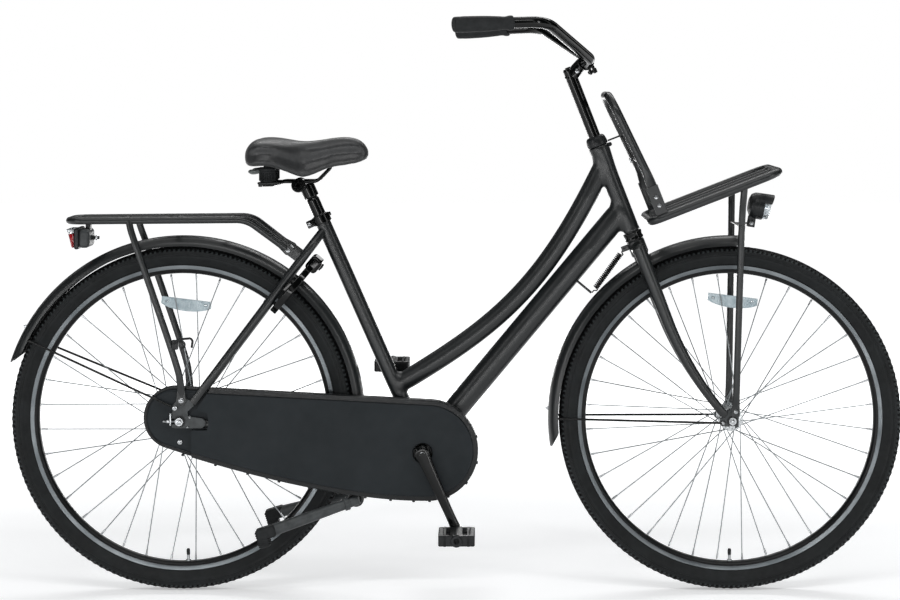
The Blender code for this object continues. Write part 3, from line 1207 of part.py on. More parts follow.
# Rear carrier and lamp
def build_rear_carrier():
    """Tube loop with cross bars and inner bars, struts bolted to the seat stays, two legs and a strap hook."""
    r, w, high = CARRIER_TUBE_RADIUS, REAR_CARRIER_HALF_WIDTH, REAR_CARRIER_HEIGHT
    foot = STAY_BRIDGE + STAY_BACK * LUG_REACH
    bend_x = foot.x + (high - foot.z) / math.tan(math.atan2(STAY_BACK.z, STAY_BACK.x))
    narrow = LUG_SPREAD + 0.0020 + SEAT_GAP + 0.0040
    sides = []
    for side in (-1, 1):
        sides.append([
            at(foot + STAY_BACK * 0.006, side * narrow), Vector((bend_x, side * w, high)),
            Vector((REAR_CARRIER_END, side * w, high - 0.003)),
        ])
    loop = filleted(sides[0] + sides[1][::-1], [0.060, 0.032, 0.032, 0.060], 2)
    pieces = [tube(loop, r, 8, [0.6] + [1] * (len(loop) - 2) + [0.6])]
    for behind in (-0.096, 0.014, 0.124):
        x = REAR_AXLE.x - behind
        pieces.append(cylinder((x, w, high - 0.002), (x, -w, high - 0.002), 0.005, 6))
    for across in (-0.020, 0.020):
        pieces.append(cylinder((REAR_AXLE.x + 0.101, across, high - 0.001), (REAR_CARRIER_END, across, high - 0.003),
                               0.004, 6))
    for side in (-1, 1):
        end = plate([arc((LUG_REACH, 0), 0.0105, math.radians(70), math.radians(290), 5)
                     + [(LUG_REACH + 0.022, -0.0070), (LUG_REACH + 0.022, 0.0070)]],
                    0.004, lug_frame(side * (LUG_SPREAD + 0.0020 + SEAT_GAP + 0.0020)))
        top = Vector((REAR_AXLE.x - 0.104, side * w, high - 0.002))
        ear_place = side * (DROPOUT_SPREAD + PLATE / 2 + SEAT_GAP + 0.002)
        low = REAR_AXLE + Vector((0.0045, ear_place, 0.0580))
        knee = Vector((REAR_AXLE.x - 0.086, side * 0.0670, high - 0.060))
        leg = tube([top, knee, low + Vector((-0.004, side * 0.004, 0.030)), low], r, 8, [1, 1, 1, 0.5])
        ear = plate([arc((0, 0), 0.0100, math.radians(0), math.radians(-180), 5)
                     + [(-0.0075, 0.022), (0.0075, 0.022)]], 0.004,
                    facing_side(REAR_AXLE + Vector((0.0035, 0, 0.0428)), ear_place))
        pieces += [end, leg, ear]
    hook = tube([REAR_AXLE + Vector(step) for step in (
        (-0.026, -0.0705, 0.156), (0.006, -0.0760, 0.156), (0.016, -0.0775, 0.146), (0.006, -0.0775, 0.139))], 0.0022, 6)
    lamp_plate = box((0.022, 0.046, 0.003), (REAR_CARRIER_END + 0.028, 0, high - 0.0070))
    pieces += [hook, lamp_plate]
    finish(welded(*pieces), "rear_carrier", "frame_paint")


def build_rear_lamp():
    """A battery lamp hung under the carrier's end: black body and a red lens on its back."""
    top = REAR_CARRIER_HEIGHT - 0.0085 - SEAT_GAP
    middle = top - 0.0320
    tail = REAR_CARRIER_END + 0.0100
    body = rounded_box((0.034, 0.078, 0.044), (tail + 0.017, 0, middle), 0.010, segments=1)
    hanger = box((0.010, 0.020, 0.020), (tail + 0.024, 0, top - 0.010))
    stud = cylinder((tail + 0.030, 0, middle), (tail + 0.047, 0, middle), 0.0035, 8)
    finish(welded(body, hanger, stud), "rear_lamp_body", "black_plastic")
    lens = rounded_box((0.0150, 0.074, 0.038), (tail - SEAT_GAP - 0.0075, 0, middle), 0.0055, segments=1)
    finish(lens, "rear_lamp_lens", "red_lens")


# Lock and stand
def build_lock_body():
    """A horseshoe body round tyre and fender, grooved inside for the bow, with its key housing on top."""
    out = Vector((math.cos(LOCK_ANGLE), 0, math.sin(LOCK_ANGLE)))
    turn = Matrix((Vector((0, 1, 0)), out, Vector((0, 1, 0)).cross(out))).transposed().to_4x4()
    frame = Matrix.Translation(REAR_AXLE + out * LOCK_DISTANCE) @ turn
    half = 0.0070
    inner, outer = LOCK_RING_RADIUS - 0.0062, LOCK_RING_RADIUS + 0.0095
    slot = LOCK_BOW_RADIUS + 0.0014
    profile = [(inner, half), (outer, half), (outer, -half), (inner, -half),
               (inner, -slot), (LOCK_RING_RADIUS + slot, -slot), (LOCK_RING_RADIUS + slot, slot), (inner, slot)]
    rings = []
    for a in np.linspace(math.radians(-54), math.radians(234), 15):
        rings.append([frame @ Vector((r * math.cos(a), r * math.sin(a), z)) for r, z in profile])
    body = loft(rings)
    housing = rounded_box((0.066, 0.026, 0.027), frame @ Vector((0, outer + 0.006, 0.004)), 0.005,
                          turn, segments=1)
    barrel = cylinder(frame @ Vector((0, outer + 0.008, 0.014)), frame @ Vector((0, outer + 0.008, 0.022)), 0.008, 10)
    lugs = [
        box((0.016, 0.022, 0.009), frame @ Vector((s * (inner + 0.001), 0.004, -0.0098)), turn) for s in (-1, 1)
    ]
    finish(welded(body, housing, barrel, *lugs), "ring_lock_body", "black_plastic")
    return frame


def build_lock_bow(frame, lock_swing):
    """The hardened bow, drawn back inside the horseshoe's left arm."""
    points = []
    for a in np.linspace(math.radians(52), math.radians(-48), 9):
        points.append(frame @ Vector((LOCK_RING_RADIUS * math.cos(a), LOCK_RING_RADIUS * math.sin(a), 0)))
    finish(tube(points, LOCK_BOW_RADIUS, 8), "lock_bow", "zinc_steel", lock_swing)


def build_stand(stand_fold):
    """Centre stand: a bracket under the chain stays and two splayed legs with rubber shoes, folded back."""
    pivot = side_view(*STAND_PIVOT)
    stays = along_stays()
    seat = BRACKET + (REAR_AXLE - BRACKET) * STAND_PLATE_SHARE
    top = [seat + stays @ Vector((x, y, -0.0030 - SEAT_GAP)) for x, y in
           ((0.022, 0.0165), (0.022, -0.0165), (-0.022, -0.0165), (-0.022, 0.0165))]
    low = [pivot + Vector(v) for v in ((0.012, 0.015, 0), (0.012, -0.015, 0), (-0.010, -0.015, 0), (-0.010, 0.015, 0))]
    housing = cylinder(at(pivot, 0.030), at(pivot, -0.030), 0.0165, 14)
    bracket = cut(welded(loft([top, low]), housing),
                  cylinder(at(pivot, 0.06), at(pivot, -0.06), STAND_BAR_RADIUS + RUNNING_GAP, 12))
    finish(bracket, "stand_bracket", "frame_paint")
    back = Vector((math.cos(STAND_FOLD_ANGLE), 0, math.sin(STAND_FOLD_ANGLE)))
    pieces = [cylinder(at(pivot, STAND_PIVOT_SPREAD), at(pivot, -STAND_PIVOT_SPREAD), STAND_BAR_RADIUS, 10)]
    for side in (-1, 1):
        hip = at(pivot, side * (STAND_PIVOT_SPREAD - 0.006))
        ankle = at(pivot + back * STAND_LEG_LENGTH, side * STAND_FOOT_SPREAD)
        leg = tube([hip, hip.lerp(ankle, 0.35), ankle], 0.0100, 8, [0.95, 1.1, 1.25])
        foot_turn = Matrix.Rotation(-math.atan2(back.z, back.x), 4, "Y")
        shoe = rounded_box((0.044, 0.030, 0.025), ankle + back * 0.004, 0.005, foot_turn, 1)
        pieces += [leg, shoe]
    finish(welded(*pieces), "stand_legs", "black_plastic", stand_fold)


# Seat
def build_seat(slide):
    """Seat post with its necked head, the tilting clamp, rails, spring barrels, pan and padded cover."""
    clamp_place = SEAT_TOP + Vector((SADDLE_CLAMP_BACK, 0, SADDLE_CLAMP_RISE))
    neck = SEAT_TOP + SEAT_LINE * 0.036
    tip = SEAT_TOP + SEAT_LINE * 0.064
    collar_radius = POST_NECK_RADIUS + 0.0045
    post = welded(
        cylinder(SEAT_TOP - SEAT_LINE * 0.170, neck, POST_RADIUS, 14),
        cylinder(neck - SEAT_LINE * 0.004, tip, POST_NECK_RADIUS, 10),
        cylinder(tip - SEAT_LINE * 0.026, tip + SEAT_LINE * 0.004, collar_radius, 10),
        cylinder(at(clamp_place, 0.0120), at(clamp_place, -0.0120), CLAMP_RADIUS - 0.0005, 8),
    )
    bolt_bore = bore(at(clamp_place, 0.05), at(clamp_place, -0.05), CLAMP_BOLT_RADIUS + SEAT_GAP, 8)
    finish(cut(post, bolt_bore), "seat_post", "gloss_paint", slide)
    saddle_tilt = axis_at("saddle_axis", clamp_place, slide)
    cheek_inside = collar_radius + RUNNING_GAP
    cheeks = [
        cylinder(at(clamp_place, s * cheek_inside), at(clamp_place, s * (RAIL_SPREAD + 0.0065)), CLAMP_RADIUS, 10)
        for s in (-1, 1)
    ]
    bolt = cylinder(at(clamp_place, RAIL_SPREAD + 0.0115), at(clamp_place, -RAIL_SPREAD - 0.0115),
                    CLAMP_BOLT_RADIUS, 8)
    clamp = welded(bolt, *cheeks)
    rail_height = 0.0078
    rail_cuts = [
        bore(at(clamp_place, s * RAIL_SPREAD) + Vector((-0.05, 0, rail_height)),
             at(clamp_place, s * RAIL_SPREAD) + Vector((0.05, 0, rail_height)), RAIL_RADIUS + SEAT_GAP, 8)
        for s in (-1, 1)
    ]
    finish(cut(clamp, *rail_cuts), "saddle_clamp", "gloss_paint", saddle_tilt)

    rail_z = clamp_place.z + rail_height
    half = []
    for side in (-1, 1):
        half.append([clamp_place + Vector((x, side * y, rail_height + z)) for x, y, z in (
            (-0.0725, 0.0430, -0.0060), (-0.0530, 0.0340, -0.0060), (-0.0300, RAIL_SPREAD, 0.0),
            (0.0380, RAIL_SPREAD, 0.0), (0.0660, 0.0120, 0.0290),
        )])
    corners = half[0] + half[1][::-1]
    rails = tube(filleted(corners, [0.015, 0.020, 0.020, 0.009, 0.009, 0.020, 0.020, 0.015], 2),
                 RAIL_RADIUS, 6)
    finish(rails, "saddle_rails", "gloss_paint", saddle_tilt)
    for name, side in (("right", -1), ("left", 1)):
        base = Vector((clamp_place.x - 0.0690, side * 0.050, rail_z - 0.0060 + RAIL_RADIUS))
        profile = [(0.0, 0.0225), (0.0150, 0.0225), (0.0172, 0.0165), (0.0158, 0.0120), (0.0172, 0.0075),
                   (0.0140, 0.0), (0.0, 0.0)]
        finish(turned(profile, Matrix.Translation(base), 14), "saddle_spring_" + name, "black_plastic", saddle_tilt)
    build_saddle(saddle_tilt, clamp_place)


# Saddle stations from tail to nose: share of the length, share of the width, top and skirt from the clamp
SADDLE_STATIONS = (
    (0.000, 0.62, 0.077, 0.056), (0.030, 0.84, 0.0923, 0.0438), (0.085, 0.97, 0.0973, 0.0418),
    (0.160, 1.00, 0.0990, 0.0428), (0.240, 0.93, 0.0980, 0.0388), (0.320, 0.74, 0.0948, 0.0308),
    (0.400, 0.52, 0.0913, 0.0253), (0.480, 0.395, 0.0908, 0.0283), (0.560, 0.33, 0.0923, 0.0373),
    (0.660, 0.30, 0.0953, 0.0428), (0.780, 0.285, 0.0986, 0.0453), (0.880, 0.27, 0.0973, 0.0493),
    (0.950, 0.22, 0.0898, 0.0538), (1.000, 0.11, 0.0748, 0.0618),
)


def saddle_ring(station, origin):
    """One cross-section of the saddle: a crowned top with rounded shoulders and drawn-in skirts."""
    share, width, top, bottom = station
    x = origin.x + SADDLE_TAIL + SADDLE_LENGTH * share
    half = SADDLE_HALF_WIDTH * width
    dip = 0.0035 * max(0.0, 1 - abs(share - 0.22) / 0.3)
    tall = top - bottom
    shape = (
        (0.00, 1.0), (0.34, 1.015), (0.64, 0.97), (0.86, 0.84), (0.985, 0.60), (1.00, 0.36), (0.95, 0.12),
        (0.86, 0.00),
    )
    right = [Vector((x, -half * y, origin.z + bottom + tall * z - (dip if y == 0 else 0))) for y, z in shape]
    left = [Vector((p.x, -p.y, p.z)) for p in right[1:]][::-1]
    return right + left


def build_saddle(saddle_tilt, origin):
    """Padded cover over a stiff pan; the cover's underside is hollow, the pan carries the rails."""
    cushion = loft([saddle_ring(s, origin) for s in SADDLE_STATIONS])
    pocket, pan = [], []
    for share, width, top, bottom in SADDLE_STATIONS[1:-1]:
        x = origin.x + SADDLE_TAIL + SADDLE_LENGTH * share
        half = max(SADDLE_HALF_WIDTH * width * 0.86 - 0.006, 0.010)
        low = origin.z + min(bottom, PAN_BOTTOM) - 0.03
        high = origin.z + PAN_TOP + SEAT_GAP
        pocket.append([Vector((x, y, z)) for y, z in ((-half, low), (half, low), (half, high), (-half, high))])
        half -= 0.0012
        low, high = origin.z + PAN_BOTTOM, origin.z + PAN_TOP
        pan.append([Vector((x, y, z)) for y, z in ((-half, low), (half, low), (half, high), (-half, high))])
    finish(cut(cushion, loft(pocket)), "saddle_cover", "saddle_skin", saddle_tilt)
    socket = box((0.018, 0.034, 0.014), origin + Vector((0.0665, 0, PAN_BOTTOM - 0.005)))
    rail_groove = bore(origin + Vector((0.0665, 0.05, 0.0368)), origin + Vector((0.0665, -0.05, 0.0368)),
                       RAIL_RADIUS + RUNNING_GAP, 8)
    base = cut(welded(loft(pan[1:-1]), socket), rail_groove)
    finish(base, "saddle_base", "black_plastic", saddle_tilt)


STEERING = axis_at("steering_axis", steer_point(0, 0, HEAD_BOTTOM))
FRONT_SPIN = axis_at("front_wheel_axis", FRONT_AXLE, STEERING)
REAR_SPIN = axis_at("rear_wheel_axis", REAR_AXLE)
DRIVER_SPIN = axis_at("driver_axis", REAR_AXLE)
CRANK_SPIN = axis_at("crank_axis", BRACKET)
SEAT_SLIDE = axis_at("seat_axis", SEAT_TOP)
STAND_FOLD = axis_at("stand_axis", side_view(*STAND_PIVOT))
LOCK_SWING = axis_at(
    "lock_axis",
    REAR_AXLE + Vector((math.cos(LOCK_ANGLE), 0, math.sin(LOCK_ANGLE))) * LOCK_DISTANCE,
)

build_main_frame()
build_rear_stays()
build_head_parts()
build_seat_collar()
build_wheel("rear", REAR_AXLE, REAR_SPIN, math.radians(-88), 0.0024,
            (0.0335, 0.0240, (0.030, 0.026), (REAR_HUB_LEFT, REAR_HUB_RIGHT)))
build_wheel("front", FRONT_AXLE, FRONT_SPIN, math.radians(-90), 0.0034,
            (0.0200, 0.0130, (0.033, 0.033), (0.044, 0.044)))
build_sprockets(CRANK_SPIN, DRIVER_SPIN)
build_chain()
build_chain_case()
build_cranks(CRANK_SPIN)
build_rear_fittings()
build_fenders()
build_fork()
build_stem_and_bar()
build_steering_spring()
build_front_carrier()
build_backrest()
build_headlamp()
build_rear_carrier()
build_rear_lamp()
LOCK_FRAME = build_lock_body()
build_lock_bow(LOCK_FRAME, LOCK_SWING)
build_stand(STAND_FOLD)
build_seat(SEAT_SLIDE)
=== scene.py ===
# %% [markdown]
# # A cargo bicycle, finished over its CAD frame
# The engineering model gives every piece its place and its joint. It is coarse on purpose, with tubes of
# eight sides and wheels of thirty-two, so this lesson makes each visible piece again, finely, in the same
# place, and lets it ride on the body of the piece that it stands for. Sizes are in metres, +X is forwards,
# +Y is the rider's left and +Z is up.

# %% Load the frame
from math import atan2, copysign, cos, pi, radians, sin, sqrt, tan, tau

import bmesh
import bpy
from mathutils import Matrix, Vector
from mathutils.bvhtree import BVHTree
from mathutils.geometry import tessellate_polygon
from mathutils.kdtree import KDTree


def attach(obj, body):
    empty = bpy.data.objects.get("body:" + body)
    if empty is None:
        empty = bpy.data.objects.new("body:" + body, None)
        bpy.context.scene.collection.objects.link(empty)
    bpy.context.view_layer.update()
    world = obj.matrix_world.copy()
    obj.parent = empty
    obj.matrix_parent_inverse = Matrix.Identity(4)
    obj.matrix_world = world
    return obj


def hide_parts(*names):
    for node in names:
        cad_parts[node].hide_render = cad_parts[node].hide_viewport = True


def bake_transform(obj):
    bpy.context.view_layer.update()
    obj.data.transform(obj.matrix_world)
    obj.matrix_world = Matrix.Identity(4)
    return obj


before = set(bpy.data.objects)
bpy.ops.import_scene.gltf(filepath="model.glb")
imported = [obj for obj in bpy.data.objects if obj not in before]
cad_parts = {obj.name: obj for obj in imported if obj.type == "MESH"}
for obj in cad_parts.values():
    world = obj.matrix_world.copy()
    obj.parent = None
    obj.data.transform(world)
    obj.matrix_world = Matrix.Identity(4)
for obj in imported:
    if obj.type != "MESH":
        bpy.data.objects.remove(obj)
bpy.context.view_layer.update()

# %% [markdown]
# ## The camera
# The picture is a catalogue view, square on to the right side from a distance, with the lens level at the
# height of the bars. A long lens and a small shift give the same drawing of near and far tubes. The shift
# does what a view camera's rising back does: it frames the wheels without tilting, so uprights stay upright.

# %% Camera
def placed(name, data):
    """An object of this data, in the scene."""
    made = bpy.data.objects.new(name, data)
    bpy.context.scene.collection.objects.link(made)
    return made


DISTANCE, FOCAL_MM, SENSOR_MM, PICTURE_WIDE = 4.5, 86.77, 36.0, 900
lens = bpy.data.cameras.new("side_view_camera")
lens.sensor_width, lens.lens = SENSOR_MM, FOCAL_MM
lens.shift_x, lens.shift_y = -0.0333, -0.2444
lens.clip_end = 60
camera = placed("side_view_camera", lens)
camera.location = (0.0487, -DISTANCE, 1.0545)
camera.rotation_euler = (radians(90), 0, 0)
bpy.context.scene.camera = camera
bpy.context.scene.view_settings.view_transform = "Standard"
print("millimetres per pixel on the middle plane:",
    round(1000 * DISTANCE * SENSOR_MM / FOCAL_MM / PICTURE_WIDE, 3))

# %% [markdown]
# ## One function for nodes, one for colours
# A material here is a short list of nodes. `add` makes one node, sets it up and links it in one line.
# Hex colours are written as they look on screen, and `linear` turns them to the values that light is
# reckoned in.

# %% Nodes and colours
def linear(hex_colour):
    """An sRGB hex colour as linear values with alpha."""
    parts = [int(hex_colour[i:i + 2], 16) / 255 for i in (1, 3, 5)]
    return (*[c / 12.92 if c <= 0.04045 else ((c + 0.055) / 1.055) ** 2.4 for c in parts], 1.0)


def add(tree, kind, inputs=None, feeds=None, **settings):
    """Adds a shader node, sets it up, sets or links its inputs, and may feed one output on to a socket."""
    made = tree.nodes.new("ShaderNode" + kind)
    for name, value in settings.items():
        setattr(made, name, value)
    for name, value in (inputs or {}).items():
        if isinstance(value, bpy.types.NodeSocket):
            tree.links.new(value, made.inputs[name])
        else:
            made.inputs[name].default_value = value
    if feeds:
        tree.links.new(made.outputs[feeds[0]], feeds[1])
    return made


def reckon(tree, operation, *values):
    """One step of arithmetic on numbers or sockets; gives its result."""
    return add(tree, "Math", dict(enumerate(values)), operation=operation).outputs[0]


def bare(holder):
    """The node tree of a material or a world, emptied."""
    holder.use_nodes = True
    holder.node_tree.nodes.clear()
    return holder.node_tree


print("charcoal in linear light:", [round(c, 4) for c in linear("#2b2e2f")])

# %% [markdown]
# ## The studio
# A catalogue picture of a dark bicycle is lit by long strip lamps, each of which draws one bright line along
# every tube. The sky is white to the eye and to every mirror-like surface. A photographer keeps that white
# out of black paint with flags, dark cards that stand round the bicycle: the paint mirrors the cards and
# stays black, and the gaps over and between them draw its bright edges. The floor is white too, and keeps a
# soft shadow under the wheels.

# %% Sky
sky = bpy.data.worlds.new("studio_sky")
bpy.context.scene.world = sky
sky_tree = bare(sky)


def seen_directly(tree):
    """1 for rays that should meet the white background: camera, mirror and see-through rays."""
    path = add(tree, "LightPath").outputs
    mirror = reckon(tree, "MAXIMUM", path["Is Camera Ray"], path["Is Glossy Ray"])
    return reckon(tree, "MAXIMUM", mirror, path["Is Transmission Ray"])


lamp_sky = add(sky_tree, "Background", {"Color": (0.97, 0.985, 1.0, 1), "Strength": 0.28})
white_sky = add(sky_tree, "Background", {"Color": (1, 1, 1, 1), "Strength": 1.0})
sky_mix = add(sky_tree, "MixShader",
    {0: seen_directly(sky_tree), 1: lamp_sky.outputs[0], 2: white_sky.outputs[0]})
add(sky_tree, "OutputWorld", {"Surface": sky_mix.outputs[0]})
print("sky as a lamp:", lamp_sky.inputs["Strength"].default_value)

# %% Lamps
def soft_lamp(name, place, aimed_at, size, watts):
    """A rectangular lamp that faces a point."""
    lamp = bpy.data.lights.new(name, "AREA")
    lamp.shape = "RECTANGLE"
    lamp.size, lamp.size_y = size
    lamp.energy = watts
    made = placed(name, lamp)
    made.location = place
    way = Vector(aimed_at) - Vector(place)
    made.rotation_euler = way.to_track_quat("-Z", "Y").to_euler()
    made.visible_camera = False
    return made


soft_lamp("low_strip_front", (-0.5, -3.0, 0.35), (0.0, 0.0, 0.75), (4.6, 0.14), 26)
soft_lamp("high_strip_front", (0.3, -2.6, 3.7), (0.0, 0.0, 0.5), (4.4, 0.3), 50)
soft_lamp("high_strip_back", (0.3, 2.4, 3.4), (0.0, 0.0, 0.5), (4.4, 0.35), 50)
soft_lamp("tall_strip_left", (-3.4, -2.9, 1.3), (0.0, 0.0, 0.7), (0.2, 2.4), 24)
soft_lamp("tall_strip_right", (3.6, -2.4, 1.3), (0.0, 0.0, 0.7), (0.26, 2.4), 24)
soft_lamp("low_strip_back", (0.4, 3.0, 0.4), (0.0, 0.0, 0.75), (4.6, 0.14), 22)
print("lamps:", len(bpy.data.lights))

# %% Flags
flag_cloth = bpy.data.materials.new("black_flag_cloth")
flag_tree = bare(flag_cloth)
cloth_black = add(flag_tree, "BsdfDiffuse", {"Color": linear("#0a0a0a")})
add(flag_tree, "OutputMaterial", {"Surface": cloth_black.outputs[0]})
FLAG_COUNT, FLAG_RING, FLAG_GAP, FLAG_LOW, FLAG_HIGH = 8, 6.5, radians(3), 0.1, 9.0
for turn_number in range(FLAG_COUNT):
    middle = tau * (turn_number + 0.5) / FLAG_COUNT
    ends = [middle + s * (pi / FLAG_COUNT - FLAG_GAP) for s in (-1, 1)]
    low = [(FLAG_RING * cos(a), FLAG_RING * sin(a), FLAG_LOW) for a in ends]
    high = [(x, y, FLAG_HIGH) for x, y, _ in low[::-1]]
    card = bpy.data.meshes.new("flag")
    card.from_pydata(low + high, [], [(0, 1, 2, 3)])
    card.materials.append(flag_cloth)
    flag = placed("flag_%d" % turn_number, card)
    # Only mirror-like rays meet the cards, so they take no light off the object and stand in no picture.
    flag.visible_camera = flag.visible_diffuse = flag.visible_shadow = flag.visible_transmission = False
print("flags:", FLAG_COUNT, "at", FLAG_RING, "m")

# %% Floor
floor_mesh = bpy.data.meshes.new("studio_floor")
FLOOR_HALF, FLOOR_LEVEL = 14, -0.0004
floor_corners = [(x * FLOOR_HALF, y * FLOOR_HALF, FLOOR_LEVEL) for x, y
    in ((-1, -1), (1, -1), (1, 1), (-1, 1))]
floor_mesh.from_pydata(floor_corners, [], [(0, 1, 2, 3)])
floor = placed("studio_floor", floor_mesh)
floor_paint = bpy.data.materials.new("matte_studio_paint")
floor_tree = bare(floor_paint)
lit = add(floor_tree, "BsdfDiffuse", {"Color": linear("#f2f3f4")})
# The lamps light a pool round the bicycle. Outside it the floor glows more, so that it stays as white.
way_out = add(floor_tree, "VectorMath", {0: add(floor_tree, "TexCoord").outputs["Object"]},
    operation="LENGTH")
pool = add(floor_tree, "MapRange",
    {"Value": way_out.outputs["Value"], "From Min": 0.9, "From Max": 3.2, "To Min": 0.34, "To Max": 0.8},
    interpolation_type="SMOOTHSTEP")
glow_share = reckon(floor_tree, "MULTIPLY", seen_directly(floor_tree), pool.outputs["Result"])
glow = add(floor_tree, "Emission", {"Color": (1, 1, 1, 1), "Strength": glow_share})
both = add(floor_tree, "AddShader", {0: lit.outputs[0], 1: glow.outputs[0]})
add(floor_tree, "OutputMaterial", {"Surface": both.outputs[0]})
floor_mesh.materials.append(floor_paint)
print("floor at", floor_mesh.vertices[0].co.z)

# %% [markdown]
# ## Finishes
# No real surface is even. Each finish here has three scales of unevenness over the values of the real stuff:
# its colour drifts over centimetres, its gloss changes over millimetres where it was handled, and a fine
# grain from how it was made lies under both. The grain is a bump with a real depth in millimetres. Pieces
# are modelled where they stand, so the object coordinate is already a place in metres.

# %% A finish
FINISHES = {}


def new_finish(name, dark, pale, drift_mm, gloss, wear_mm, grain_mm, depth_mm, metallic=0.0, level=0.5):
    """A finish with colour drift, uneven gloss and grain; gives its tree, shader, place and bump."""
    made = bpy.data.materials.new(name)
    made.use_nodes = True
    made.diffuse_color = linear(pale)
    tree = made.node_tree
    shader = tree.nodes["Principled BSDF"]
    shader.inputs["Metallic"].default_value = metallic
    if not metallic:
        shader.inputs["Specular IOR Level"].default_value = level
    place = add(tree, "TexCoord").outputs["Object"]
    drift = add(tree, "TexNoise", {"Vector": place, "Scale": 1000 / drift_mm, "Detail": 3.0})
    share = add(tree, "MapRange", {"Value": drift.outputs["Fac"], "From Min": 0.32, "From Max": 0.68})
    add(tree, "Mix", {0: share.outputs["Result"], 6: linear(dark), 7: linear(pale)},
        feeds=(2, shader.inputs["Base Color"]), data_type="RGBA")
    wear = add(tree, "TexNoise", {"Vector": place, "Scale": 1000 / wear_mm, "Detail": 3.0})
    add(tree, "MapRange", {"Value": wear.outputs["Fac"], "From Min": 0.3, "From Max": 0.7, "To Min": gloss[0],
        "To Max": gloss[1]}, feeds=("Result", shader.inputs["Roughness"]))
    grain = add(tree, "TexNoise", {"Vector": place, "Scale": 1000 / grain_mm, "Detail": 2.0})
    bump = add(tree, "Bump", {"Height": grain.outputs["Fac"], "Distance": depth_mm / 1000},
        feeds=("Normal", shader.inputs["Normal"]))
    FINISHES[name] = made
    return tree, shader, place, bump


def relief(tree, shader, bump, height, depth_mm):
    """A coarser shape in the surface, under the same grain."""
    add(tree, "Bump", {"Height": height, "Distance": depth_mm / 1000, "Normal": bump.outputs["Normal"]},
        feeds=("Normal", shader.inputs["Normal"]))


def waves(tree, distance, every_mm):
    """A sine over a distance in metres."""
    return reckon(tree, "SINE", reckon(tree, "MULTIPLY", distance, tau / (every_mm / 1000)))


print("each finish drifts, wears and has a grain")

# %% [markdown]
# ### Paint and plating on steel
# Frame, fork, carriers and fenders are steel, sprayed with a charcoal powder that melts into a satin skin.
# The eye sees a broad soft shine and a faint orange peel, about a millimetre across, that breaks the edge of
# each highlight. Bars, stem, post, cranks and saddle rails are baked in a hard black gloss, which gives a
# sharp line of light. Nuts, bolts and axles have a bright zinc plate: a pale, slightly blue mirror that
# clouds where fingers and spanners touch it.

# %% Powder coat, enamel and zinc
new_finish("powder_coat_satin_charcoal", "#111415", "#181b1c", 60, (0.31, 0.36), 30, 1.4, 0.006, level=0.5)
new_finish("baked_enamel_gloss_black", "#050606", "#090a0a", 25, (0.08, 0.13), 14, 3.0, 0.008, level=0.24)
new_finish("phosphated_dropout_steel", "#343738", "#454849", 15, (0.42, 0.55), 5, 0.9, 0.03, level=0.35)
new_finish("zinc_plated_steel", "#9da0a2", "#bdbfc1", 4, (0.22, 0.38), 2, 0.5, 0.006, metallic=1.0)
# Spokes are drawn through dies. They look mid-grey against white, so their colour is darker than a nut's.
new_finish("drawn_spoke_wire", "#868b8d", "#a2a6a8", 12, (0.38, 0.5), 3, 0.6, 0.004, metallic=1.0)
print("steel finishes:", len(FINISHES))

# %% [markdown]
# ### Aluminium, turned and anodised
# Hub shells are turned and polished, and keep fine rings from the lathe. Rims are black anodised aluminium
# with a brake track cut bright on each side, where the metal is greyer and the cut coarser.

# %% Hub, rim and brake track
tree, shader, place, bump = new_finish("turned_aluminium_hub", "#a7aaac", "#c6c9ca", 8, (0.2, 0.36), 3, 0.6,
    0.003, metallic=1.0)
axis = add(tree, "SeparateXYZ", {"Vector": place})
relief(tree, shader, bump, waves(tree, axis.outputs["Y"], 0.7), 0.006)
new_finish("anodised_aluminium_black", "#090a0b", "#101112", 30, (0.28, 0.38), 5, 0.8, 0.006, level=0.22)
tree, shader, place, bump = new_finish("machined_brake_track", "#5b6063", "#7f8487", 90, (0.28, 0.38), 2, 0.6,
    0.01, metallic=1.0)
shader.inputs["Anisotropic"].default_value = 0.75
add(tree, "Tangent", feeds=("Tangent", shader.inputs["Tangent"]), direction_type="RADIAL", axis="Y")
print("lathe rings every 0.7 mm")

# %% [markdown]
# ### Oiled chain steel
# Chain, chainring and sprocket run in grease inside the case. Oil darkens the steel in patches and leaves it
# brighter on the worn flanks.

# %% Chain steel
new_finish("oiled_chain_steel", "#454442", "#5e5b57", 6, (0.28, 0.55), 4, 1.0, 0.02, metallic=1.0)
print("oil patches of 6 mm")

# %% [markdown]
# ### Plastics and rubbers
# The chain case is moulded polypropylene, a little bluer than the paint, matte from a mould that was etched
# with a fine leather grain. Housings and pedals are nylon with short glass fibres, which leave a streaky
# sheen over black. A tyre comes out of its mould matte, and its side walls soon show a grey bloom of wax,
# which the road keeps off the tread. Grips are a soft dull rubber with a spark-eroded texture.

# %% Plastics and rubbers
tree, shader, place, bump = new_finish("polypropylene_grained_slate", "#191e21", "#1f2427", 90, (0.5, 0.6),
    20, 0.5, 0.01, level=0.2)
# The etched grain is half a millimetre on the real case, and is drawn at 0.8 mm to show.
etched = add(tree, "TexVoronoi", {"Vector": place, "Scale": 1000 / 0.8}, feature="SMOOTH_F1")
relief(tree, shader, bump, etched.outputs["Distance"], 0.05)
# This dark nylon also paints shade: in screw slots and in the chain case's recessed border.
new_finish("glass_filled_nylon_black_and_painted_shade", "#0a0c0d", "#121517", 30, (0.32, 0.46), 4, 0.7, 0.02, level=0.32)
new_finish("vulcanised_rubber_tread", "#0b0c0d", "#131415", 45, (0.66, 0.82), 12, 0.9, 0.06, level=0.24)
new_finish("waxed_rubber_sidewall", "#101213", "#191c1d", 45, (0.56, 0.7), 12, 0.7, 0.03, level=0.26)
# The raised shoulder lugs take this paler rubber: a painted highlight on their tops.
new_finish("rubber_lug_painted_highlight", "#262a2b", "#353a3b", 20, (0.6, 0.74), 8, 0.7, 0.02, level=0.36)
new_finish("elastomer_bumper_grey", "#565b5a", "#6c7170", 12, (0.3, 0.42), 6, 1.2, 0.02, level=0.45)
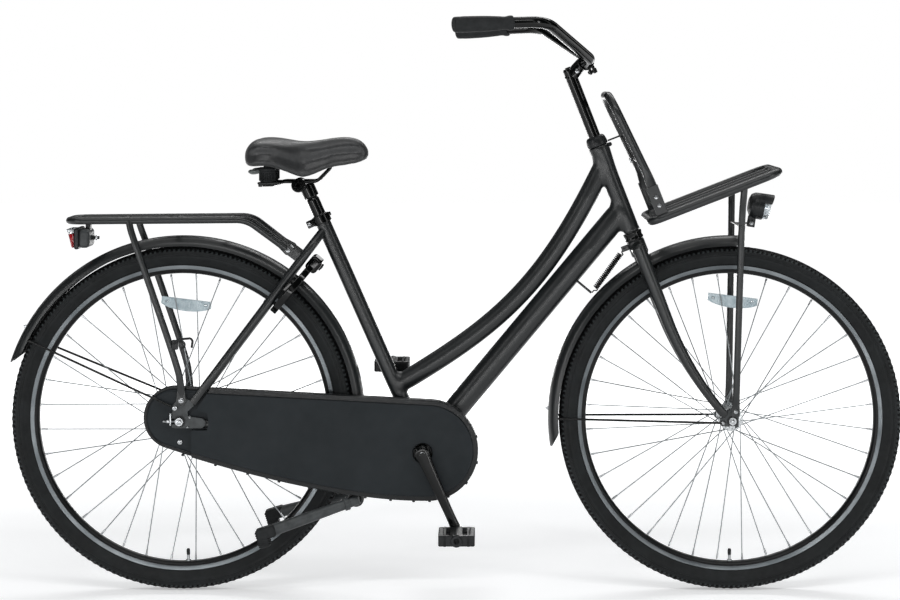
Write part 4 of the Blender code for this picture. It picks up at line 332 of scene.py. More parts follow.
new_finish("thermoplastic_rubber_grip", "#191b1c", "#232526", 18, (0.62, 0.76), 6, 0.6, 0.05, level=0.26)
print("mould grain of 0.8 mm")

# %% [markdown]
# ### Saddle skin
# The saddle's skin is a fabric coated with polyurethane and pulled over foam. Its coating is embossed with a
# leather grain of rounded cells, one to two millimetres wide, and soft creases run where it was stretched.
# It shines softly where the light grazes it, which a little sheen gives.

# %% Saddle skin
tree, shader, place, bump = new_finish("polyurethane_leather_saddle", "#1f2021", "#292a2b", 8, (0.36, 0.46),
    10, 7.0, 0.03, level=0.5)
cells = add(tree, "TexVoronoi", {"Vector": place, "Scale": 1000 / 1.6}, feature="SMOOTH_F1")
relief(tree, shader, bump, cells.outputs["Distance"], 0.03)
shader.inputs["Sheen Weight"].default_value = 0.08
print("leather cells of 1.6 mm")

# %% [markdown]
# ### Lamp plastics and reflectors
# Lenses are polycarbonate, moulded clear or red, and the spoke reflectors are acrylic. Light goes in, meets
# small prisms at the back and comes out again. The red lens is drawn as plastic of a deep colour over cut
# cells, and the spoke reflectors as a pale plate with three crossing rows of prisms, 2.5 mm apart.

# %% Lenses and reflectors
def see_through(shader, bending, share):
    """Lets a share of the light through, bent by this much."""
    shader.inputs["IOR"].default_value = bending
    shader.inputs["Transmission Weight"].default_value = share


POLYCARBONATE, ACRYLIC = 1.58, 1.49
shader = new_finish("polycarbonate_clear", "#d8dde0", "#e6eaec", 20, (0.03, 0.07), 8, 4.0, 0.01)[1]
see_through(shader, POLYCARBONATE, 0.85)

tree, shader, place, bump = new_finish("polycarbonate_red", "#8d0d15", "#b81a22", 12, (0.08, 0.14), 8, 4.0,
    0.01)
see_through(shader, POLYCARBONATE, 0.25)
cut = add(tree, "TexVoronoi", {"Vector": place, "Scale": 1000 / 2.4})
relief(tree, shader, bump, cut.outputs["Distance"], 0.1)

tree, shader, place, bump = new_finish("acrylic_prism_reflector", "#9fb0b7", "#bcc9ce", 12, (0.16, 0.26), 5,
    2.0, 0.01)
shader.inputs["IOR"].default_value = ACRYLIC
rows = []
for lean in (0, 60, 120):
    cut = add(tree, "VectorMath", {0: place, 1: (cos(radians(lean)), 0, sin(radians(lean)))},
        operation="DOT_PRODUCT")
    rows.append(waves(tree, cut.outputs["Value"], 2.5))
prism = reckon(tree, "MAXIMUM", reckon(tree, "MAXIMUM", rows[0], rows[1]), rows[2])
relief(tree, shader, bump, prism, 0.12)
new_finish("vapour_coated_reflector", "#d2d5d7", "#e2e4e6", 10, (0.05, 0.09), 5, 3.0, 0.01, metallic=1.0)
print("finishes:", len(FINISHES))

# %% [markdown]
# ## The bench: sizes and shaping tools
# The sizes are the engineering model's own, so that every piece lands where its joint is. The tools are few:
# a sweep for tubes and wires, a lathe for round pieces, a plate for sheet and forgings, a block for
# mouldings and a loft for everything that changes its section. Each adds a closed shell to the piece that
# is on the bench, and `make` takes it off, gives it its finish and puts it on its body.

# %% Sizes and places
def mm(text):
    """Rows of millimetres, "1 2, 3 4", as tuples in metres."""
    return [tuple(float(number) / 1000 for number in row.split()) for row in text.split(",")]


def by(x, y, z):
    """A step in millimetres."""
    return Vector([number / 1000 for number in (x, y, z)])


def shift(step):
    return Matrix.Translation(step)


def in_side_view(turned):
    """The way that lies this many degrees up from ahead, in the side view."""
    return Vector((cos(radians(turned)), 0, sin(radians(turned))))


FRONT_AXLE = by(566, 0, 356)
REAR_AXLE = by(-566, 0, 356)
BRACKET = Vector((REAR_AXLE.x + sqrt(0.5015 ** 2 - 0.064 ** 2), 0, 0.292))
SEAT_LINE = in_side_view(180 - 66)
SEAT_TOP = BRACKET + SEAT_LINE * 0.53
HEAD_LEAN = radians(68.7)
STEER_UP = Vector((-cos(HEAD_LEAN), 0, sin(HEAD_LEAN)))
STEER_AHEAD = Vector((sin(HEAD_LEAN), 0, cos(HEAD_LEAN)))
STEER_FOOT = FRONT_AXLE - STEER_AHEAD * 0.0493
HEAD_LOW, HEAD_HIGH = 0.432, 0.622
ACROSS = Vector((0, 1, 0))
WHEELS = (("front", FRONT_AXLE), ("rear", REAR_AXLE))
SIDES = (("right", -1), ("left", 1))
STAY_HEAD = BRACKET + SEAT_LINE * 0.487 + by(-13.7, 0, 0)
STAY_FOOT = REAR_AXLE + by(26.5, 0, 37)
STAY_WAY = (STAY_FOOT - STAY_HEAD).normalized()
STAY_BACK = Vector((STAY_WAY.z, 0, -STAY_WAY.x))
STAY_BRIDGE = STAY_HEAD + STAY_WAY * 0.0645


def steer(ahead, across, up):
    """A point given from the foot of the steering axis: ahead of it, across it and up along it."""
    return STEER_FOOT + STEER_AHEAD * ahead + ACROSS * across + STEER_UP * up


def at(place, across):
    """The same place in the side view, moved across the bicycle."""
    return Vector((place[0], across, place[2]))


def facing(centre, across=0.0):
    """A matrix whose XY plane is the side view, local Z towards the bicycle's right."""
    return shift((centre[0], across, centre[2])) @ Matrix.Rotation(pi / 2, 4, "X")


def axes(origin, x_way, y_way, z_way):
    """A matrix with these local axes."""
    turn = Matrix((x_way, y_way, z_way)).transposed().to_4x4()
    return shift(origin) @ turn


def steer_axes(ahead, across, up):
    return axes(steer(ahead, across, up), STEER_AHEAD, ACROSS, STEER_UP)


def along(start, end):
    """A matrix at start whose local Z runs to end."""
    way = Vector(end) - Vector(start)
    return shift(start) @ way.to_track_quat("Z", "Y").to_matrix().to_4x4()


def outwards(place, side, across=0.0):
    """A matrix at this distance across, its local Z away from the middle plane."""
    return along(at(place, side * across), at(place, side))


print("bottom bracket at", [round(c, 4) for c in BRACKET], "saddle tube's top at",
    [round(c, 4) for c in SEAT_TOP])

# %% Lines and outlines
def bezier(p0, p1, p2, p3, steps):
    """Points along a cubic curve."""
    points = []
    for i in range(steps + 1):
        t = i / steps
        points.append(p0 * (1 - t) ** 3 + p1 * 3 * t * (1 - t) ** 2 + p2 * 3 * t ** 2 * (1 - t) + p3 * t ** 3)
    return points


def bent(corners, radii, steps=10):
    """A path through corners, each inner one rounded to its radius, as a tube bender leaves it."""
    corners = [Vector(c) for c in corners]
    path = [corners[0]]
    for before, corner, after, radius in zip(corners, corners[1:], corners[2:], radii):
        into, out = (before - corner).normalized(), (after - corner).normalized()
        half = into.angle(out) / 2
        middle = corner + (into + out).normalized() * (radius / sin(half))
        first = corner + into * (radius / tan(half)) - middle
        last = corner + out * (radius / tan(half)) - middle
        turn_by = first.angle(last)
        for i in range(steps + 1):
            s = i / steps
            mixed = first * sin((1 - s) * turn_by) + last * sin(s * turn_by)
            path.append(middle + mixed / sin(turn_by))
    path.append(corners[-1])
    return path


def relaxed(rows, rounds=3):
    """Rows of numbers with every corner cut off again and again; the first and last stay."""
    for _ in range(rounds):
        made = [rows[0]]
        for a, b in zip(rows, rows[1:]):
            made.append([p * 0.75 + q * 0.25 for p, q in zip(a, b)])
            made.append([p * 0.25 + q * 0.75 for p, q in zip(a, b)])
        rows = made + [rows[-1]]
    return rows


def arc(centre, radius, start, end, steps):
    """Points (x, y) along an arc, its angles in degrees."""
    turns = [radians(start + (end - start) * i / steps) for i in range(steps + 1)]
    return [(centre[0] + radius * cos(a), centre[1] + radius * sin(a)) for a in turns]


def circle(radius, steps=32, centre=(0, 0)):
    return arc(centre, radius, 0, 360, steps)[:-1]


def eased(line, radius, steps=3, closed=False):
    """An outline or profile whose corners are rounded."""
    count = len(line)
    made = [] if closed else [line[0]]
    for i in range(0 if closed else 1, count if closed else count - 1):
        before, corner, after = (Vector(line[k % count]) for k in (i - 1, i, i + 1))
        near = (before - corner).length
        far = (after - corner).length
        start = corner + (before - corner) * (min(radius, 0.45 * near) / max(near, 1e-9))
        end = corner + (after - corner) * (min(radius, 0.45 * far) / max(far, 1e-9))
        for k in range(steps + 1):
            t = k / steps
            made.append(tuple(start * (1 - t) ** 2 + corner * 2 * t * (1 - t) + end * t ** 2))
    return made if closed else made + [line[-1]]


def drawn_in(outline, amount):
    """An outline moved to its left by amount."""
    made = []
    count = len(outline)
    for i in range(count):
        before, corner, after = (Vector(outline[k % count]) for k in (i - 1, i, i + 1))
        a, b = (corner - before).normalized(), (after - corner).normalized()
        left = Vector((-a.y - b.y, a.x + b.x))
        made.append(tuple(corner + left * (amount / max(0.35, 1 + a.dot(b)))))
    return made


def wound(outline, way):
    """The outline, turned round if needed so that it runs anticlockwise for 1 or clockwise for -1."""
    area = sum(a[0] * b[1] - b[0] * a[1] for a, b in zip(outline, outline[1:] + outline[:1]))
    return list(outline) if area * way > 0 else list(outline)[::-1]


print("a bend of 60 mm in", len(bent([(0, 0, 0), (1, 0, 0), (1, 1, 0)], [0.06])), "points")

# %% Sweep, lathe, plate, block and loft
def bridge(bm, near, far, look=0):
    """Faces between two rings of vertices."""
    for i in range(len(near)):
        j = (i + 1) % len(near)
        bm.faces.new((near[i], near[j], far[j], far[i])).material_index = look


def skin(bm, rings, look=0, closed=False):
    """A shell over rings of equal point counts, with an end at each side unless it is closed on itself."""
    loops = [[bm.verts.new(p) for p in ring] for ring in rings]
    for near, far in zip(loops, loops[1:] + (loops[:1] if closed else [])):
        bridge(bm, near, far, look)
    if not closed:
        bm.faces.new(loops[0][::-1]).material_index = look
        bm.faces.new(loops[-1]).material_index = look


def sweep(bm, points, size, sides=20, look=0, closed=False, across=None, dome=0.0, square=1.0):
    """A bar along points. Its size is a radius, a (wide, thick) pair, or a list of either.

    A square below 1 flattens the section's four sides, as in a forging.
    """
    points = [Vector(p) for p in points]
    count = len(points)
    sizes = size if isinstance(size, list) else [size] * count
    sizes = [s if isinstance(s, tuple) else (s, s) for s in sizes]
    rings = []
    first = None
    for i, (point, (wide, thick)) in enumerate(zip(points, sizes)):
        before = points[(i - 1) % count] if closed else points[max(i - 1, 0)]
        after = points[(i + 1) % count] if closed else points[min(i + 1, count - 1)]
        way = (after - before).normalized()
        guide = across[i] if isinstance(across, list) else across
        guide = guide or first or way.orthogonal()
        first = (guide - way * guide.dot(way)).normalized()
        second = way.cross(first)
        turns = [tau * (k + 0.5) / sides for k in range(sides)]
        shape = [(copysign(abs(cos(a)) ** square, cos(a)), copysign(abs(sin(a)) ** square, sin(a))) for a
            in turns]
        steps = [(0.0, 0.0)]
        if dome and i in (0, count - 1):
            back = -1 if i == 0 else 1
            rises = [radians(a) for a in (28, 55, 78)]
            steps += [(back * dome * sin(a), dome * (1 - cos(a))) for a in rises]
            steps = steps[::-1] if i == 0 else steps
        for on, less in steps:
            middle = point + way * on
            rings.append([middle + first * ((wide - less) * c) + second * ((thick - less) * d) for c, d
                in shape])
    skin(bm, rings, look, closed=closed)


def turn(bm, profile, place, steps=64, look=0):
    """A turned piece: (radius, height) pairs swept about local Z. Pairs on the axis close it."""
    rows = []
    for r, h in profile:
        turns = [tau * k / steps for k in range(steps)] if r > 1e-6 else [0]
        rows.append([bm.verts.new(place @ Vector((r * cos(a), r * sin(a), h))) for a in turns])
    pairs = list(zip(rows, rows[1:]))
    if len(rows[0]) > 1 and len(rows[-1]) > 1:
        pairs.append((rows[-1], rows[0]))
    for n, (near, far) in enumerate(pairs):
        for i in range(steps):
            j = (i + 1) % steps
            corners = (near[i % len(near)], near[j % len(near)], far[j % len(far)], far[i % len(far)])
            face = bm.faces.new(list(dict.fromkeys(corners)))
            face.material_index = look[n] if isinstance(look, list) else look


def plate(bm, outlines, thick, place, edge=0.0005, look=0):
    """A flat plate with rounded edges from outlines in local XY; the first is its rim, the rest are holes."""
    outlines = [wound(o, 1 if n == 0 else -1) for n, o in enumerate(outlines)]
    half = thick / 2
    layers = [(-half, edge), (-half + edge * 0.3, edge * 0.3), (-half + edge, 0.0)]
    layers += [(-h, inset) for h, inset in layers[::-1]]
    grids = []
    for h, inset in layers:
        level = [drawn_in(o, inset) for o in outlines]
        grids.append([[bm.verts.new(place @ Vector((x, y, h))) for x, y in line] for line in level])
    for low, high in zip(grids, grids[1:]):
        for near, far in zip(low, high):
            bridge(bm, near, far, look)
    for grid, (h, inset) in ((grids[0], layers[0]), (grids[-1], layers[-1])):
        flat = [v for line in grid for v in line]
        lines = [[Vector((x, y, 0)) for x, y in drawn_in(o, inset)] for o in outlines]
        for corners in tessellate_polygon(lines):
            bm.faces.new([flat[k] for k in corners]).material_index = look


def block(bm, size, place, edge=0.001, look=0, segments=3):
    """A moulded block with rounded edges."""
    own = bmesh.new()
    bmesh.ops.create_cube(own, size=1, matrix=Matrix.Diagonal((*size, 1)))
    bmesh.ops.bevel(own, geom=own.edges[:], offset=edge, segments=segments, affect="EDGES", profile=0.5)
    corners = {v: bm.verts.new(place @ v.co) for v in own.verts}
    for face in own.faces:
        bm.faces.new([corners[v] for v in face.verts]).material_index = look
    own.free()


def rod(bm, start, end, radius, look=0):
    """A round bar between two places with softened ends."""
    edge = 0.0006
    length = (Vector(end) - Vector(start)).length
    turn(bm, [(0, 0), (radius - edge, 0), (radius, edge), (radius, length - edge), (radius - edge, length),
        (0, length)], along(start, end), 24, look)


def crossbar(bm, place, half, radius, look=0):
    """A round bar right across the bicycle."""
    rod(bm, at(place, half), at(place, -half), radius, look=look)


def band(bm, radii, ends, place, sides, soft, steps=3, look=0):
    """A turned ring from its two radii, its two ends and the softness of its edges, in millimetres."""
    (inner, outer), (low, high) = [[number / 1000 for number in pair] for pair in (radii, ends)]
    profile = [(inner, low), (outer, low), (outer, high), (inner, high)]
    turn(bm, eased(profile, soft / 1000, steps, True), place, sides, look)


def hexagon(bm, start, end, radius, look=0):
    """A nut or bolt head: six flats with the corners turned off at both faces."""
    length = (Vector(end) - Vector(start)).length
    rings = []
    for h, share in ((0, 0.88), (length * 0.14, 1.0), (length * 0.86, 1.0), (length, 0.88)):
        ring = []
        for k in range(24):
            a = tau * k / 24
            flat = radius * 0.866 / cos((a + pi / 6) % (pi / 3) - pi / 6)
            reach = min(flat, radius * share) if share < 1 else flat
            ring.append(along(start, end) @ Vector((reach * cos(a), reach * sin(a), h)))
        rings.append(ring)
    skin(bm, rings, look)


print("tools ready")

# %% Taking a piece off the bench
STEEL_PAINT, GLOSS = "powder_coat_satin_charcoal", "baked_enamel_gloss_black"
DARK_STEEL, CASE_PLASTIC = "phosphated_dropout_steel", "polypropylene_grained_slate"
NYLON_AND_PAINTED_SHADE, TYRE, GRIP = "glass_filled_nylon_black_and_painted_shade", "vulcanised_rubber_tread", "thermoplastic_rubber_grip"
ZINC, WIRE, ALLOY = "zinc_plated_steel", "drawn_spoke_wire", "turned_aluminium_hub"
SADDLE, CLEAR = "polyurethane_leather_saddle", "polycarbonate_clear"
# The finishes that each of the frame's material slots may take, the usual one first.
SLOT_FINISHES = {
    "frame_paint": [STEEL_PAINT, DARK_STEEL],
    "gloss_paint": [GLOSS],
    "case_vinyl": [CASE_PLASTIC],
    "black_plastic": [NYLON_AND_PAINTED_SHADE, "elastomer_bumper_grey"],
    "tyre_rubber": [TYRE, "waxed_rubber_sidewall", "rubber_lug_painted_highlight"],
    "grip_rubber": [GRIP],
    "saddle_skin": [SADDLE],
    "zinc_steel": [ZINC, WIRE, ALLOY],
    "rim_metal": ["anodised_aluminium_black", "machined_brake_track"],
    "chain_steel": ["oiled_chain_steel"],
    "red_lens": ["polycarbonate_red"],
    "clear_lens": [CLEAR, "vapour_coated_reflector"],
    "reflector": ["acrylic_prism_reflector"],
}


def as_object(bm, name="blank"):
    """A finished bmesh as a bare object."""
    bmesh.ops.recalc_face_normals(bm, faces=bm.faces)
    mesh = bpy.data.meshes.new(name)
    bm.to_mesh(mesh)
    bm.free()
    return placed(name, mesh)


def make(name, bm, finishes, body, *stands_for, sharp=34):
    """Takes the piece off the bench: normals, finishes, its body and the CAD nodes that it stands for."""
    made = as_object(bm, name)
    mesh = made.data
    for finish in finishes:
        mesh.materials.append(FINISHES[finish])
    mesh.shade_smooth()
    mesh.set_sharp_from_angle(angle=radians(sharp))
    shading = made.modifiers.new("even_shading", "WEIGHTED_NORMAL")
    shading.keep_sharp = True
    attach(made, body)
    if stands_for:
        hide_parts(*stands_for)
    print(f"{name}: {len(mesh.polygons)} faces on {body}")
    return made


def seam(bm, wall, root, way, size, bead):
    """A bead of metal where a tube from root along way meets a wall; gives the places along it."""
    walls = BVHTree.FromBMesh(wall)
    way = way.normalized()
    second = way.cross(ACROSS).normalized()
    first = second.cross(way)
    line, outward = [], []
    for k in range(120):
        a = tau * k / 120
        out = first * (size[0] * cos(a)) + second * (size[1] * sin(a))
        hit = walls.ray_cast(root + out, way, 0.5)[0]
        if hit:
            line.append(hit)
            outward.append(out.normalized())
    sweep(bm, line, bead, 10, closed=True, across=outward)
    return line


def worked_out(obj):
    """The object as its modifiers leave it."""
    return obj.evaluated_get(bpy.context.evaluated_depsgraph_get())


def smoothed(bm, verts, rounds):
    """Moves each place towards the middle of its neighbours, again and again."""
    for _ in range(rounds):
        bmesh.ops.smooth_vert(bm, verts=verts, factor=0.5, use_axis_x=True, use_axis_y=True, use_axis_z=True)


def carved(bm, cutter, operation="DIFFERENCE"):
    """What is left of a bmesh when a second one is cut out of it, or where both overlap."""
    blank, tool = as_object(bm), as_object(cutter)
    cutting = blank.modifiers.new("cut", "BOOLEAN")
    cutting.operation, cutting.solver, cutting.object = operation, "EXACT", tool
    bpy.context.view_layer.update()
    made = bmesh.new()
    made.from_mesh(worked_out(blank).to_mesh())
    bpy.data.objects.remove(blank)
    bpy.data.objects.remove(tool)
    return made


# %% [markdown]
# ## The frame
# On the real bicycle the tubes are mitred, held in a jig, welded and filled smooth before the paint, so
# that they flow into each other. One large tube runs down from the head in a long curve and gives the low
# step; a straight, thicker one goes to the bottom bracket. Here each tube is a sweep, and a bead of metal is
# laid along every seam by shooting rays at the neighbour's wall. A fine voxel remesh fuses them all, and
# only the metal near the seams is then smoothed, which leaves the tubes true and the joints filleted.

# %% Frame tubes
bm = bmesh.new()
head_wall, seat_wall = bmesh.new(), bmesh.new()
head_profile = mm("0 0, 18.3 0, 18.7 1, 18.7 3.5, 18 5.2, 18 118, 18.4 136, 19.5 154, 20.8 170, 21.4 182, "
    "21.4 189, 21 190, 0 190")
seat_profile = mm("0 0, 15.5 0, 15.5 529.4, 15 530, 0 530")
for bench in (bm, head_wall):
    turn(bench, head_profile, steer_axes(0, 0, HEAD_LOW), 64)
for bench in (bm, seat_wall):
    turn(bench, seat_profile, along(BRACKET, SEAT_TOP), 56)

top_start = steer(0, 0, HEAD_HIGH - 0.036)
top_end = BRACKET + SEAT_LINE * 0.14
span = (top_start - top_end).length
upper, lower = in_side_view(180 + 64.5), in_side_view(31)
top_path = bezier(top_start, top_start + upper * span * 0.47, top_end + lower * span * 0.37, top_end, 72)
pressed = [(0.02 - 0.0045 * max(0, 1 - i / 7) - 0.0058 * max(0, 1 - (72 - i) / 7), 0.02) for i in range(73)]
sweep(bm, top_path, pressed, 40, across=ACROSS)
down_end = steer(0, 0, HEAD_LOW + 0.05)
down_path = [BRACKET.lerp(down_end, i / 24) for i in range(25)]
pressed = [(0.0248 - 0.0082 * max(0, (i - 20) / 4) ** 0.8, 0.0248) for i in range(25)]
sweep(bm, down_path, pressed, 44, across=ACROSS)

seams = seam(bm, head_wall, top_path[12], top_start - top_path[5], (0.0158, 0.02), 0.0042)
seams += seam(bm, head_wall, down_path[19], down_end - BRACKET, (0.0168, 0.0248), 0.0042)
seams += seam(bm, seat_wall, top_path[60], top_end - top_path[67], (0.0146, 0.02), 0.0034)
for wall in (head_wall, seat_wall):
    wall.free()
print("seam points:", len(seams))

# %% Main frame
blank = as_object(bm)
fuse = blank.modifiers.new("fuse", "REMESH")
fuse.mode, fuse.voxel_size = "VOXEL", 0.002
bpy.context.view_layer.update()
bm = bmesh.new()
bm.from_mesh(worked_out(blank).to_mesh())
bpy.data.objects.remove(blank)
near_seam = KDTree(len(seams))
for k, place in enumerate(seams):
    near_seam.insert(place, k)
near_seam.balance()
fillet = [v for v in bm.verts if near_seam.find(v.co)[2] < 0.0125]
smoothed(bm, fillet, 60)
smoothed(bm, bm.verts[:], 4)
band(bm, (18, 21), (-34, 34), facing(BRACKET), 64, 0.8)

down_line = (down_end - BRACKET).normalized()
spring_head = steer(-0.0275, 0, 0.404)
spring_foot = spring_head - Matrix.Rotation(-radians(3.758), 3, "Y") @ down_line * 0.11387
lug_root = BRACKET + down_line * (spring_foot - BRACKET).dot(down_line)
rod(bm, lug_root, spring_foot + (lug_root - spring_foot).normalized() * 0.001, 0.0025)
make("frame_tubes_and_welds", bm, [STEEL_PAINT], "frame", "main_frame")

# %% [markdown]
# ## Rear triangle
# Chain stays and seat stays are slim tubes that spread round the wheel and end flattened in the dropouts,
# which are plates cut from hot-rolled steel. `limb` lets path and thickness change together, so a tube can
# run out into its flat end.

# %% Rear stays
def limb(bm, rows, sides=24, look=0, rounds=3, across=None, dome=0.0, square=1.0):
    """A bar whose path and size change together: rows of (place, size along across, size square to it)."""
    rows = relaxed([[*p, w, t] for p, w, t in rows], rounds)
    sweep(bm, [r[:3] for r in rows], [(r[3], r[4]) for r in rows], sides, look, across=across, dome=dome,
        square=square)


def screw(bm, place, outward, radius, look=0, height=0.0024):
    """A pan-head screw seen from outward. Its slot is a thin bar in the next finish, a dark nylon that is
    painted shade in the cut.
    """
    frame_here = along(place, Vector(place) + Vector(outward))
    turn(bm, [(0, -0.001), (radius, -0.001), (radius, height * 0.45), (radius * 0.86, height * 0.8),
        (radius * 0.5, height), (0, height)], frame_here, 28, look)
    block(bm, (radius * 1.5, radius * 0.24, 0.0004), frame_here @ shift((0, 0, height)), 0.0001, look + 1)


# Half the distance between the dropouts, their thickness and slot, and how far out the next piece can start.
SPREAD, FORK_SPREAD, PLATE, SLOT, PLATE_FACE = 0.058, 0.053, 0.005, 0.0055, 0.0028
# The lug on each seat stay: how far across it stands, and how far its hole lies behind the stay.
LUG_ACROSS, LUG_REACH = 0.041, 0.0326
FENDER = 0.376
dropout_outline = eased(arc((0.0035, 0.0428), 0.011, 10, 190, 12)
    + arc((-0.0094, 0.0275), 0.0072, 120, 230, 8) + [(-0.0165, 0.016), (-0.0165, SLOT), (SLOT, SLOT),
    (SLOT, -SLOT), (-0.0165, -SLOT), (-0.0165, -0.0125), (-0.008, -0.0146)]
    + arc((0.042, -0.004), 0.0106, -90, 70, 10) + mm("17 10, 16 20, 29 31, 27 42"), 0.0014, 3, True)


def over_fender(axle, place, above=0.0):
    """The point over a fender, on the line from the axle to a place."""
    return axle + (place - axle).normalized() * (FENDER + 0.001 + above)


def lug_axes(across):
    """Local X backwards and up from the stays, local Y along them."""
    return axes(at(STAY_BRIDGE, across), STAY_BACK, -STAY_WAY, ACROSS)


bm = bmesh.new()
stay_line = REAR_AXLE - BRACKET
stay_run = STAY_FOOT - STAY_HEAD
# Thousandths of the way along a stay, then how far across it is, how wide and how thick.
CHAIN_STAY = mm("30 24.5 9.5 9.9, 200 34 8.5 10.5, 420 44 8.8 9.5, 660 48.5 8.8 9, 860 51.2 8 8.5, "
    "905 52 4 9, 945 52.5 2.4 9.2")
SEAT_STAY = mm("550 50 9 9, 840 59.2 8.2 8.6, 930 59.5 4 8.8, 1000 59.2 2.4 8")
for side in (-1, 1):
    limb(bm, [(at(BRACKET + stay_line * run, side * y), w, t) for run, y, w, t in CHAIN_STAY], across=ACROSS)
    limb(bm, [(at(STAY_HEAD - STAY_WAY * 0.006, side * 0.009), 0.0078, 0.0085),
        (at(STAY_HEAD + STAY_WAY * 0.022, side * 0.031), 0.009, 0.009),
        (at(STAY_HEAD + STAY_WAY * 0.045, side * 0.0375), 0.009, 0.009),
        (at(STAY_BRIDGE, side * 0.0392), 0.009, 0.009)]
        + [(at(STAY_HEAD + stay_run * run, side * y), w, t) for run, y, w, t in SEAT_STAY], across=ACROSS)
    lug = arc((LUG_REACH, 0), 0.0095, -80, 80, 12) + [(-0.002, 0.0095), (-0.002, -0.0095)]
    plate(bm, [eased(lug, 0.001, 2, True)], 0.004, lug_axes(side * LUG_ACROSS))
crossbar(bm, STAY_BRIDGE, 0.04, 0.006)
crossbar(bm, over_fender(REAR_AXLE, STAY_BRIDGE, 0.0046), 0.038, 0.005)
stays_lean = Matrix.Rotation(atan2(stay_line.z, -stay_line.x), 4, "Y")
stand_seat = BRACKET + stay_line * 0.135
block(bm, (0.05, 0.062, 0.006), shift(stand_seat) @ stays_lean, 0.0015)
for side in (-1, 1):
    plate(bm, [dropout_outline], PLATE, facing(REAR_AXLE, side * SPREAD), 0.0007, look=1)
    for x, z, r, out in ((0.0035, 0.0428, 0.0055, 0.0074), (-0.0094, 0.0275, 0.0052, 0.008),
            (0.0205, 0.008, 0.0024, 0.0025), (0.0165, -0.012, 0.002, 0.0025)):
        screw(bm, REAR_AXLE + Vector((x, side * (SPREAD + out), z)), (0, side, 0), r, 2)
make("rear_stays_and_dropouts", bm, [STEEL_PAINT, DARK_STEEL, ZINC, NYLON_AND_PAINTED_SHADE], "frame", "rear_stays")

# %% [markdown]
# ## Head bearings and seat collar
# The lower cup is pressed into the head tube and shines through the gap over the crown. The upper one hides
# under a soft-edged moulded cap. Both are turned pieces, so a profile on the lathe gives them. The collar is
# a ring with two ears, and the screw through the ears pinches it on the post.

# %% Cups, cap and stop
bm = bmesh.new()
turn(bm,
    mm("15.3 17.5, 19 17.5, 19.8 16.5, 19.8 14, 18.7 10.5, 18.6 7.5, 19.4 5.8, 19.8 3, 19.4 1.6, 15.3 1.6"),
    steer_axes(0, 0, 0.413), 56)
make("lower_bearing_cup", bm, [GLOSS], "frame", "lower_head_cup")

bm = bmesh.new()
turn(bm, eased(mm("13.1 21.5, 16 21.5, 19.8 18, 21.6 9.5, 21.7 0.4, 14.6 0.4"), 0.0026, 5, True),
    steer_axes(0, 0, HEAD_HIGH), 64)
make("upper_bearing_cap", bm, [NYLON_AND_PAINTED_SHADE], "steering", "head_cap")

bm = bmesh.new()
knob = steer(0.0175, 0, HEAD_HIGH - 0.005)
turn(bm, eased(mm("0 0, 4.2 0, 4.2 7, 3.4 10, 0 10.8"), 0.001, 3), along(knob, knob + STEER_AHEAD), 32)
make("steering_stop_rubber", bm, [GRIP], "frame")

# %% Seat collar
seat_behind = Vector((-SEAT_LINE.z, 0, SEAT_LINE.x))
collar_middle = SEAT_TOP - SEAT_LINE * 0.011
bm = bmesh.new()
band(bm, (15.8, 19), (-9, 9), along(collar_middle, SEAT_TOP), 56, 1.2)
for side in (-1, 1):
    ear = axes(at(collar_middle + seat_behind * 0.023, side * 0.0052), seat_behind, ACROSS, -SEAT_LINE)
    block(bm, (0.019, 0.007, 0.0155), ear, 0.002)
bolt = collar_middle + seat_behind * 0.0275
hexagon(bm, at(bolt, 0.0088), at(bolt, 0.0135), 0.0046, 1)
screw(bm, at(bolt, -0.0092), (0, -1, 0), 0.0042, 1, 0.0044)
crossbar(bm, bolt, 0.009, 0.0022, 1)
tab = axes(collar_middle - seat_behind * 0.02 + SEAT_LINE * 0.004, seat_behind, ACROSS, -SEAT_LINE)
block(bm, (0.005, 0.009, 0.008), tab, 0.0015)
make("seat_collar_with_screw", bm, [GLOSS, ZINC, NYLON_AND_PAINTED_SHADE], "frame", "seat_collar")

# %% [markdown]
# ## Wheels
# A wheel is a ring of rubber, a hollow metal hoop, and thirty-six wires under tension. The tyre has rows of
# small lugs on its shoulders, three fine grooves round its crown and two fine moulded lines on its wall.
# Every spoke leaves its flange at a tangent and passes under three others. Each wheel is built once for its
# own hub and rides on its own body, so it turns.

# %% Tyres
def tread(angle, step):
    """How much the rubber stands out at an angle on the section, at a step round the tyre."""
    off_crown = abs(angle - 90)
    if 30 <= off_crown <= 50:
        return 0.001 if step % 6 < 3 else -0.0012
    if 50 < off_crown <= 61:
        return 0.0016 if step % 4 < 2 else -0.0014
    if any(abs(off_crown - g) < 2.2 for g in (0, 11, 22)):
        return -0.001
    if any(abs(off_crown - g) < 1.6 for g in (84, 96)):
        return 0.0009
    return 0.0


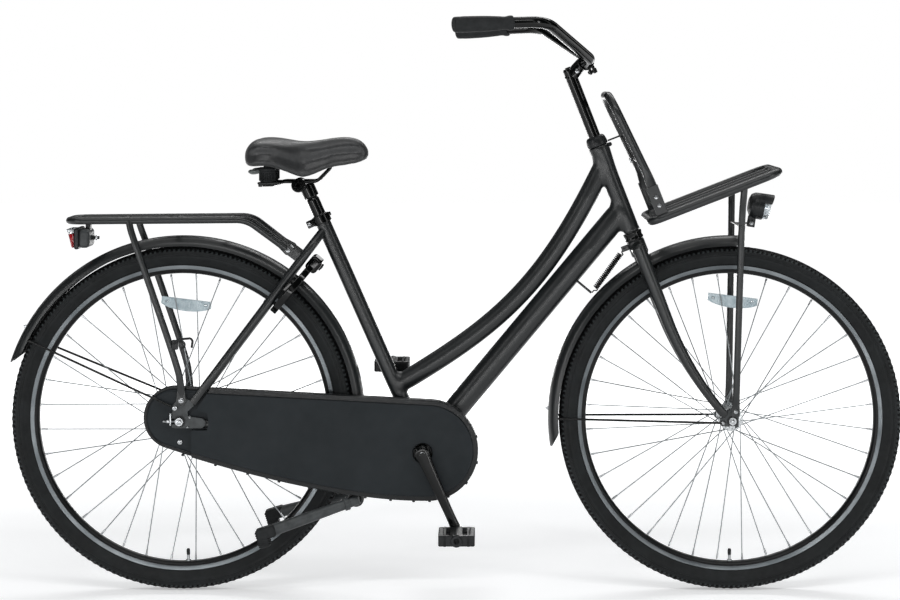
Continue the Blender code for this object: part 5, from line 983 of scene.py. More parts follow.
def tyre(bm, axle, steps=888):
    """An open carcass with a raised tread, closed inside by its beads."""
    half = [-36, -30, -24, -18, -12, -9, -8, -5, -4, -1, 3, 4, 5, 7, 8, 11, 15, 19, 24, 28, 29, 35, 36, 39,
        40, 50, 60, 61, 66, 70, 77, 81, 88]
    marks = half + [180 - m for m in half[::-1]]
    inside = mm("316 -11.2, 312 -9, 312.5 -6, 330 -19, 348 -12, 352 0, 348 12, 330 19, 312.5 6, 312 9, "
        "316 11.2")
    place = facing(axle)
    rings = []
    for k in range(steps):
        a = tau * k / steps
        ring = []
        for mark in marks:
            out = tread(mark, k)
            b = radians(mark)
            ring.append((0.3378 + (0.01725 + out) * sin(b), (0.0229 + out) * cos(b)))
        ring += inside
        rings.append([place @ Vector((r * cos(a), r * sin(a), w)) for r, w in ring])
    skin(bm, rings, closed=True)
    # Faces on the inner wall take the sidewall finish. The raised lugs on the shoulders take the paler
    # rubber, a painted highlight on their tops.
    for face in bm.faces:
        spot = face.calc_center_median() - axle
        step = int(atan2(spot.z, spot.x) / tau * steps + steps)
        if spot.xz.length < 0.3452:
            face.material_index = 1
        elif abs(spot.y) > 0.0172 and step % 4 < 2:
            face.material_index = 2


for name, axle in WHEELS:
    bm = bmesh.new()
    tyre(bm, axle)
    make(name + "_tyre_with_tread", bm, SLOT_FINISHES["tyre_rubber"], name + "_wheel", name + "_tyre",
        sharp=28)

# %% Rims and valves
rim_half = mm("298 0, 298.1 4.2, 299.2 7.2, 302.2 10.4, 304.8 12, 306.4 12.2, 307 11, 307.4 11, 315 12.9, "
    "315.9 12.6, 316 11.2, 313.8 10.3, 307.5 10.3, 306.4 8, 306 4, 306 0")
rim_profile = rim_half + [(r, -h) for r, h in rim_half[-2:0:-1]]
# The brake track is the band between these radii, on the rim's two outer walls.
TRACK_LOW, TRACK_HIGH, TRACK_ACROSS = 0.3073, 0.3151, 0.0109
rim_looks = [int(TRACK_LOW < min(a[0], b[0]) and max(a[0], b[0]) < TRACK_HIGH and abs(a[1]) > TRACK_ACROSS)
    for a, b in zip(rim_profile, rim_profile[1:] + rim_profile[:1])]
for (name, axle), valve_turn in zip(WHEELS, (-90, -88)):
    bm = bmesh.new()
    turn(bm, rim_profile, facing(axle), 240, rim_looks)
    make(name + "_rim_with_brake_track", bm, SLOT_FINISHES["rim_metal"], name + "_wheel", name + "_rim",
        sharp=40)
    way = in_side_view(valve_turn)
    bm = bmesh.new()
    valve_axes = along(axle + way * 0.31, axle + way * 0.272)
    turn(bm, eased(mm("0 0, 3.2 0, 3.2 11.5, 5.2 11.8, 5.2 14.5, 3.2 14.8, 3 25, 0 25"), 0.0003, 2),
        valve_axes, 28)
    turn(bm, eased(mm("0 24, 3.6 24, 3.8 33, 3 36.6, 0 37.6"), 0.0006, 3), valve_axes, 24, 1)
    make(name + "_valve_and_cap", bm, [ZINC, NYLON_AND_PAINTED_SHADE], name + "_wheel", name + "_inner_tube")

# %% Hubs and spokes
# Where a spoke goes into the rim, and half its thickness.
SPOKE_END, SPOKE_RADIUS = 0.2975, 0.00117


def spokes(bm, axle, flange_radius, reach):
    """Thirty-six crossed spokes with bent heads and zinc-plated nipples."""
    place = facing(axle)
    for i in range(36):
        rim_turn = tau * (i + 0.5) / 36
        side = 1 if i % 2 else -1
        lead = 1 if i // 2 % 2 else -1
        hub_turn = rim_turn + lead * radians(60)
        flange = side * (reach[1] if side > 0 else reach[0])
        hole = Vector((flange_radius * cos(hub_turn), flange_radius * sin(hub_turn), 0))
        offset = 0.0024 * lead
        end = Vector((SPOKE_END * cos(rim_turn), SPOKE_END * sin(rim_turn), side * 0.003))
        elbow = Vector((*hole.xy, flange + offset * side))
        head = Vector((*hole.xy, flange - offset * side * 1.5))
        run = (end - elbow).normalized()
        path = [head, elbow - (elbow - head).normalized() * 0.0012, elbow + run * 0.0016, end - run * 0.004]
        sweep(bm, [place @ p for p in path], [0.0019] + [SPOKE_RADIUS] * 3, 6, 1)
        sweep(bm, [place @ (end - run * s) for s in (0.0005, 0.006, 0.0075, 0.014)],
            [0.0022, 0.0022, 0.0019, 0.0017], 8, 2)


bm = bmesh.new()
coaster = mm("6.2 36, 18 36, 19 35, 19 30, 36.8 28.8, 37.5 28, 37.5 24, 36.8 23.2, 28.5 22.2, 25.2 18, "
    "24 13, 23.8 0, 24 -16, 25.2 -22, 28.5 -26.2, 36.8 -27.2, 37.5 -28, 37.5 -32, 36.8 -32.8, 24 -34, "
    "22.2 -40, 21 -41, 6.2 -41")
turn(bm, coaster, facing(REAR_AXLE), 72)
spokes(bm, REAR_AXLE, 0.0335, (0.03, 0.026))
make("rear_hub_and_spokes", bm, [ALLOY, WIRE, ZINC], "rear_wheel", "rear_hub")

bm = bmesh.new()
front_half = mm("6.2 44, 9.6 44, 10.4 43.2, 10.4 36.6, 15 36, 23.4 35.8, 24 35, 24 31, 23.4 30.3, "
    "17.2 29.4, 14 26.2, 12.8 20")
turn(bm, front_half + [(0.0124, 0)] + [(r, -h) for r, h in front_half[::-1]], facing(FRONT_AXLE), 64)
spokes(bm, FRONT_AXLE, 0.02, (0.033, 0.033))
make("front_hub_and_spokes", bm, [ALLOY, WIRE, ZINC], "front_wheel", "front_hub")

# %% [markdown]
# ### Spoke reflectors
# Each wheel carries a boat-shaped plate of acrylic near the rim. It has a raised lip, a round boss in the
# middle and rows of prisms, and two small clips hold it on the spokes.

# %% Spoke reflectors
for (name, axle), across, lift in zip(WHEELS, (0.0034, 0.0024), (0.243, 0.236)):
    lean = Matrix.Rotation(radians(-7), 4, "Z")
    here = facing(axle + Vector((0.006, 0, lift)), -across) @ lean
    half = 0.052
    keel = [(half * x, -0.006 - 0.0105 * (1 - x * x) ** 0.8) for x in [k / 5 for k in range(-5, 6)]]
    hull = eased([(-half, 0.0085)] + keel + [(half, 0.0085)], 0.0016, 3, True)
    bm = bmesh.new()
    plate(bm, [hull], 0.0034, here, 0.0006)
    plate(bm, [hull, drawn_in(wound(hull, 1), 0.0016)], 0.005, here, 0.0004)
    plate(bm, [circle(0.0058, 36, (0, -0.004))], 0.005, here, 0.0006)
    for k in range(-8, 9):
        if abs(k) > 1:
            tall = 0.021 - 0.001 * abs(k)
            block(bm, (0.0011, tall, 0.0044), here @ shift((k * 0.0052, 0.007 - tall / 2, 0)), 0.0003, 0, 1)
    for x in (-0.04, 0.04):
        block(bm, (0.008, 0.006, 0.0048), here @ shift((x, 0, 0)), 0.0012, 1)
    make(name + "_spoke_reflector", bm, ["acrylic_prism_reflector", CLEAR], name + "_wheel", name
        + "_reflector")

# %% [markdown]
# ## Chain case
# The real case is two thin mouldings clipped together round the chain, and a separate cap behind the
# dropout. Seen from the side it has a flat face inside a raised, rounded edge. Its outline is two arcs, a
# straight top and a belly. The wall is lofted along that outline, ring by ring, the face is filled inside
# the last ring, and a Boolean cuts away what the cap covers, so wall and cap keep their real thickness.

# %% Case outline
PITCH = 0.0127
REAR_SPROCKET, FRONT_RING = PITCH / (2 * sin(pi / 19)), PITCH / (2 * sin(pi / 38))
CASE_FRONT, CASE_FRONT_RADIUS = (BRACKET.x + 0.0104, BRACKET.z + 0.0039), FRONT_RING + 0.0263
CASE_REAR, CASE_REAR_RADIUS = (REAR_AXLE.x - 0.0106, REAR_AXLE.z + 0.0056), REAR_SPROCKET + 0.0269


def case_outline(inset, steps=56):
    """The case in the side view, drawn in by inset."""
    front = arc(CASE_FRONT, CASE_FRONT_RADIUS - inset, 84, -94, steps)
    rear = arc(CASE_REAR, CASE_REAR_RADIUS - inset, -105, -278, steps)
    low = Vector((BRACKET.x - 0.1233, BRACKET.z - 0.1002 + inset))
    back = Vector((REAR_AXLE.x + 0.1749, REAR_AXLE.z - 0.1248 + inset))
    belly = bezier(Vector(front[-1]), low, back, Vector(rear[0]), 36)[1:-1]
    start, end = Vector(rear[-1]), Vector(front[0])
    top = [start.lerp(end, k / 12) for k in range(1, 12)]
    return front + [tuple(p) for p in belly] + rear + [tuple(p) for p in top]


def case_border(growth):
    """Where the end cap takes over: behind the dropout, its tongue and the seat stay."""
    steps = mm("24 -200, 24 -18, 56 -18, 60 -4, 57 17, 34 24, 68 74, 82 100")
    line = [(REAR_AXLE.x + x + growth, REAR_AXLE.z + z + (growth if z > -0.01 else -growth)) for x, z
        in steps]
    return line + [(REAR_AXLE.x - 0.2, line[-1][1]), (REAR_AXLE.x - 0.2, line[0][1])]


def shell_of(bm, profile, hole, holes_at, painted_shade_inset=0.0):
    """A shell over the outline from (inset, across) pairs; its last ring is filled round a hole.

    The bands nearer the outline than this inset take the second finish, which draws the border darker than
    the face; on the case this is painted shade in the recessed border band.
    """
    rings = []
    for inset, across in profile:
        rings.append([bm.verts.new((x, across, z)) for x, z in case_outline(inset)])
    for (inset, _), near, far in zip(profile, rings, rings[1:]):
        bridge(bm, near, far, 1 if inset < painted_shade_inset else 0)
    across = profile[-1][1]
    rim = [bm.verts.new((x, across, z)) for x, z in circle(hole, 64, holes_at)]
    lines = [[v.co.xz.to_3d() for v in rings[-1]], [v.co.xz.to_3d() for v in rim][::-1]]
    flat = rings[-1] + rim[::-1]
    for corners in tessellate_polygon(lines):
        bm.faces.new([flat[k] for k in corners])
    return rings[0], rim


def moulding(outside, within, hole, holes_at, painted_shade_inset):
    """A thin-walled half of the case, between an outer and an inner profile."""
    bm = bmesh.new()
    back_out, hole_out = shell_of(bm, outside, hole, holes_at, painted_shade_inset)
    back_in, hole_in = shell_of(bm, within, hole, holes_at)
    bridge(bm, back_out, back_in)
    bridge(bm, hole_out, hole_in)
    return bm


def border_cutter(growth):
    """Everything behind the border, to be cut off or kept."""
    cutter = bmesh.new()
    plate(cutter, [case_border(growth)], 0.2, facing((0, 0, 0), -0.05), 0.0001)
    return cutter


def notch(cutter):
    """The opening through which the dropout shows."""
    block(cutter, (0.056, 0.03, 0.024), shift(REAR_AXLE + by(53, -45, -5)), 0.001)


print("case outline:", len(case_outline(0)), "points")

# %% Chain case
outside = mm("16 -36, 1.2 -36, 0.2 -36.6, 0 -37.6, 0 -49, 0.6 -49.4, 0.6 -50, 0 -50.4, 0 -59.6, 0.5 -61, "
    "1.8 -61.8, 8.8 -62, 9.6 -62.3, 10 -63.2, 10.3 -64.8, 11 -65.7, 12.6 -66")
within = mm("16 -37.6, 2.2 -37.6, 1.6 -38.2, 1.6 -59, 3 -60.2, 10.4 -60.5, 11.6 -63.4, 12.6 -64.2")
# Bands within 10.2 mm of the outline take the dark nylon finish: painted shade in the case's recessed border
# band.
bm = moulding(outside, within, 0.0205, (BRACKET.x, BRACKET.z), 0.0102)
cutter = border_cutter(0)
notch(cutter)
bm = carved(bm, cutter)
block(bm, (0.066, 0.0016, 0.034), shift(REAR_AXLE + by(55, -49, -4)), 0.0004)
lip = [at((x, 0, z), -0.0652) for x, z in circle(0.0215, 72, (BRACKET.x, BRACKET.z))]
sweep(bm, lip, (0.0012, 0.0014), 10, closed=True, across=ACROSS)
belly_line = [Vector(p) for p in case_outline(-0.0008)[57:94]]
for k in range(1, 34, 4):
    here, way = belly_line[k], (belly_line[k + 1] - belly_line[k]).normalized()
    clip = axes((here.x, -0.056, here.y), Vector((way.x, 0, way.y)), ACROSS, Vector((-way.y, 0, way.x)))
    block(bm, (0.0056, 0.009, 0.0044), clip, 0.001, 1)
for angle in (-88, -66, -40, -14, 16, 48, 76):
    a = radians(angle)
    reach = CASE_FRONT_RADIUS + 0.0004
    here = Vector((CASE_FRONT[0] + reach * cos(a), -0.056, CASE_FRONT[1] + reach * sin(a)))
    out = Vector((cos(a), 0, sin(a)))
    block(bm, (0.0056, 0.009, 0.004), axes(here, out.cross(ACROSS), ACROSS, out), 0.001, 1)
make("chain_case_shell", bm, [CASE_PLASTIC, NYLON_AND_PAINTED_SHADE], "frame", "chain_case", sharp=30)

# %% End cap
outside = mm("16 -36, 1.4 -36, 0.4 -36.8, 0.4 -48.6, 0.8 -50, 1.8 -50.8, 3.6 -51, 5.4 -50.6, 7.2 -49.4, "
    "9.6 -51.4, 12.6 -52")
within = mm("16 -37.6, 2.6 -37.6, 2 -38.4, 2 -48, 3.6 -49, 12.6 -49")
# The cap's bands within 7 mm of its outline take the dark nylon finish, which draws its border darker than
# its face.
bm = moulding(outside, within, 0.012, (REAR_AXLE.x, REAR_AXLE.z), 0.007)
bm = carved(bm, border_cutter(-0.0003), "INTERSECT")
cutter = bmesh.new()
notch(cutter)
bm = carved(bm, cutter)
screw(bm, REAR_AXLE + by(-0.5, -52.2, -44), (0, -1, 0), 0.0052, 2)
make("chain_case_end_cover", bm, [CASE_PLASTIC, NYLON_AND_PAINTED_SHADE, ZINC, NYLON_AND_PAINTED_SHADE], "frame", "chain_case_end_cap", sharp=30)

# %% [markdown]
# ## Cranks and pedals
# A crank is forged, so its arm is a flattened oval that tapers from the boss to the pedal's eye, with every
# edge round. It is one limb with a squarish section here. The pedal is a moulded cage round a steel axle,
# with a notched rubber tread on each end.

# %% Cranks
# The crank's slope and length, and how far out of its outer end the pedal's middle stands.
CRANK_TURN, CRANK_LENGTH, PEDAL_ACROSS = -65.5, 0.17, 0.098 + 0.045


def pedal(bm, place, side):
    """A moulded cage with two windows, notched treads, ribs, a barrel and its end cap."""
    middle = at(place, side * PEDAL_ACROSS)
    half, deep = 0.036, 0.045
    window = [(-0.0075, -deep + 0.012), (0.0075, -deep + 0.012), (0.0075, deep - 0.012),
        (-0.0075, deep - 0.012)]
    outline = eased([(-half, -deep), (half, -deep), (half, deep), (-half, deep)], 0.004, 4, True)
    openings = [eased([(x + s * (half - 0.0165), y) for x, y in window], 0.002, 3, True) for s in (-1, 1)]
    plate(bm, [outline, *openings], 0.0215, shift(middle), 0.0016)
    for s in (-1, 1):
        rim = middle + Vector((s * (half - 0.004), 0, 0))
        block(bm, (0.0078, 0.082, 0.018), shift(rim), 0.0016, 1)
        for k in range(9):
            notch = rim + Vector((0, (k - 4) * 0.0092, 0))
            block(bm, (0.0092, 0.0056, 0.0214), shift(notch), 0.0011, 1)
        for k in (-1, 1):
            lath = rim + Vector((-s * (0.0085 + 0.0012 * k), 0, 0))
            block(bm, (0.0018, 0.09, 0.0226), shift(lath), 0.0004, 0, 1)
    turn(bm, eased(mm("0 -48, 10 -48, 12.5 -45.5, 12.5 45.5, 10 48, 0 48"), 0.001, 3),
        facing(middle, middle.y), 36)
    turn(bm, eased(mm("0 0, 9.4 0, 9.4 0.4, 6 1, 0 1"), 0.0002, 2), outwards(middle, side, 0.19), 32)
    for k in (-3, -2, -1, 1, 2, 3):
        for s in (-1, 1):
            strip = middle + Vector((s * 0.0195, k * 0.0105, 0))
            block(bm, (0.015, 0.0014, 0.018), shift(strip), 0.0004, 0, 1)


for name, side in SIDES:
    way = in_side_view(CRANK_TURN) * -side
    cross = Vector((-way.z, 0, way.x))
    start, end = at(BRACKET, side * 0.0795), at(BRACKET, side * 0.0845) + way * CRANK_LENGTH
    bm = bmesh.new()
    limb(bm, [(start - way * 0.015, 0.01, 0.0048), (start - way * 0.0105, 0.0134, 0.0066),
        (start, 0.015, 0.0068), (start.lerp(end, 0.12), 0.0128, 0.0066),
        (start.lerp(end, 0.3), 0.0116, 0.0064), (start.lerp(end, 0.72), 0.0094, 0.0056),
        (start.lerp(end, 0.93), 0.0098, 0.0058), (start.lerp(end, 1.02), 0.0124, 0.0064),
        (start.lerp(end, 1.055), 0.01, 0.006), (start.lerp(end, 1.07), 0.0058, 0.0048)], 28, across=cross,
        square=0.62, rounds=3, dome=0.0018)
    boss = mm("8.8 46.6, 14.4 46.6, 15 47.4, 15 80, 14.6 84.8, 13.4 85.8, 10.4 86, 10 84, 8.8 83.6")
    turn(bm, boss, outwards(BRACKET, side), 48)
    turn(bm, eased(mm("0 62, 9.9 62, 9.9 83.5, 8.6 84.6, 4.2 85, 0 85"), 0.0008, 3), outwards(BRACKET, side),
        40, 2)
    hexagon(bm, at(BRACKET, side * 0.0845), at(BRACKET, side * 0.0862), 0.0058, 1)
    band(bm, (5, 12.5), (-6.5, 6.5), facing(end, end.y), 36, 1)
    turn(bm, eased(mm("0 -6.8, 5.2 -6.8, 5.2 8.5, 7.2 8.5, 7.2 11, 5 11.2, 5 106, 0 106"), 0.0004, 2),
        along(end, at(end, end.y + side)), 28, 1)
    make(f"crank_arm_{name}", bm, [GLOSS, ZINC, NYLON_AND_PAINTED_SHADE], "crank_set", "crank_" + name, sharp=40)
    bm = bmesh.new()
    pedal(bm, end, side)
    make(f"platform_pedal_{name}", bm, [NYLON_AND_PAINTED_SHADE, GRIP], f"{name}_pedal", "pedal_" + name)

bm = bmesh.new()
for side in (-1, 1):
    turn(bm, eased(mm("12 0, 18.4 0, 18.4 3, 16 4.6, 12 4.6"), 0.0008, 3, True),
        outwards(BRACKET, side, 0.0345), 56)
band(bm, (15.2, 18), (0, 2), outwards(BRACKET, -1, 0.058), 56, 0.6)
make("bottom_bracket_cup_rings", bm, [GLOSS], "frame")

# %% [markdown]
# ## Rear axle fittings
# A threaded axle holds the wheel. Outside each dropout sit the chain tensioner, a washer and a domed nut,
# and inside the left one the coaster brake's arm runs forwards along the stay.

# %% Rear axle, tensioners, brake arm
def thread(start, crest, root):
    """Half the section of a screw thread, 27 mm long: crest and root by turns."""
    return [(crest if k % 2 else root, start + k * 0.0005) for k in range(54)]


def axle_end(bm, axle, side, outer, nut):
    """Washer, flanged hexagon nut (its radius in millimetres) and an axle's threaded end, from outer on."""
    way = outwards(axle, side, outer)
    band(bm, (5.2, nut + 2.2), (0, 1.1), way, 40, 0.3, 2, 1)
    hexagon(bm, at(axle, side * (outer + 0.0011)), at(axle, side * (outer + 0.0086)), nut / 1000)
    turn(bm, [(0, -0.012), *thread(-0.012, 0.005, 0.0046), (0.004, 0.015), (0, 0.0154)], way, 28)


bm = bmesh.new()
for side in (-1, 1):
    axle_end(bm, REAR_AXLE, side, SPREAD + PLATE_FACE + 0.0023, 9.2)
crossbar(bm, REAR_AXLE, 0.052, 0.005)
make("rear_axle_and_nuts", bm, [ZINC, NYLON_AND_PAINTED_SHADE], "frame", "rear_axle", sharp=28)

for name, side in SIDES:
    face = SPREAD + PLATE_FACE
    rod_line = at(REAR_AXLE, side * (face + 0.0024))
    bm = bmesh.new()
    plate(bm, [circle(0.0092, 40), circle(0.0056, 32)], 0.002, facing(REAR_AXLE, side * (face + 0.001)),
        0.0004)
    start, end = rod_line + by(-7.5, 0, 0), rod_line + by(-34.5, 0, 0)
    turn(bm, [(0, 0), *thread(0, 0.0024, 0.0021), (0, 0.0272)], along(start, end), 20)
    bar = at(REAR_AXLE, side * (face - 0.001)) + by(-18.4, 0, 4.5)
    block(bm, (0.0034, 0.013, 0.025), shift(bar), 0.0008)
    hexagon(bm, rod_line + by(-20.3, 0, 0), rod_line + by(-25.3, 0, 0), 0.0046)
    make(f"chain_tensioner_on_{name}", bm, [ZINC, DARK_STEEL], "frame", f"chain_tensioner_{name}", sharp=28)

arm_outline = eased(arc((0, 0), 0.0145, 20, 255, 30) + [(0.04, -0.033), (0.15, -0.0475)]
    + arc((0.155, -0.04), 0.0072, -80, 80, 12) + [(0.048, -0.0185)], 0.003, 3, True)
bm = bmesh.new()
plate(bm, [arm_outline, circle(0.0055, 28), circle(0.0028, 20, (0.155, -0.0402))], 0.0026,
    facing(REAR_AXLE, 0.0426), 0.0005)
hexagon(bm, at(REAR_AXLE, 0.044), at(REAR_AXLE, 0.049), 0.0105)
clamp_place = REAR_AXLE + by(155, 44, -40.2)
hexagon(bm, clamp_place, clamp_place + by(0, 3.6, 0), 0.0046, 1)
make("coaster_brake_arm", bm, [DARK_STEEL, ZINC], "frame", "brake_arm")

# %% [markdown]
# ## Fenders
# A fender is rolled from flat strip into a half-round gutter, and its edges are turned in over a wire so
# that they are stiff and safe to touch. Its section here is a half ellipse with a small round lip on each
# edge. Near the ends the section narrows, which gives the rounded tips.

# %% Fenders and stays
def fender(bm, axle, start, end, tips, steps):
    """A rolled strip from start to end, in degrees; tips are the lengths over which each end narrows."""
    place = facing(axle)
    rings = []
    for k in range(steps + 1):
        share = k / steps
        angle = radians(start + (end - start) * share)
        run_in = min(1.0, (angle - radians(start)) * FENDER / tips[0] if tips[0] else 1.0)
        run_out = min(1.0, (radians(end) - angle) * FENDER / tips[1] if tips[1] else 1.0)
        open_to = 90 * (0.3 + 0.7 * min(run_in, run_out) ** 0.8)
        outer, inner = [], []
        for j in range(25):
            a = radians(-open_to + 2 * open_to * j / 24)
            base = Vector((FENDER - 0.02 * (1 - cos(a)), 0.0288 * sin(a)))
            across = Vector((cos(a) * 0.0288, sin(a) * 0.02)).normalized()
            thick = 0.0007 + 0.0009 * max(0.0, 1 - min(j, 24 - j) / 1.2)
            outer.append(base + across * thick)
            inner.append(base - across * thick)
        ring = outer + inner[::-1]
        rings.append([place @ Vector((p.x * cos(angle), p.x * sin(angle), p.y)) for p in ring])
    skin(bm, rings)


def stay_wire(bm, axle, angle, screw_place, spread):
    """A wire from one dropout up into the fender, under its crown and down to the other, with its eyes."""
    # The eyes lie against the dropouts, so the wire stands a little more than its radius further out.
    spread += PLATE_FACE + 1.3 * 0.0021
    out, crown = in_side_view(angle), in_side_view(angle - 2.8)
    half = [(0.356, 0.0262), (0.3716, 0.017)]
    points = [at(axle + out * r, -y) for r, y in half] + [at(axle + out * r, y) for r, y in half[::-1]]
    points = [at(screw_place, -spread), *points, at(screw_place, spread)]
    sweep(bm, bent(points, [0.006] * 4, 8), 0.0023, 14)
    rod(bm, axle + crown * 0.372, axle + crown * 0.3824, 0.0016, look=1)
    hexagon(bm, axle + crown * 0.3764, axle + crown * 0.38, 0.0038, 1)
    for side in (-1, 1):
        eye = at(screw_place, side * spread)
        band(bm, (2, 4.6), (-1, 1), facing(eye, side * (spread - 0.0008)), 28, 0.4, 2)
        screw(bm, at(screw_place, side * (spread + 0.0002)), (0, side, 0), 0.0036, 1)


bm = bmesh.new()
fender(bm, REAR_AXLE, -3, 162, (0.0, 0.026), 150)
bridge_screw = over_fender(REAR_AXLE, STAY_BRIDGE, -0.004)
hexagon(bm, bridge_screw, over_fender(REAR_AXLE, STAY_BRIDGE, -0.008), 0.0045, 1)
make("rear_fender_strip", bm, [STEEL_PAINT, ZINC, NYLON_AND_PAINTED_SHADE], "frame", "rear_fender")

bm = bmesh.new()
stay_wire(bm, REAR_AXLE, 153, REAR_AXLE + by(-9.4, 0, 27.5), SPREAD)
make("rear_fender_stay_wire", bm, [GLOSS, ZINC, NYLON_AND_PAINTED_SHADE], "frame", "rear_fender_stay")

bm = bmesh.new()
fender(bm, FRONT_AXLE, 86, 189, (0.01, 0.026), 96)
make("front_fender_strip", bm, [STEEL_PAINT], "steering", "front_fender")

bm = bmesh.new()
stay_wire(bm, FRONT_AXLE, 180, FRONT_AXLE + by(-19, 0, -4), FORK_SPREAD)
make("front_fender_stay_wire", bm, [GLOSS, ZINC, NYLON_AND_PAINTED_SHADE], "steering", "front_fender_stay")

# %% [markdown]
# ## Fork
# The blades are tapered tubes, drawn thinner towards the tips and bent forwards over the last third, which
# gives the steering its trail. They hang from a crown, and flat dropouts close their lower ends.

# %% Fork and front axle
bm = bmesh.new()
turn(bm, mm("0 388, 14.3 388, 14.3 621.5, 12.7 621.5, 12.7 600, 0 600"), steer_axes(0, 0, 0), 48)
turn(bm, eased(mm("0 380, 17 380, 18.5 383, 18.5 410, 17.5 413, 0 413"), 0.0015, 3), steer_axes(0, 0, 0), 56)
crown = mm("-50 392.5 13.5 12, -46 393.5 15.8 14.2, 0 395.5 16 15.8, 46 393.5 15.8 14.2, 50 392.5 13.5 12")
limb(bm, [(steer(0, y, z), w, t) for y, z, w, t in crown], 32, across=STEER_AHEAD, dome=0.005)
block(bm, (0.018, 0.004, 0.012), steer_axes(-0.024, 0, 0.404), 0.0012)
crown_foot = steer(0, 0, 0.382)
rod(bm, crown_foot, over_fender(FRONT_AXLE, crown_foot), 0.005)
fork_dropout = eased(arc((0.005, 0.019), 0.0105, -20, 160, 14) + arc((-0.019, -0.004), 0.0075, 130, 250, 10)
    + [(-0.007, -0.012), (-SLOT, -0.016), (-SLOT, SLOT), (SLOT, SLOT), (SLOT, -0.016), (0.013, -0.012),
    (0.013, 0.006)], 0.0012, 3, True)
for side in (-1, 1):
    top = steer(0, side * 0.046, 0.399)
    knee, ankle = steer(0, side * 0.0495, 0.165), steer(0.014, side * 0.0515, 0.085)
    tip = steer(0.04, side * 0.053, 0.014)
    path = [top, top.lerp(knee, 0.35)] + bezier(top.lerp(knee, 0.7), knee, ankle, tip, 30)
    sizes = []
    for place in path:
        share = (place - top).length / (tip - top).length
        radius = 0.014 - 0.0055 * share ** 1.3
        flat = max(0.0, (share - 0.93) / 0.07)
        sizes.append((radius * (1 - 0.6 * flat), radius))
    sweep(bm, path, sizes, 32, across=ACROSS, dome=0.002)
    plate(bm, [fork_dropout], PLATE, facing(FRONT_AXLE, side * FORK_SPREAD), 0.0007, look=1)
make("fork_crown_and_blades", bm, [STEEL_PAINT, DARK_STEEL], "steering", "fork")

bm = bmesh.new()
for side in (-1, 1):
    axle_end(bm, FRONT_AXLE, side, FORK_SPREAD + PLATE_FACE, 8.5)
    band(bm, (5, 8.2), (0, 5), outwards(FRONT_AXLE, side, 0.0452), 32, 0.6, 2)
crossbar(bm, FRONT_AXLE, 0.05, 0.005)
make("front_axle_and_nuts", bm, [ZINC, NYLON_AND_PAINTED_SHADE], "steering", "front_axle", sharp=28)

# %% [markdown]
# ## Stem, bar and grips
# The quill slides in the fork's steerer. Its short arm leans forwards to a clamp that one bolt pinches from
# below. The bar is one tube, swept back and bent down at the clamp. Each rubber grip has a flat top, a belly
# under the palm and a flared collar.

# %% Stem
BAR_PLACE = steer(0.0385, 0, 0.794)
bm = bmesh.new()
turn(bm, eased(mm("0 542, 12.4 542, 12.4 790, 11 794.5, 0 796"), 0.001, 3), steer_axes(0, 0, 0), 48)
limb(bm, [(steer(-0.006, 0, 0.772), 0.011, 0.011), (steer(0.004, 0, 0.779), 0.0128, 0.014),
    (steer(0.018, 0, 0.788), 0.013, 0.013), (BAR_PLACE - STEER_AHEAD * 0.008, 0.015, 0.0128)], 28,
    across=ACROSS, square=0.8, dome=0.003)
band(bm, (13, 17.2), (-19, 19), facing(BAR_PLACE), 56, 2.2, 4)
ear_lean = Matrix.Rotation(radians(-20), 4, "Y")
ears = BAR_PLACE - STEER_UP * 0.02 + STEER_AHEAD * 0.006
for way in (-1, 1):
    block(bm, (0.006, 0.029, 0.018), shift(ears + ear_lean @ Vector((way * 0.0042, 0, 0))) @ ear_lean, 0.0022)
bolt = ears - STEER_UP * 0.0035
hexagon(bm, bolt + STEER_AHEAD * 0.0072, bolt + STEER_AHEAD * 0.01, 0.005)
rod(bm, bolt - STEER_AHEAD * 0.0095, bolt + STEER_AHEAD * 0.008, 0.0032)
hexagon(bm, steer(-0.0006, 0, 0.7945), steer(-0.0006, 0, 0.7972), 0.0056)
screw(bm, at(steer(0.015, 0, 0.783), -0.0122), (0, -1, 0), 0.0048, 1)
make("quill_stem_and_clamp", bm, [GLOSS, ZINC, NYLON_AND_PAINTED_SHADE], "quill_stem", "stem")

# %% Bar and grips
halves = []
for side in (-1, 1):
    halves.append([Vector((0.001, side * 0.315, 1.162)), Vector((0.179, side * 0.25, 1.169)),
        Vector((BAR_PLACE.x + 0.007, side * 0.052, BAR_PLACE.z + 0.006)), at(BAR_PLACE, side * 0.022)])
bar_line = bent(halves[0] + halves[1][::-1], [0.075, 0.03, 0.06, 0.06, 0.03, 0.075], 16)
bar_sizes = [0.0127 if abs(p.y) < 0.024 else 0.0111 + 0.0016 * max(0.0, 1 - (abs(p.y) - 0.024) / 0.01) for p
    in bar_line]
bm = bmesh.new()
sweep(bm, bar_line, bar_sizes, 36)
make("swept_handlebar", bm, [GLOSS], "bar", "handlebar")

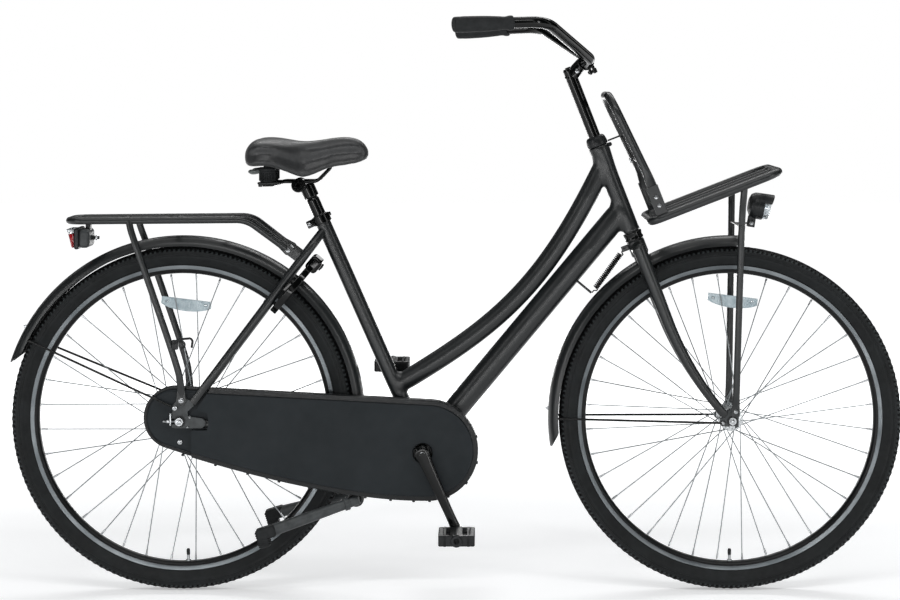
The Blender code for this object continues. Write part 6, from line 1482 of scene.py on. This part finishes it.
for name, (end, bend, _, _) in zip(("right", "left"), halves):
    inward = (bend - end).normalized()
    start = end - inward * 0.004
    side_way = inward.cross(Vector((0, 0, 1))).normalized()
    up_way = side_way.cross(inward)
    stations = mm("0 10 10, 0.8 14 14, 3 15.6 15.7, 10 15.8 16.2, 35 15.8 16.3, 66 15.4 15.7, 90 14 14.1, "
        "102 13.3 13.3, 108 13.2 13.2, 111 14 14, 115 15 15, 120.5 15.1 15.1, 121.8 14.4 14.4, 122 11.6 11.6")
    rings = []
    for run, top, belly in relaxed([list(s) for s in stations], 2):
        ring = []
        for k in range(64):
            a = tau * k / 64
            reach = top if sin(a) > 0 else top + (belly - top) * abs(sin(a))
            flat = 1 - 0.06 * max(0.0, sin(a)) ** 3
            rib = 0.00035 * (1 if 0.018 < run < 0.1 and k % 4 < 2 and abs(cos(a)) < 0.93 else 0)
            ring.append(start + inward * run + side_way * ((reach + rib) * cos(a)) + up_way
                * ((reach * flat + rib) * sin(a)))
        rings.append(ring)
    bm = bmesh.new()
    skin(bm, rings)
    make(f"moulded_grip_{name}", bm, [GRIP], "bar", "grip_" + name, sharp=50)

# %% [markdown]
# ## Steering spring
# A small coil between crown and down tube keeps the front wheel straight under a load. It crosses the
# steering joint, so here it rides on no body: it is taken off the frame's body and stays where it is made.

# %% Steering spring
line = spring_foot - spring_head
way = line.normalized()
first = way.cross(ACROSS).normalized()
second = way.cross(first)
TURNS, PER_TURN, COIL_RADIUS, HOOK = 22, 16, 0.0052, 0.013
coil = []
for k in range(TURNS * PER_TURN + 1):
    a = tau * k / PER_TURN
    run = HOOK + (line.length - 2 * HOOK) * k / (TURNS * PER_TURN)
    coil.append(spring_head + way * run + first * (COIL_RADIUS * cos(a)) + second * (COIL_RADIUS * sin(a)))
aside = by(0, 4.5, 0)
upper_hook = bent([spring_head - aside, spring_head + aside, spring_head + way * 0.0085 + aside, coil[0] - way
    * 0.002], [0.002, 0.003], 4)
lower_hook = [coil[-1] + way * 0.0025, spring_foot - way * 0.007, spring_foot - way * 0.0012]
bm = bmesh.new()
sweep(bm, upper_hook + coil + lower_hook, 0.0014, 8)
made = make("steering_damper_spring", bm, [GLOSS], "frame", "steering_spring")
made.modifiers.clear()
made.parent = None
made.matrix_world = Matrix()
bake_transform(made)

# %% [markdown]
# ## Front carrier
# The carrier is a tube loop with three bars between, two legs down to the fork ends, and a hooped backrest
# whose feet are pressed flat and screwed on. Tubes are sweeps along bent paths, and pressed ends are limbs
# whose section runs out flat.

# %% Carrier, backrest and their stay
def at_leg_height(height):
    """The place on the carrier's legs at a height above the ground."""
    low, high = FRONT_AXLE + by(0, 0, 60), steer(0.2425, 0, 0.446)
    return low.lerp(high, (height - low.z) / (high.z - low.z))


wide, up, back, front = 0.112, 0.4445, 0.042, 0.32
middle = (back + front) / 2
bm = bmesh.new()
loop = bent([steer(middle, wide, up), steer(front, wide, up), steer(front, -wide, up), steer(back, -wide, up),
    steer(back, wide, up), steer(middle, wide, up)], [0.035, 0.035, 0.022, 0.022], 14)
sweep(bm, loop[:-1], 0.008, 28, closed=True, across=STEER_UP)
for across in (-0.056, 0.0, 0.056):
    sweep(bm, [steer(back, across, up), steer(front, across, up)], 0.0045, 20)
for side in (-1, 1):
    block(bm, (0.025, 0.003, 0.07), steer_axes(0.0665, side * (wide - 0.002), up + 0.033), 0.0012)
    foot = at(FRONT_AXLE + by(6, 0, 20), side * (FORK_SPREAD + PLATE / 2 + 0.0072))
    limb(bm, [(foot - by(0, 0, 10), 0.0015, 0.0085), (foot + by(0, 0, 10), 0.0022, 0.0084),
        (foot + by(0.4, side * 2, 24), 0.0055, 0.0078), (foot + by(1, side * 4, 40), 0.007, 0.007),
        (at(at_leg_height(0.772), side * (wide - 0.022)), 0.007, 0.007),
        (at(at_leg_height(0.812), side * (wide - 0.008)), 0.007, 0.007),
        (steer(0.2425, side * (wide - 0.004), up), 0.007, 0.007)], across=ACROSS)
    screw(bm, at(foot, side * (FORK_SPREAD + PLATE / 2 + 0.0088)), (0, side, 0), 0.0045, 1)
brace = at_leg_height(0.756)
sweep(bm, [at(brace, wide - 0.006), at(brace, 0.006 - wide)], 0.0028, 16)
block(bm, (0.036, 0.012, 0.003), shift(brace + by(18, 0, 2)), 0.001)
make("front_carrier_loop_and_legs", bm, [STEEL_PAINT, ZINC, NYLON_AND_PAINTED_SHADE], "steering", "front_carrier")

bm = bmesh.new()
inner, low, high = wide - 0.002, 0.498, 0.713
# A foot from the hoop down: ahead, in from the side, up, wide and thick.
pressed_foot = mm("67 10.5 550 8.6 8.6, 67.6 10.2 538 7.8 9, 67.6 8 526 5.4 9.8, 67.2 5 512 3 10.6, "
    "67 3.6 498 1.8 11, 67 3.6 464 1.8 11, 67 3.6 458 1.6 8")
feet = [steer(0.0672, side * (inner - 0.0105), low + 0.048) for side in (-1, 1)]
tops = [steer(0.054, side * (inner - 0.0105), high) for side in (-1, 1)]
sweep(bm, bent([feet[0], tops[0], tops[1], feet[1]], [0.045, 0.045], 16), 0.0086, 28)
bar_lean = 0.0685 - 0.0145 * (0.568 - low) / (high - low)
sweep(bm, [steer(bar_lean, inner - 0.011, 0.568), steer(bar_lean, 0.011 - inner, 0.568)], 0.005, 20)
for side in (-1, 1):
    limb(bm, [(steer(x, side * (inner - y), z), w, t) for x, y, z, w, t in pressed_foot], across=ACROSS,
        square=0.7)
    for height in (0.47, 0.488):
        screw(bm, steer(0.067, side * (inner + 0.0015), height), (0, side, 0), 0.0042, 1)
make("front_backrest_hoop", bm, [STEEL_PAINT, ZINC, NYLON_AND_PAINTED_SHADE], "steering", "front_backrest")

bm = bmesh.new()
rear_side = bar_lean - 0.0071
wire = bent([steer(0.0223, 0, HEAD_HIGH + 0.0035), steer(rear_side - 0.004, 0, HEAD_HIGH + 0.0035),
    steer(rear_side, 0, 0.56)], [0.006], 8)
sweep(bm, wire, 0.0018, 14)
wing = steer(rear_side - 0.003, 0, 0.57)
hexagon(bm, wing, wing - STEER_AHEAD * 0.004, 0.005, 1)
for side in (-1, 1):
    limb(bm, [(wing + ACROSS * side * 0.002, 0.0024, 0.003), (wing + ACROSS * side * 0.008, 0.0014, 0.0034),
        (wing + ACROSS * side * 0.013 - STEER_AHEAD * 0.003, 0.0012, 0.003)], 16, 1, across=STEER_AHEAD,
        dome=0.001)
make("backrest_stay_wire", bm, [GLOSS, ZINC], "steering", "backrest_stay")

# %% [markdown]
# ## Headlamp
# A round housing with a hood over a clear lens. Behind the lens sit a bright reflector bowl and a small
# lamp, which the lens lets the eye see. Two cheeks and a screw hold it on the carrier's tab.

# %% Headlamp
pivot = at_leg_height(0.756) + by(30, 0, 2)
ahead = in_side_view(-9)
lamp_place = pivot + by(-6, 0, 38.6)
lamp_axes = along(lamp_place, lamp_place + ahead)
bm = bmesh.new()
turn(bm, eased(mm("0 1, 14 1, 23 5, 26.8 12, 27.5 18, 27.5 20.5, 27 21.2, 27.5 21.9, 27.5 32.2, 25.6 32.2, "
    "25 30, 0 30"), 0.001, 3), lamp_axes, 64)
hood = []
for k in range(13):
    a = radians(-72 + 12 * k)
    out = (Vector((0, sin(a), 0)) + (ACROSS.cross(ahead) * -cos(a)))
    out = out if out.z * cos(a) > 0 else Vector((0, out.y, 0)) - Vector((out.x, 0, out.z))
    lip = 0.043 + 0.0085 * cos(a) ** 0.8
    hood.append([lamp_place + ahead * h + out * r for h, r
        in ((0.031, 0.0277), (lip, 0.0276), (lip + 0.0006, 0.027), (lip, 0.0264), (0.031, 0.0264))])
skin(bm, hood)
for side in (-1, 1):
    block(bm, (0.015, 0.003, 0.034), shift(pivot + by(2, side * 7.8, 9))
        @ Matrix.Rotation(radians(9), 4, "Y"), 0.001)
    turn(bm, eased(mm("0 7, 5.8 7, 5.8 10.2, 0 10.2"), 0.0006, 2), outwards(pivot, side), 28)
    screw(bm, at(pivot, side * 0.0098), (0, side, 0), 0.0042, 1)
make("headlamp_housing_with_hood", bm, [NYLON_AND_PAINTED_SHADE, ZINC, NYLON_AND_PAINTED_SHADE], "headlamp", "headlamp_body")

bm = bmesh.new()
turn(bm, eased(mm("0 47.5, 10 47.2, 19 46, 24.4 43.6, 25.4 40, 25.4 30, 24.2 30, 24 39.2, 18 43.8, 0 45.6"),
    0.0008, 2), lamp_axes, 64)
for k in range(-3, 4):
    half = sqrt(0.0195 ** 2 - (k * 0.0055) ** 2)
    block(bm, (0.0012, 2 * half, 0.0014), lamp_axes @ shift((k * 0.0055, 0, 0.0436 - abs(k) * 0.0006)),
        0.0004, 0, 1)
make("headlamp_clear_lens", bm, [CLEAR], "headlamp", "headlamp_lens")

bm = bmesh.new()
bowl = [(0.005 + 0.018 * (k / 10), 0.0318 + 0.0075 * (k / 10) ** 2) for k in range(11)]
turn(bm, bowl + mm("23.6 39.3, 23.6 31, 5 30.8"), lamp_axes, 48)
turn(bm, mm("0 32.8, 3 32.8, 3.2 37, 2.2 39.5, 0 40"), lamp_axes, 24, 1)
make("headlamp_reflector_bowl", bm, ["vapour_coated_reflector", CLEAR], "headlamp")

# %% [markdown]
# ## Rear carrier and lamp
# The rear carrier is bent from one tube, with bars across. Its front ends are pressed flat and bolted to the
# seat stays, and two legs stand on the dropouts. A strap hook sits on the right leg, and a battery lamp with
# a red lens hangs under the end.

# %% Rear carrier
high, wide = 0.7685, 0.06
end_x = REAR_AXLE.x - 0.231
foot = STAY_BRIDGE + STAY_BACK * LUG_REACH
bend_x = foot.x + (high - foot.z) / tan(atan2(STAY_BACK.z, STAY_BACK.x))
narrow = LUG_ACROSS + 0.0063
sides = [[at(foot + STAY_BACK * 0.006, side * narrow), Vector((bend_x, side * wide, high)),
    Vector((end_x, side * wide, high - 0.003))] for side in (-1, 1)]
bm = bmesh.new()
loop = bent(sides[0] + sides[1][::-1], [0.06, 0.032, 0.032, 0.06], 16)
sweep(bm, loop, 0.007, 28)
# A leg from the loop down, from the axle: back, across, up, wide and thick.
leg = mm("-104 60 410.5 7 7, -100 62.2 390.5 7 7, -86 67 352.5 7 7, -1.5 67.8 108 7 7, 2.5 64.3 74 4.8 7.6, "
    "4.5 62.8 54 2.2 8, 3.5 62.8 46 2 8.2")
for behind in (-0.096, 0.014, 0.124):
    x = REAR_AXLE.x - behind
    sweep(bm, [(x, wide, high - 0.002), (x, -wide, high - 0.002)], 0.005, 20)
for across in (-0.02, 0.02):
    sweep(bm, [(REAR_AXLE.x + 0.101, across, high - 0.001), (end_x, across, high - 0.003)], 0.004, 18)
for side in (-1, 1):
    strut = arc((LUG_REACH, 0), 0.0105, 70, 290, 16) + [(0.056, -0.0068), (0.056, 0.0068)]
    plate(bm, [eased(strut, 0.002, 3, True)], 0.004, lug_axes(side * (LUG_ACROSS + 0.0043)), 0.0008)
    screw(bm, at(foot, side * 0.0472), (0, side, 0), 0.0052, 1, 0.0034)
    hexagon(bm, at(foot, side * 0.0388), at(foot, side * 0.034), 0.005, 1)
    limb(bm, [(REAR_AXLE + Vector((x, side * y, z)), w, t) for x, y, z, w, t in leg], across=ACROSS)
    ear = eased(arc((0, 0), 0.01, 0, -180, 16) + [(-0.0078, 0.02), (0.0078, 0.02)], 0.002, 3, True)
    plate(bm, [ear], 0.004, facing(REAR_AXLE + by(3.5, 0, 42.8), side * 0.0628), 0.0008)
for prong in (mm("-10 160, 0 169.5, 24.5 171.5, 28.5 166, 26.5 153"), mm("0 164, 12 164, 12 155, 6 150")):
    path = [REAR_AXLE + Vector((x, -0.074, z)) for x, z in prong]
    sweep(bm, bent(path, [0.005] * (len(path) - 2), 6), 0.0024, 14, 2, dome=0.001)
block(bm, (0.013, 0.009, 0.02), shift(REAR_AXLE + by(-8, -70.5, 158)), 0.002, 2)
block(bm, (0.022, 0.046, 0.003), shift((end_x + 0.028, 0, high - 0.007)), 0.001)
make("rear_carrier_loop_and_legs", bm, [STEEL_PAINT, ZINC, NYLON_AND_PAINTED_SHADE], "frame", "rear_carrier")

# %% Rear lamp
top = high - 0.0088
middle, tail = top - 0.032, end_x + 0.01
bm = bmesh.new()
block(bm, (0.01, 0.078, 0.044), shift((tail + 0.005, 0, middle)), 0.004, 0, 4)
block(bm, (0.024, 0.07, 0.039), shift((tail + 0.019, 0, middle)), 0.009, 2, 5)
block(bm, (0.01, 0.02, 0.02), shift((tail + 0.024, 0, top - 0.01)), 0.002)
turn(bm, eased(mm("0 0, 5 0, 5 6, 3.5 6.6, 3.5 16.5, 0 16.5"), 0.0005, 2),
    along((tail + 0.03, 0, middle), (tail + 0.047, 0, middle)), 28)
hexagon(bm, (tail + 0.0385, 0, middle), (tail + 0.0425, 0, middle), 0.0055, 1)
make("rear_lamp_housing", bm, [NYLON_AND_PAINTED_SHADE, ZINC, DARK_STEEL], "frame", "rear_lamp_body")

bm = bmesh.new()
lens_axes = facing((tail, 0, middle))
red = mm("-12.5 10.5, -5 -19, -0.4 -19, -0.4 10.5")
clear = mm("-16.8 19.5, -13.2 11.5, -0.4 11.5, -0.4 19.5")
plate(bm, [eased(red, 0.003, 4, True)], 0.074, lens_axes, 0.003)
plate(bm, [eased(clear, 0.002, 4, True)], 0.074, lens_axes, 0.002, 1)
for k in range(-3, 3):
    low = -0.003 + k * 0.0042
    block(bm, (0.0012, 0.06, 0.002), shift((tail - 0.0098 - 0.254 * low, 0, middle + low)), 0.0004, 0, 1)
make("rear_lamp_red_lens", bm, ["polycarbonate_red", CLEAR], "frame", "rear_lamp_lens")

# %% [markdown]
# ## Ring lock and stand
# The lock is a horseshoe of plastic-covered steel on the seat stays, with the key barrel on top and a
# hardened bow inside. The centre stand has a cast housing under the chain stays and two splayed legs with
# ribbed rubber shoes, folded back.

# %% Ring lock and bow
out = in_side_view(49.7)
lock_axes = axes(REAR_AXLE + out * 0.349, ACROSS, out, ACROSS.cross(out))
section = eased(mm("56.3 7, 72 7, 72 -7, 56.3 -7, 56.3 -5.4, 67.9 -5.4, 67.9 5.4, 56.3 5.4"), 0.0022, 4, True)
rings = []
for k in range(73):
    a = radians(-54 + 4 * k)
    rings.append([lock_axes @ Vector((r * cos(a), r * sin(a), z)) for r, z in section])
bm = bmesh.new()
skin(bm, rings)
block(bm, (0.066, 0.033, 0.027), lock_axes @ shift((0, 0.069, 0.002)), 0.008, 0, 5)
turn(bm, eased(mm("0 14, 9.2 14, 9.2 18.5, 8 19, 8 21.8, 0 22.2"), 0.0006, 2), lock_axes
    @ shift((0, 0.072, -0.003)), 36)
block(bm, (0.0016, 0.008, 0.001), lock_axes @ shift((0, 0.072, 0.0192)), 0.0003, 0, 1)
for s in (-1, 1):
    block(bm, (0.016, 0.022, 0.009), lock_axes @ shift((s * 0.0573, 0.004, -0.0098)), 0.0018)
    hexagon(bm, lock_axes @ by(s * 57.3, 4, -5), lock_axes @ by(s * 57.3, 4, -2), 0.004, 1)
make("ring_lock_housing", bm, [GLOSS, ZINC], "frame", "ring_lock_body")

bm = bmesh.new()
bow = [lock_axes @ Vector((0.0625 * cos(radians(52 - k)), 0.0625 * sin(radians(52 - k)), 0)) for k
    in range(0, 101, 2)]
sweep(bm, bow, 0.004, 20, dome=0.002)
make("ring_lock_bow", bm, [ZINC], "bow", "lock_bow")

# %% Stand
stand_pivot = REAR_AXLE + by(359, 0, -165)
top_ring = [stand_seat + stays_lean @ Vector((x, y, -0.0033)) for x, y
    in eased(mm("22 16.5, 22 -16.5, -22 -16.5, -22 16.5"), 0.004, 4, True)]
low_ring = [stand_pivot + Vector((x, y, 0)) for x, y
    in eased(mm("12 15, 12 -15, -10 -15, -10 15"), 0.004, 4, True)]
bm = bmesh.new()
skin(bm, [top_ring, low_ring])
band(bm, (9, 16.5), (-30, 30), facing(stand_pivot), 48, 1.6)
hexagon(bm, stand_seat + by(0, 0, 3), stand_seat + by(0, 0, 9.5), 0.008, 1)
make("stand_housing", bm, [STEEL_PAINT, ZINC], "frame", "stand_bracket")

fold = in_side_view(197)
bm = bmesh.new()
crossbar(bm, stand_pivot, 0.052, 0.008)
shoe_lean = Matrix.Rotation(-atan2(fold.z, fold.x), 4, "Y")
for side in (-1, 1):
    hip, ankle = at(stand_pivot, side * 0.046), at(stand_pivot + fold * 0.182, side * 0.1)
    limb(bm, [(hip - fold * 0.008, 0.009, 0.009), (hip, 0.01, 0.01), (hip.lerp(ankle, 0.35), 0.011, 0.011),
        (ankle, 0.012, 0.012)], 28, across=ACROSS, square=0.85)
    band(bm, (8, 13.5), (-4, 6), along(hip.lerp(ankle, 0.1), ankle), 32, 1, 2)
    shoe = shift(ankle + fold * 0.004) @ shoe_lean
    block(bm, (0.04, 0.0286, 0.024), shoe, 0.005, 1, 4)
    block(bm, (0.024, 0.028, 0.038), shoe @ shift((0.009, 0, 0.0085)), 0.005, 1, 4)
    for k in range(-3, 4):
        block(bm, (0.025, 0.029, 0.003), shoe @ shift((0.009, 0, 0.0085 + k * 0.0048)), 0.0012, 1)
make("stand_legs_and_shoes", bm, [DARK_STEEL, GRIP], "stand", "stand_legs")

# %% [markdown]
# ## Seat
# The post ends in a slimmer neck. The clamp's cheeks grip two rails, which run from the nose back to a pair
# of ribbed rubber barrels that stand in for springs. A stiff pan lies on top, and the cover over it.

# %% Post, clamp and rails
clamp = SEAT_TOP + by(-41.8, 0, 60.9)
bm = bmesh.new()
turn(bm, eased(mm("0 -170, 13 -170, 13 33, 11 37.5, 11 38.5, 15.5 39.2, 15.5 68, 0 68"), 0.0012, 3),
    along(SEAT_TOP, SEAT_TOP + SEAT_LINE), 48)
band(bm, (5.3, 14), (-11.8, 11.8), facing(clamp), 40, 1)
make("seat_post_and_head", bm, [GLOSS], "post", "seat_post")

bm = bmesh.new()
for s in (-1, 1):
    turn(bm, eased(mm("5.3 16.6, 14.5 16.6, 14.5 19.5, 13.6 20, 13.6 27.5, 14.5 28, 14.5 30, 5.3 30"), 0.0007,
        2, True), outwards(clamp, s), 48)
    hexagon(bm, at(clamp, s * 0.03), at(clamp, s * 0.0348), 0.008)
crossbar(bm, clamp, 0.0348, 0.005, 1)
make("saddle_clamp_cheeks", bm, [GLOSS, ZINC], "saddle", "saddle_clamp")

half = [[clamp + Vector((x, side * y, 0.0078 + z)) for x, y, z in ((-0.0725, 0.043, -0.006),
    (-0.053, 0.034, -0.006), (-0.03, 0.0235, 0), (0.038, 0.0235, 0), (0.066, 0.012, 0.029))] for side
    in (-1, 1)]
bm = bmesh.new()
sweep(bm, bent(half[0] + half[1][::-1], [0.015, 0.02, 0.02, 0.009, 0.009, 0.02, 0.02, 0.015], 8), 0.0035, 20,
    dome=0.0015)
make("saddle_rail_wires", bm, [GLOSS], "saddle", "saddle_rails")

for name, side in SIDES:
    base = clamp + by(-62, side * 50, 8.5)
    profile = mm("0 30.5, 15 30.5, 17.8 27")
    for k in range(5):
        profile += [(0.0176 - k * 0.0006, 0.025 - k * 0.0046), (0.0158 - k * 0.0006, 0.023 - k * 0.0046)]
    profile += mm("15 1, 13 0, 0 0")
    bm = bmesh.new()
    turn(bm, eased(profile, 0.0008, 3), shift(base), 48)
    for k in range(28):
        a = tau * k / 28
        rib = base + Vector((0.0158 * cos(a), 0.0158 * sin(a), 0.014))
        block(bm, (0.0018, 0.0014, 0.023), shift(rib) @ Matrix.Rotation(a, 4, "Z"), 0.0004, 0, 1)
    foot_plate = mm("-19 -12.5, 13 -12.5, 26 -6, 26 6, 13 12.5, -19 12.5")
    plate(bm, [eased(foot_plate, 0.004, 4, True)], 0.004, shift(base - by(0, 0, 2.6)), 0.001, 1)
    block(bm, (0.009, 0.02, 0.008), shift(base + by(-13, 0, -6)), 0.0022, 1)
    make(f"saddle_barrel_{name}", bm, [GRIP, NYLON_AND_PAINTED_SHADE], "saddle", "saddle_spring_" + name)

# %% [markdown]
# ## Saddle
# The cover is a padded shell: broad and sprung at the back, a narrow nose at the front, a channel down the
# middle. Foam under a tight skin has no flats, so the shape is lofted through soft stations, made a little
# small, and then inflated with a short cloth simulation whose movement is capped. The pan inside comes
# after, because the voxel remesh would take it off.

# %% Saddle stations
STATIONS = [(0.0, 0.62, 0.072, 0.047), (0.03, 0.84, 0.089, 0.0375), (0.085, 0.97, 0.0953, 0.0405),
    (0.16, 1.0, 0.0972, 0.0425), (0.24, 0.93, 0.0962, 0.0385), (0.32, 0.75, 0.0933, 0.03),
    (0.4, 0.56, 0.09, 0.02), (0.465, 0.44, 0.0886, 0.0155), (0.54, 0.365, 0.0896, 0.021),
    (0.62, 0.325, 0.0925, 0.031), (0.706, 0.3, 0.0962, 0.038), (0.8, 0.285, 0.0984, 0.0405),
    (0.88, 0.27, 0.0968, 0.0435), (0.95, 0.22, 0.0893, 0.0485), (1.0, 0.11, 0.072, 0.056), ]
# Across, up and how far the side is pinched in: the crease between the padded top and the skirt.
CROSS_SHAPE = [(0.0, 1.0, 0), (0.34, 1.015, 0), (0.62, 0.975, 0), (0.85, 0.87, 0), (0.975, 0.72, 0),
    (0.985, 0.6, 0.004), (0.98, 0.49, 0.011), (0.99, 0.38, 0.011), (1.0, 0.26, 0.003), (0.99, 0.13, 0),
    (0.93, 0.0, 0)]
SADDLE_TAIL, SADDLE_LENGTH, SADDLE_HALF = clamp.x - 0.1062, 0.2525, 0.108


def pan_reach(width, less, least):
    """Half the width of what lies inside the saddle, where the saddle has this share of its full width."""
    return max(SADDLE_HALF * width * 0.88 - less, least)


def saddle_ring(station, drawn):
    """One section of the saddle, drawn in by an amount."""
    share, width, top, bottom = station
    x = SADDLE_TAIL + SADDLE_LENGTH * share
    half_width, tall = SADDLE_HALF * width - drawn, top - bottom - drawn
    dip = 0.0035 * max(0.0, 1 - abs(share - 0.22) / 0.3)
    pinch = min(1.0, share / 0.08, (1 - share) / 0.1)
    right = []
    for y, z, crease in relaxed([list(p) for p in CROSS_SHAPE], 4):
        low = dip * max(0.0, 1 - y / 0.4) ** 1.5
        right.append(Vector((x, -half_width * y + crease * pinch, clamp.z + bottom + tall * z - low)))
    return right + [Vector((p.x, -p.y, p.z)) for p in right[:0:-1]]


soft_stations = relaxed([list(s) for s in STATIONS], 4)
print("saddle sections:", len(soft_stations))

# %% Saddle cover
bm = bmesh.new()
skin(bm, [saddle_ring(s, 0.0012) for s in soft_stations])
pocket = bmesh.new()
rings = []
for share, width, _, bottom in STATIONS[1:-1]:
    x = SADDLE_TAIL + SADDLE_LENGTH * share
    reach = pan_reach(width, 0.015, 0.008)
    low, high = clamp.z + min(bottom, 0.049) - 0.03, clamp.z + 0.0531
    rings.append([Vector((x, y, z)) for y, z in ((-reach, low), (reach, low), (reach, high), (-reach, high))])
skin(pocket, rings)
cover = as_object(carved(bm, pocket))
cover.name = cover.data.name = "saddle_cover_padded"
remesh = cover.modifiers.new("even_mesh", "REMESH")
remesh.mode, remesh.voxel_size = "VOXEL", 0.0035
bpy.context.view_layer.update()
cover.data = bpy.data.meshes.new_from_object(worked_out(cover))
cover.modifiers.clear()
start_shape = [v.co.copy() for v in cover.data.vertices]
cloth = cover.modifiers.new("foam_under_skin", "CLOTH")
cloth.settings.use_pressure = True
cloth.settings.uniform_pressure_force = 4.0
cloth.settings.effector_weights.gravity = 0.0
cloth.settings.quality = 5
for step in range(1, 21):
    bpy.context.scene.frame_set(step)
puffed = bpy.data.meshes.new_from_object(worked_out(cover))
cover.modifiers.clear()
bpy.context.scene.frame_set(1)
moved = 0.0
for vertex, start, end in zip(cover.data.vertices, start_shape, puffed.vertices):
    step = end.co - start
    # The skirt is held by the pan, so it hardly moves.
    cap = 0.0004 if start.z < clamp.z + 0.0545 else 0.0026
    step = step.normalized() * min(step.length, cap) if step.length > 1e-9 else step
    vertex.co = start + step
    moved = max(moved, step.length)
print("the skin swelled by up to", round(moved * 1000, 2), "mm")
smooth = bmesh.new()
smooth.from_mesh(cover.data)
smoothed(smooth, smooth.verts[:], 16)
smooth.to_mesh(cover.data)
smooth.free()
finer = cover.modifiers.new("finer", "SUBSURF")
finer.levels = finer.render_levels = 1
bpy.context.view_layer.update()
cover.data = bpy.data.meshes.new_from_object(worked_out(cover))
cover.modifiers.clear()
cover.data.materials.clear()
cover.data.materials.append(FINISHES[SADDLE])
cover.data.shade_smooth()
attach(cover, "saddle")
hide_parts("saddle_cover")
print("saddle cover:", len(cover.data.polygons), "faces")

# %% Pan and bumper
bm = bmesh.new()
rings = []
for share, width, _, _ in soft_stations:
    if not 0.06 < share < 0.84:
        continue
    x = SADDLE_TAIL + SADDLE_LENGTH * share
    reach = pan_reach(width, 0.0165, 0.0065)
    rings.append([Vector((x, y * reach, clamp.z + z)) for y, z in ((-1, 0.0494), (-0.97, 0.049),
        (0.97, 0.049), (1, 0.0494), (1, 0.0522), (0.97, 0.0526), (-0.97, 0.0526), (-1, 0.0522))])
skin(bm, rings)
block(bm, (0.018, 0.034, 0.014), shift(clamp + by(66.5, 0, 45)), 0.003, 0, 4)
for side in (-1, 1):
    limb(bm, [(clamp + Vector((x, side * y, z)), wide, tall) for x, y, z, wide, tall in ((-0.096, 0.03, 0.03,
        0.004, 0.003), (-0.095, 0.038, 0.029, 0.008, 0.0048), (-0.09, 0.05, 0.0285, 0.01, 0.0055),
        (-0.082, 0.06, 0.03, 0.008, 0.0045))], 20, 1, across=Vector((1, 0, 0)), dome=0.003)
make("saddle_pan", bm, [NYLON_AND_PAINTED_SHADE, "elastomer_bumper_grey"], "saddle", "saddle_base")

# %% [markdown]
# ## Finishes for the pieces that stay
# A few engineering pieces are already the right shape and sit deep inside others. They stay, and only get a
# real finish in their material slots.

# %% Kept pieces and the size
KEPT = {"bottom_bracket_cartridge": ZINC, "crank_spindle": ZINC, "chain": "oiled_chain_steel",
    "chainring": DARK_STEEL, "rear_sprocket": DARK_STEEL}
for node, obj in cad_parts.items():
    for slot in obj.material_slots:
        kinds = [k for k in SLOT_FINISHES if slot.material and k in slot.material.name]
        slot.material = FINISHES[KEPT.get(node) or SLOT_FINISHES[(kinds or ["black_plastic"])[0]][0]]
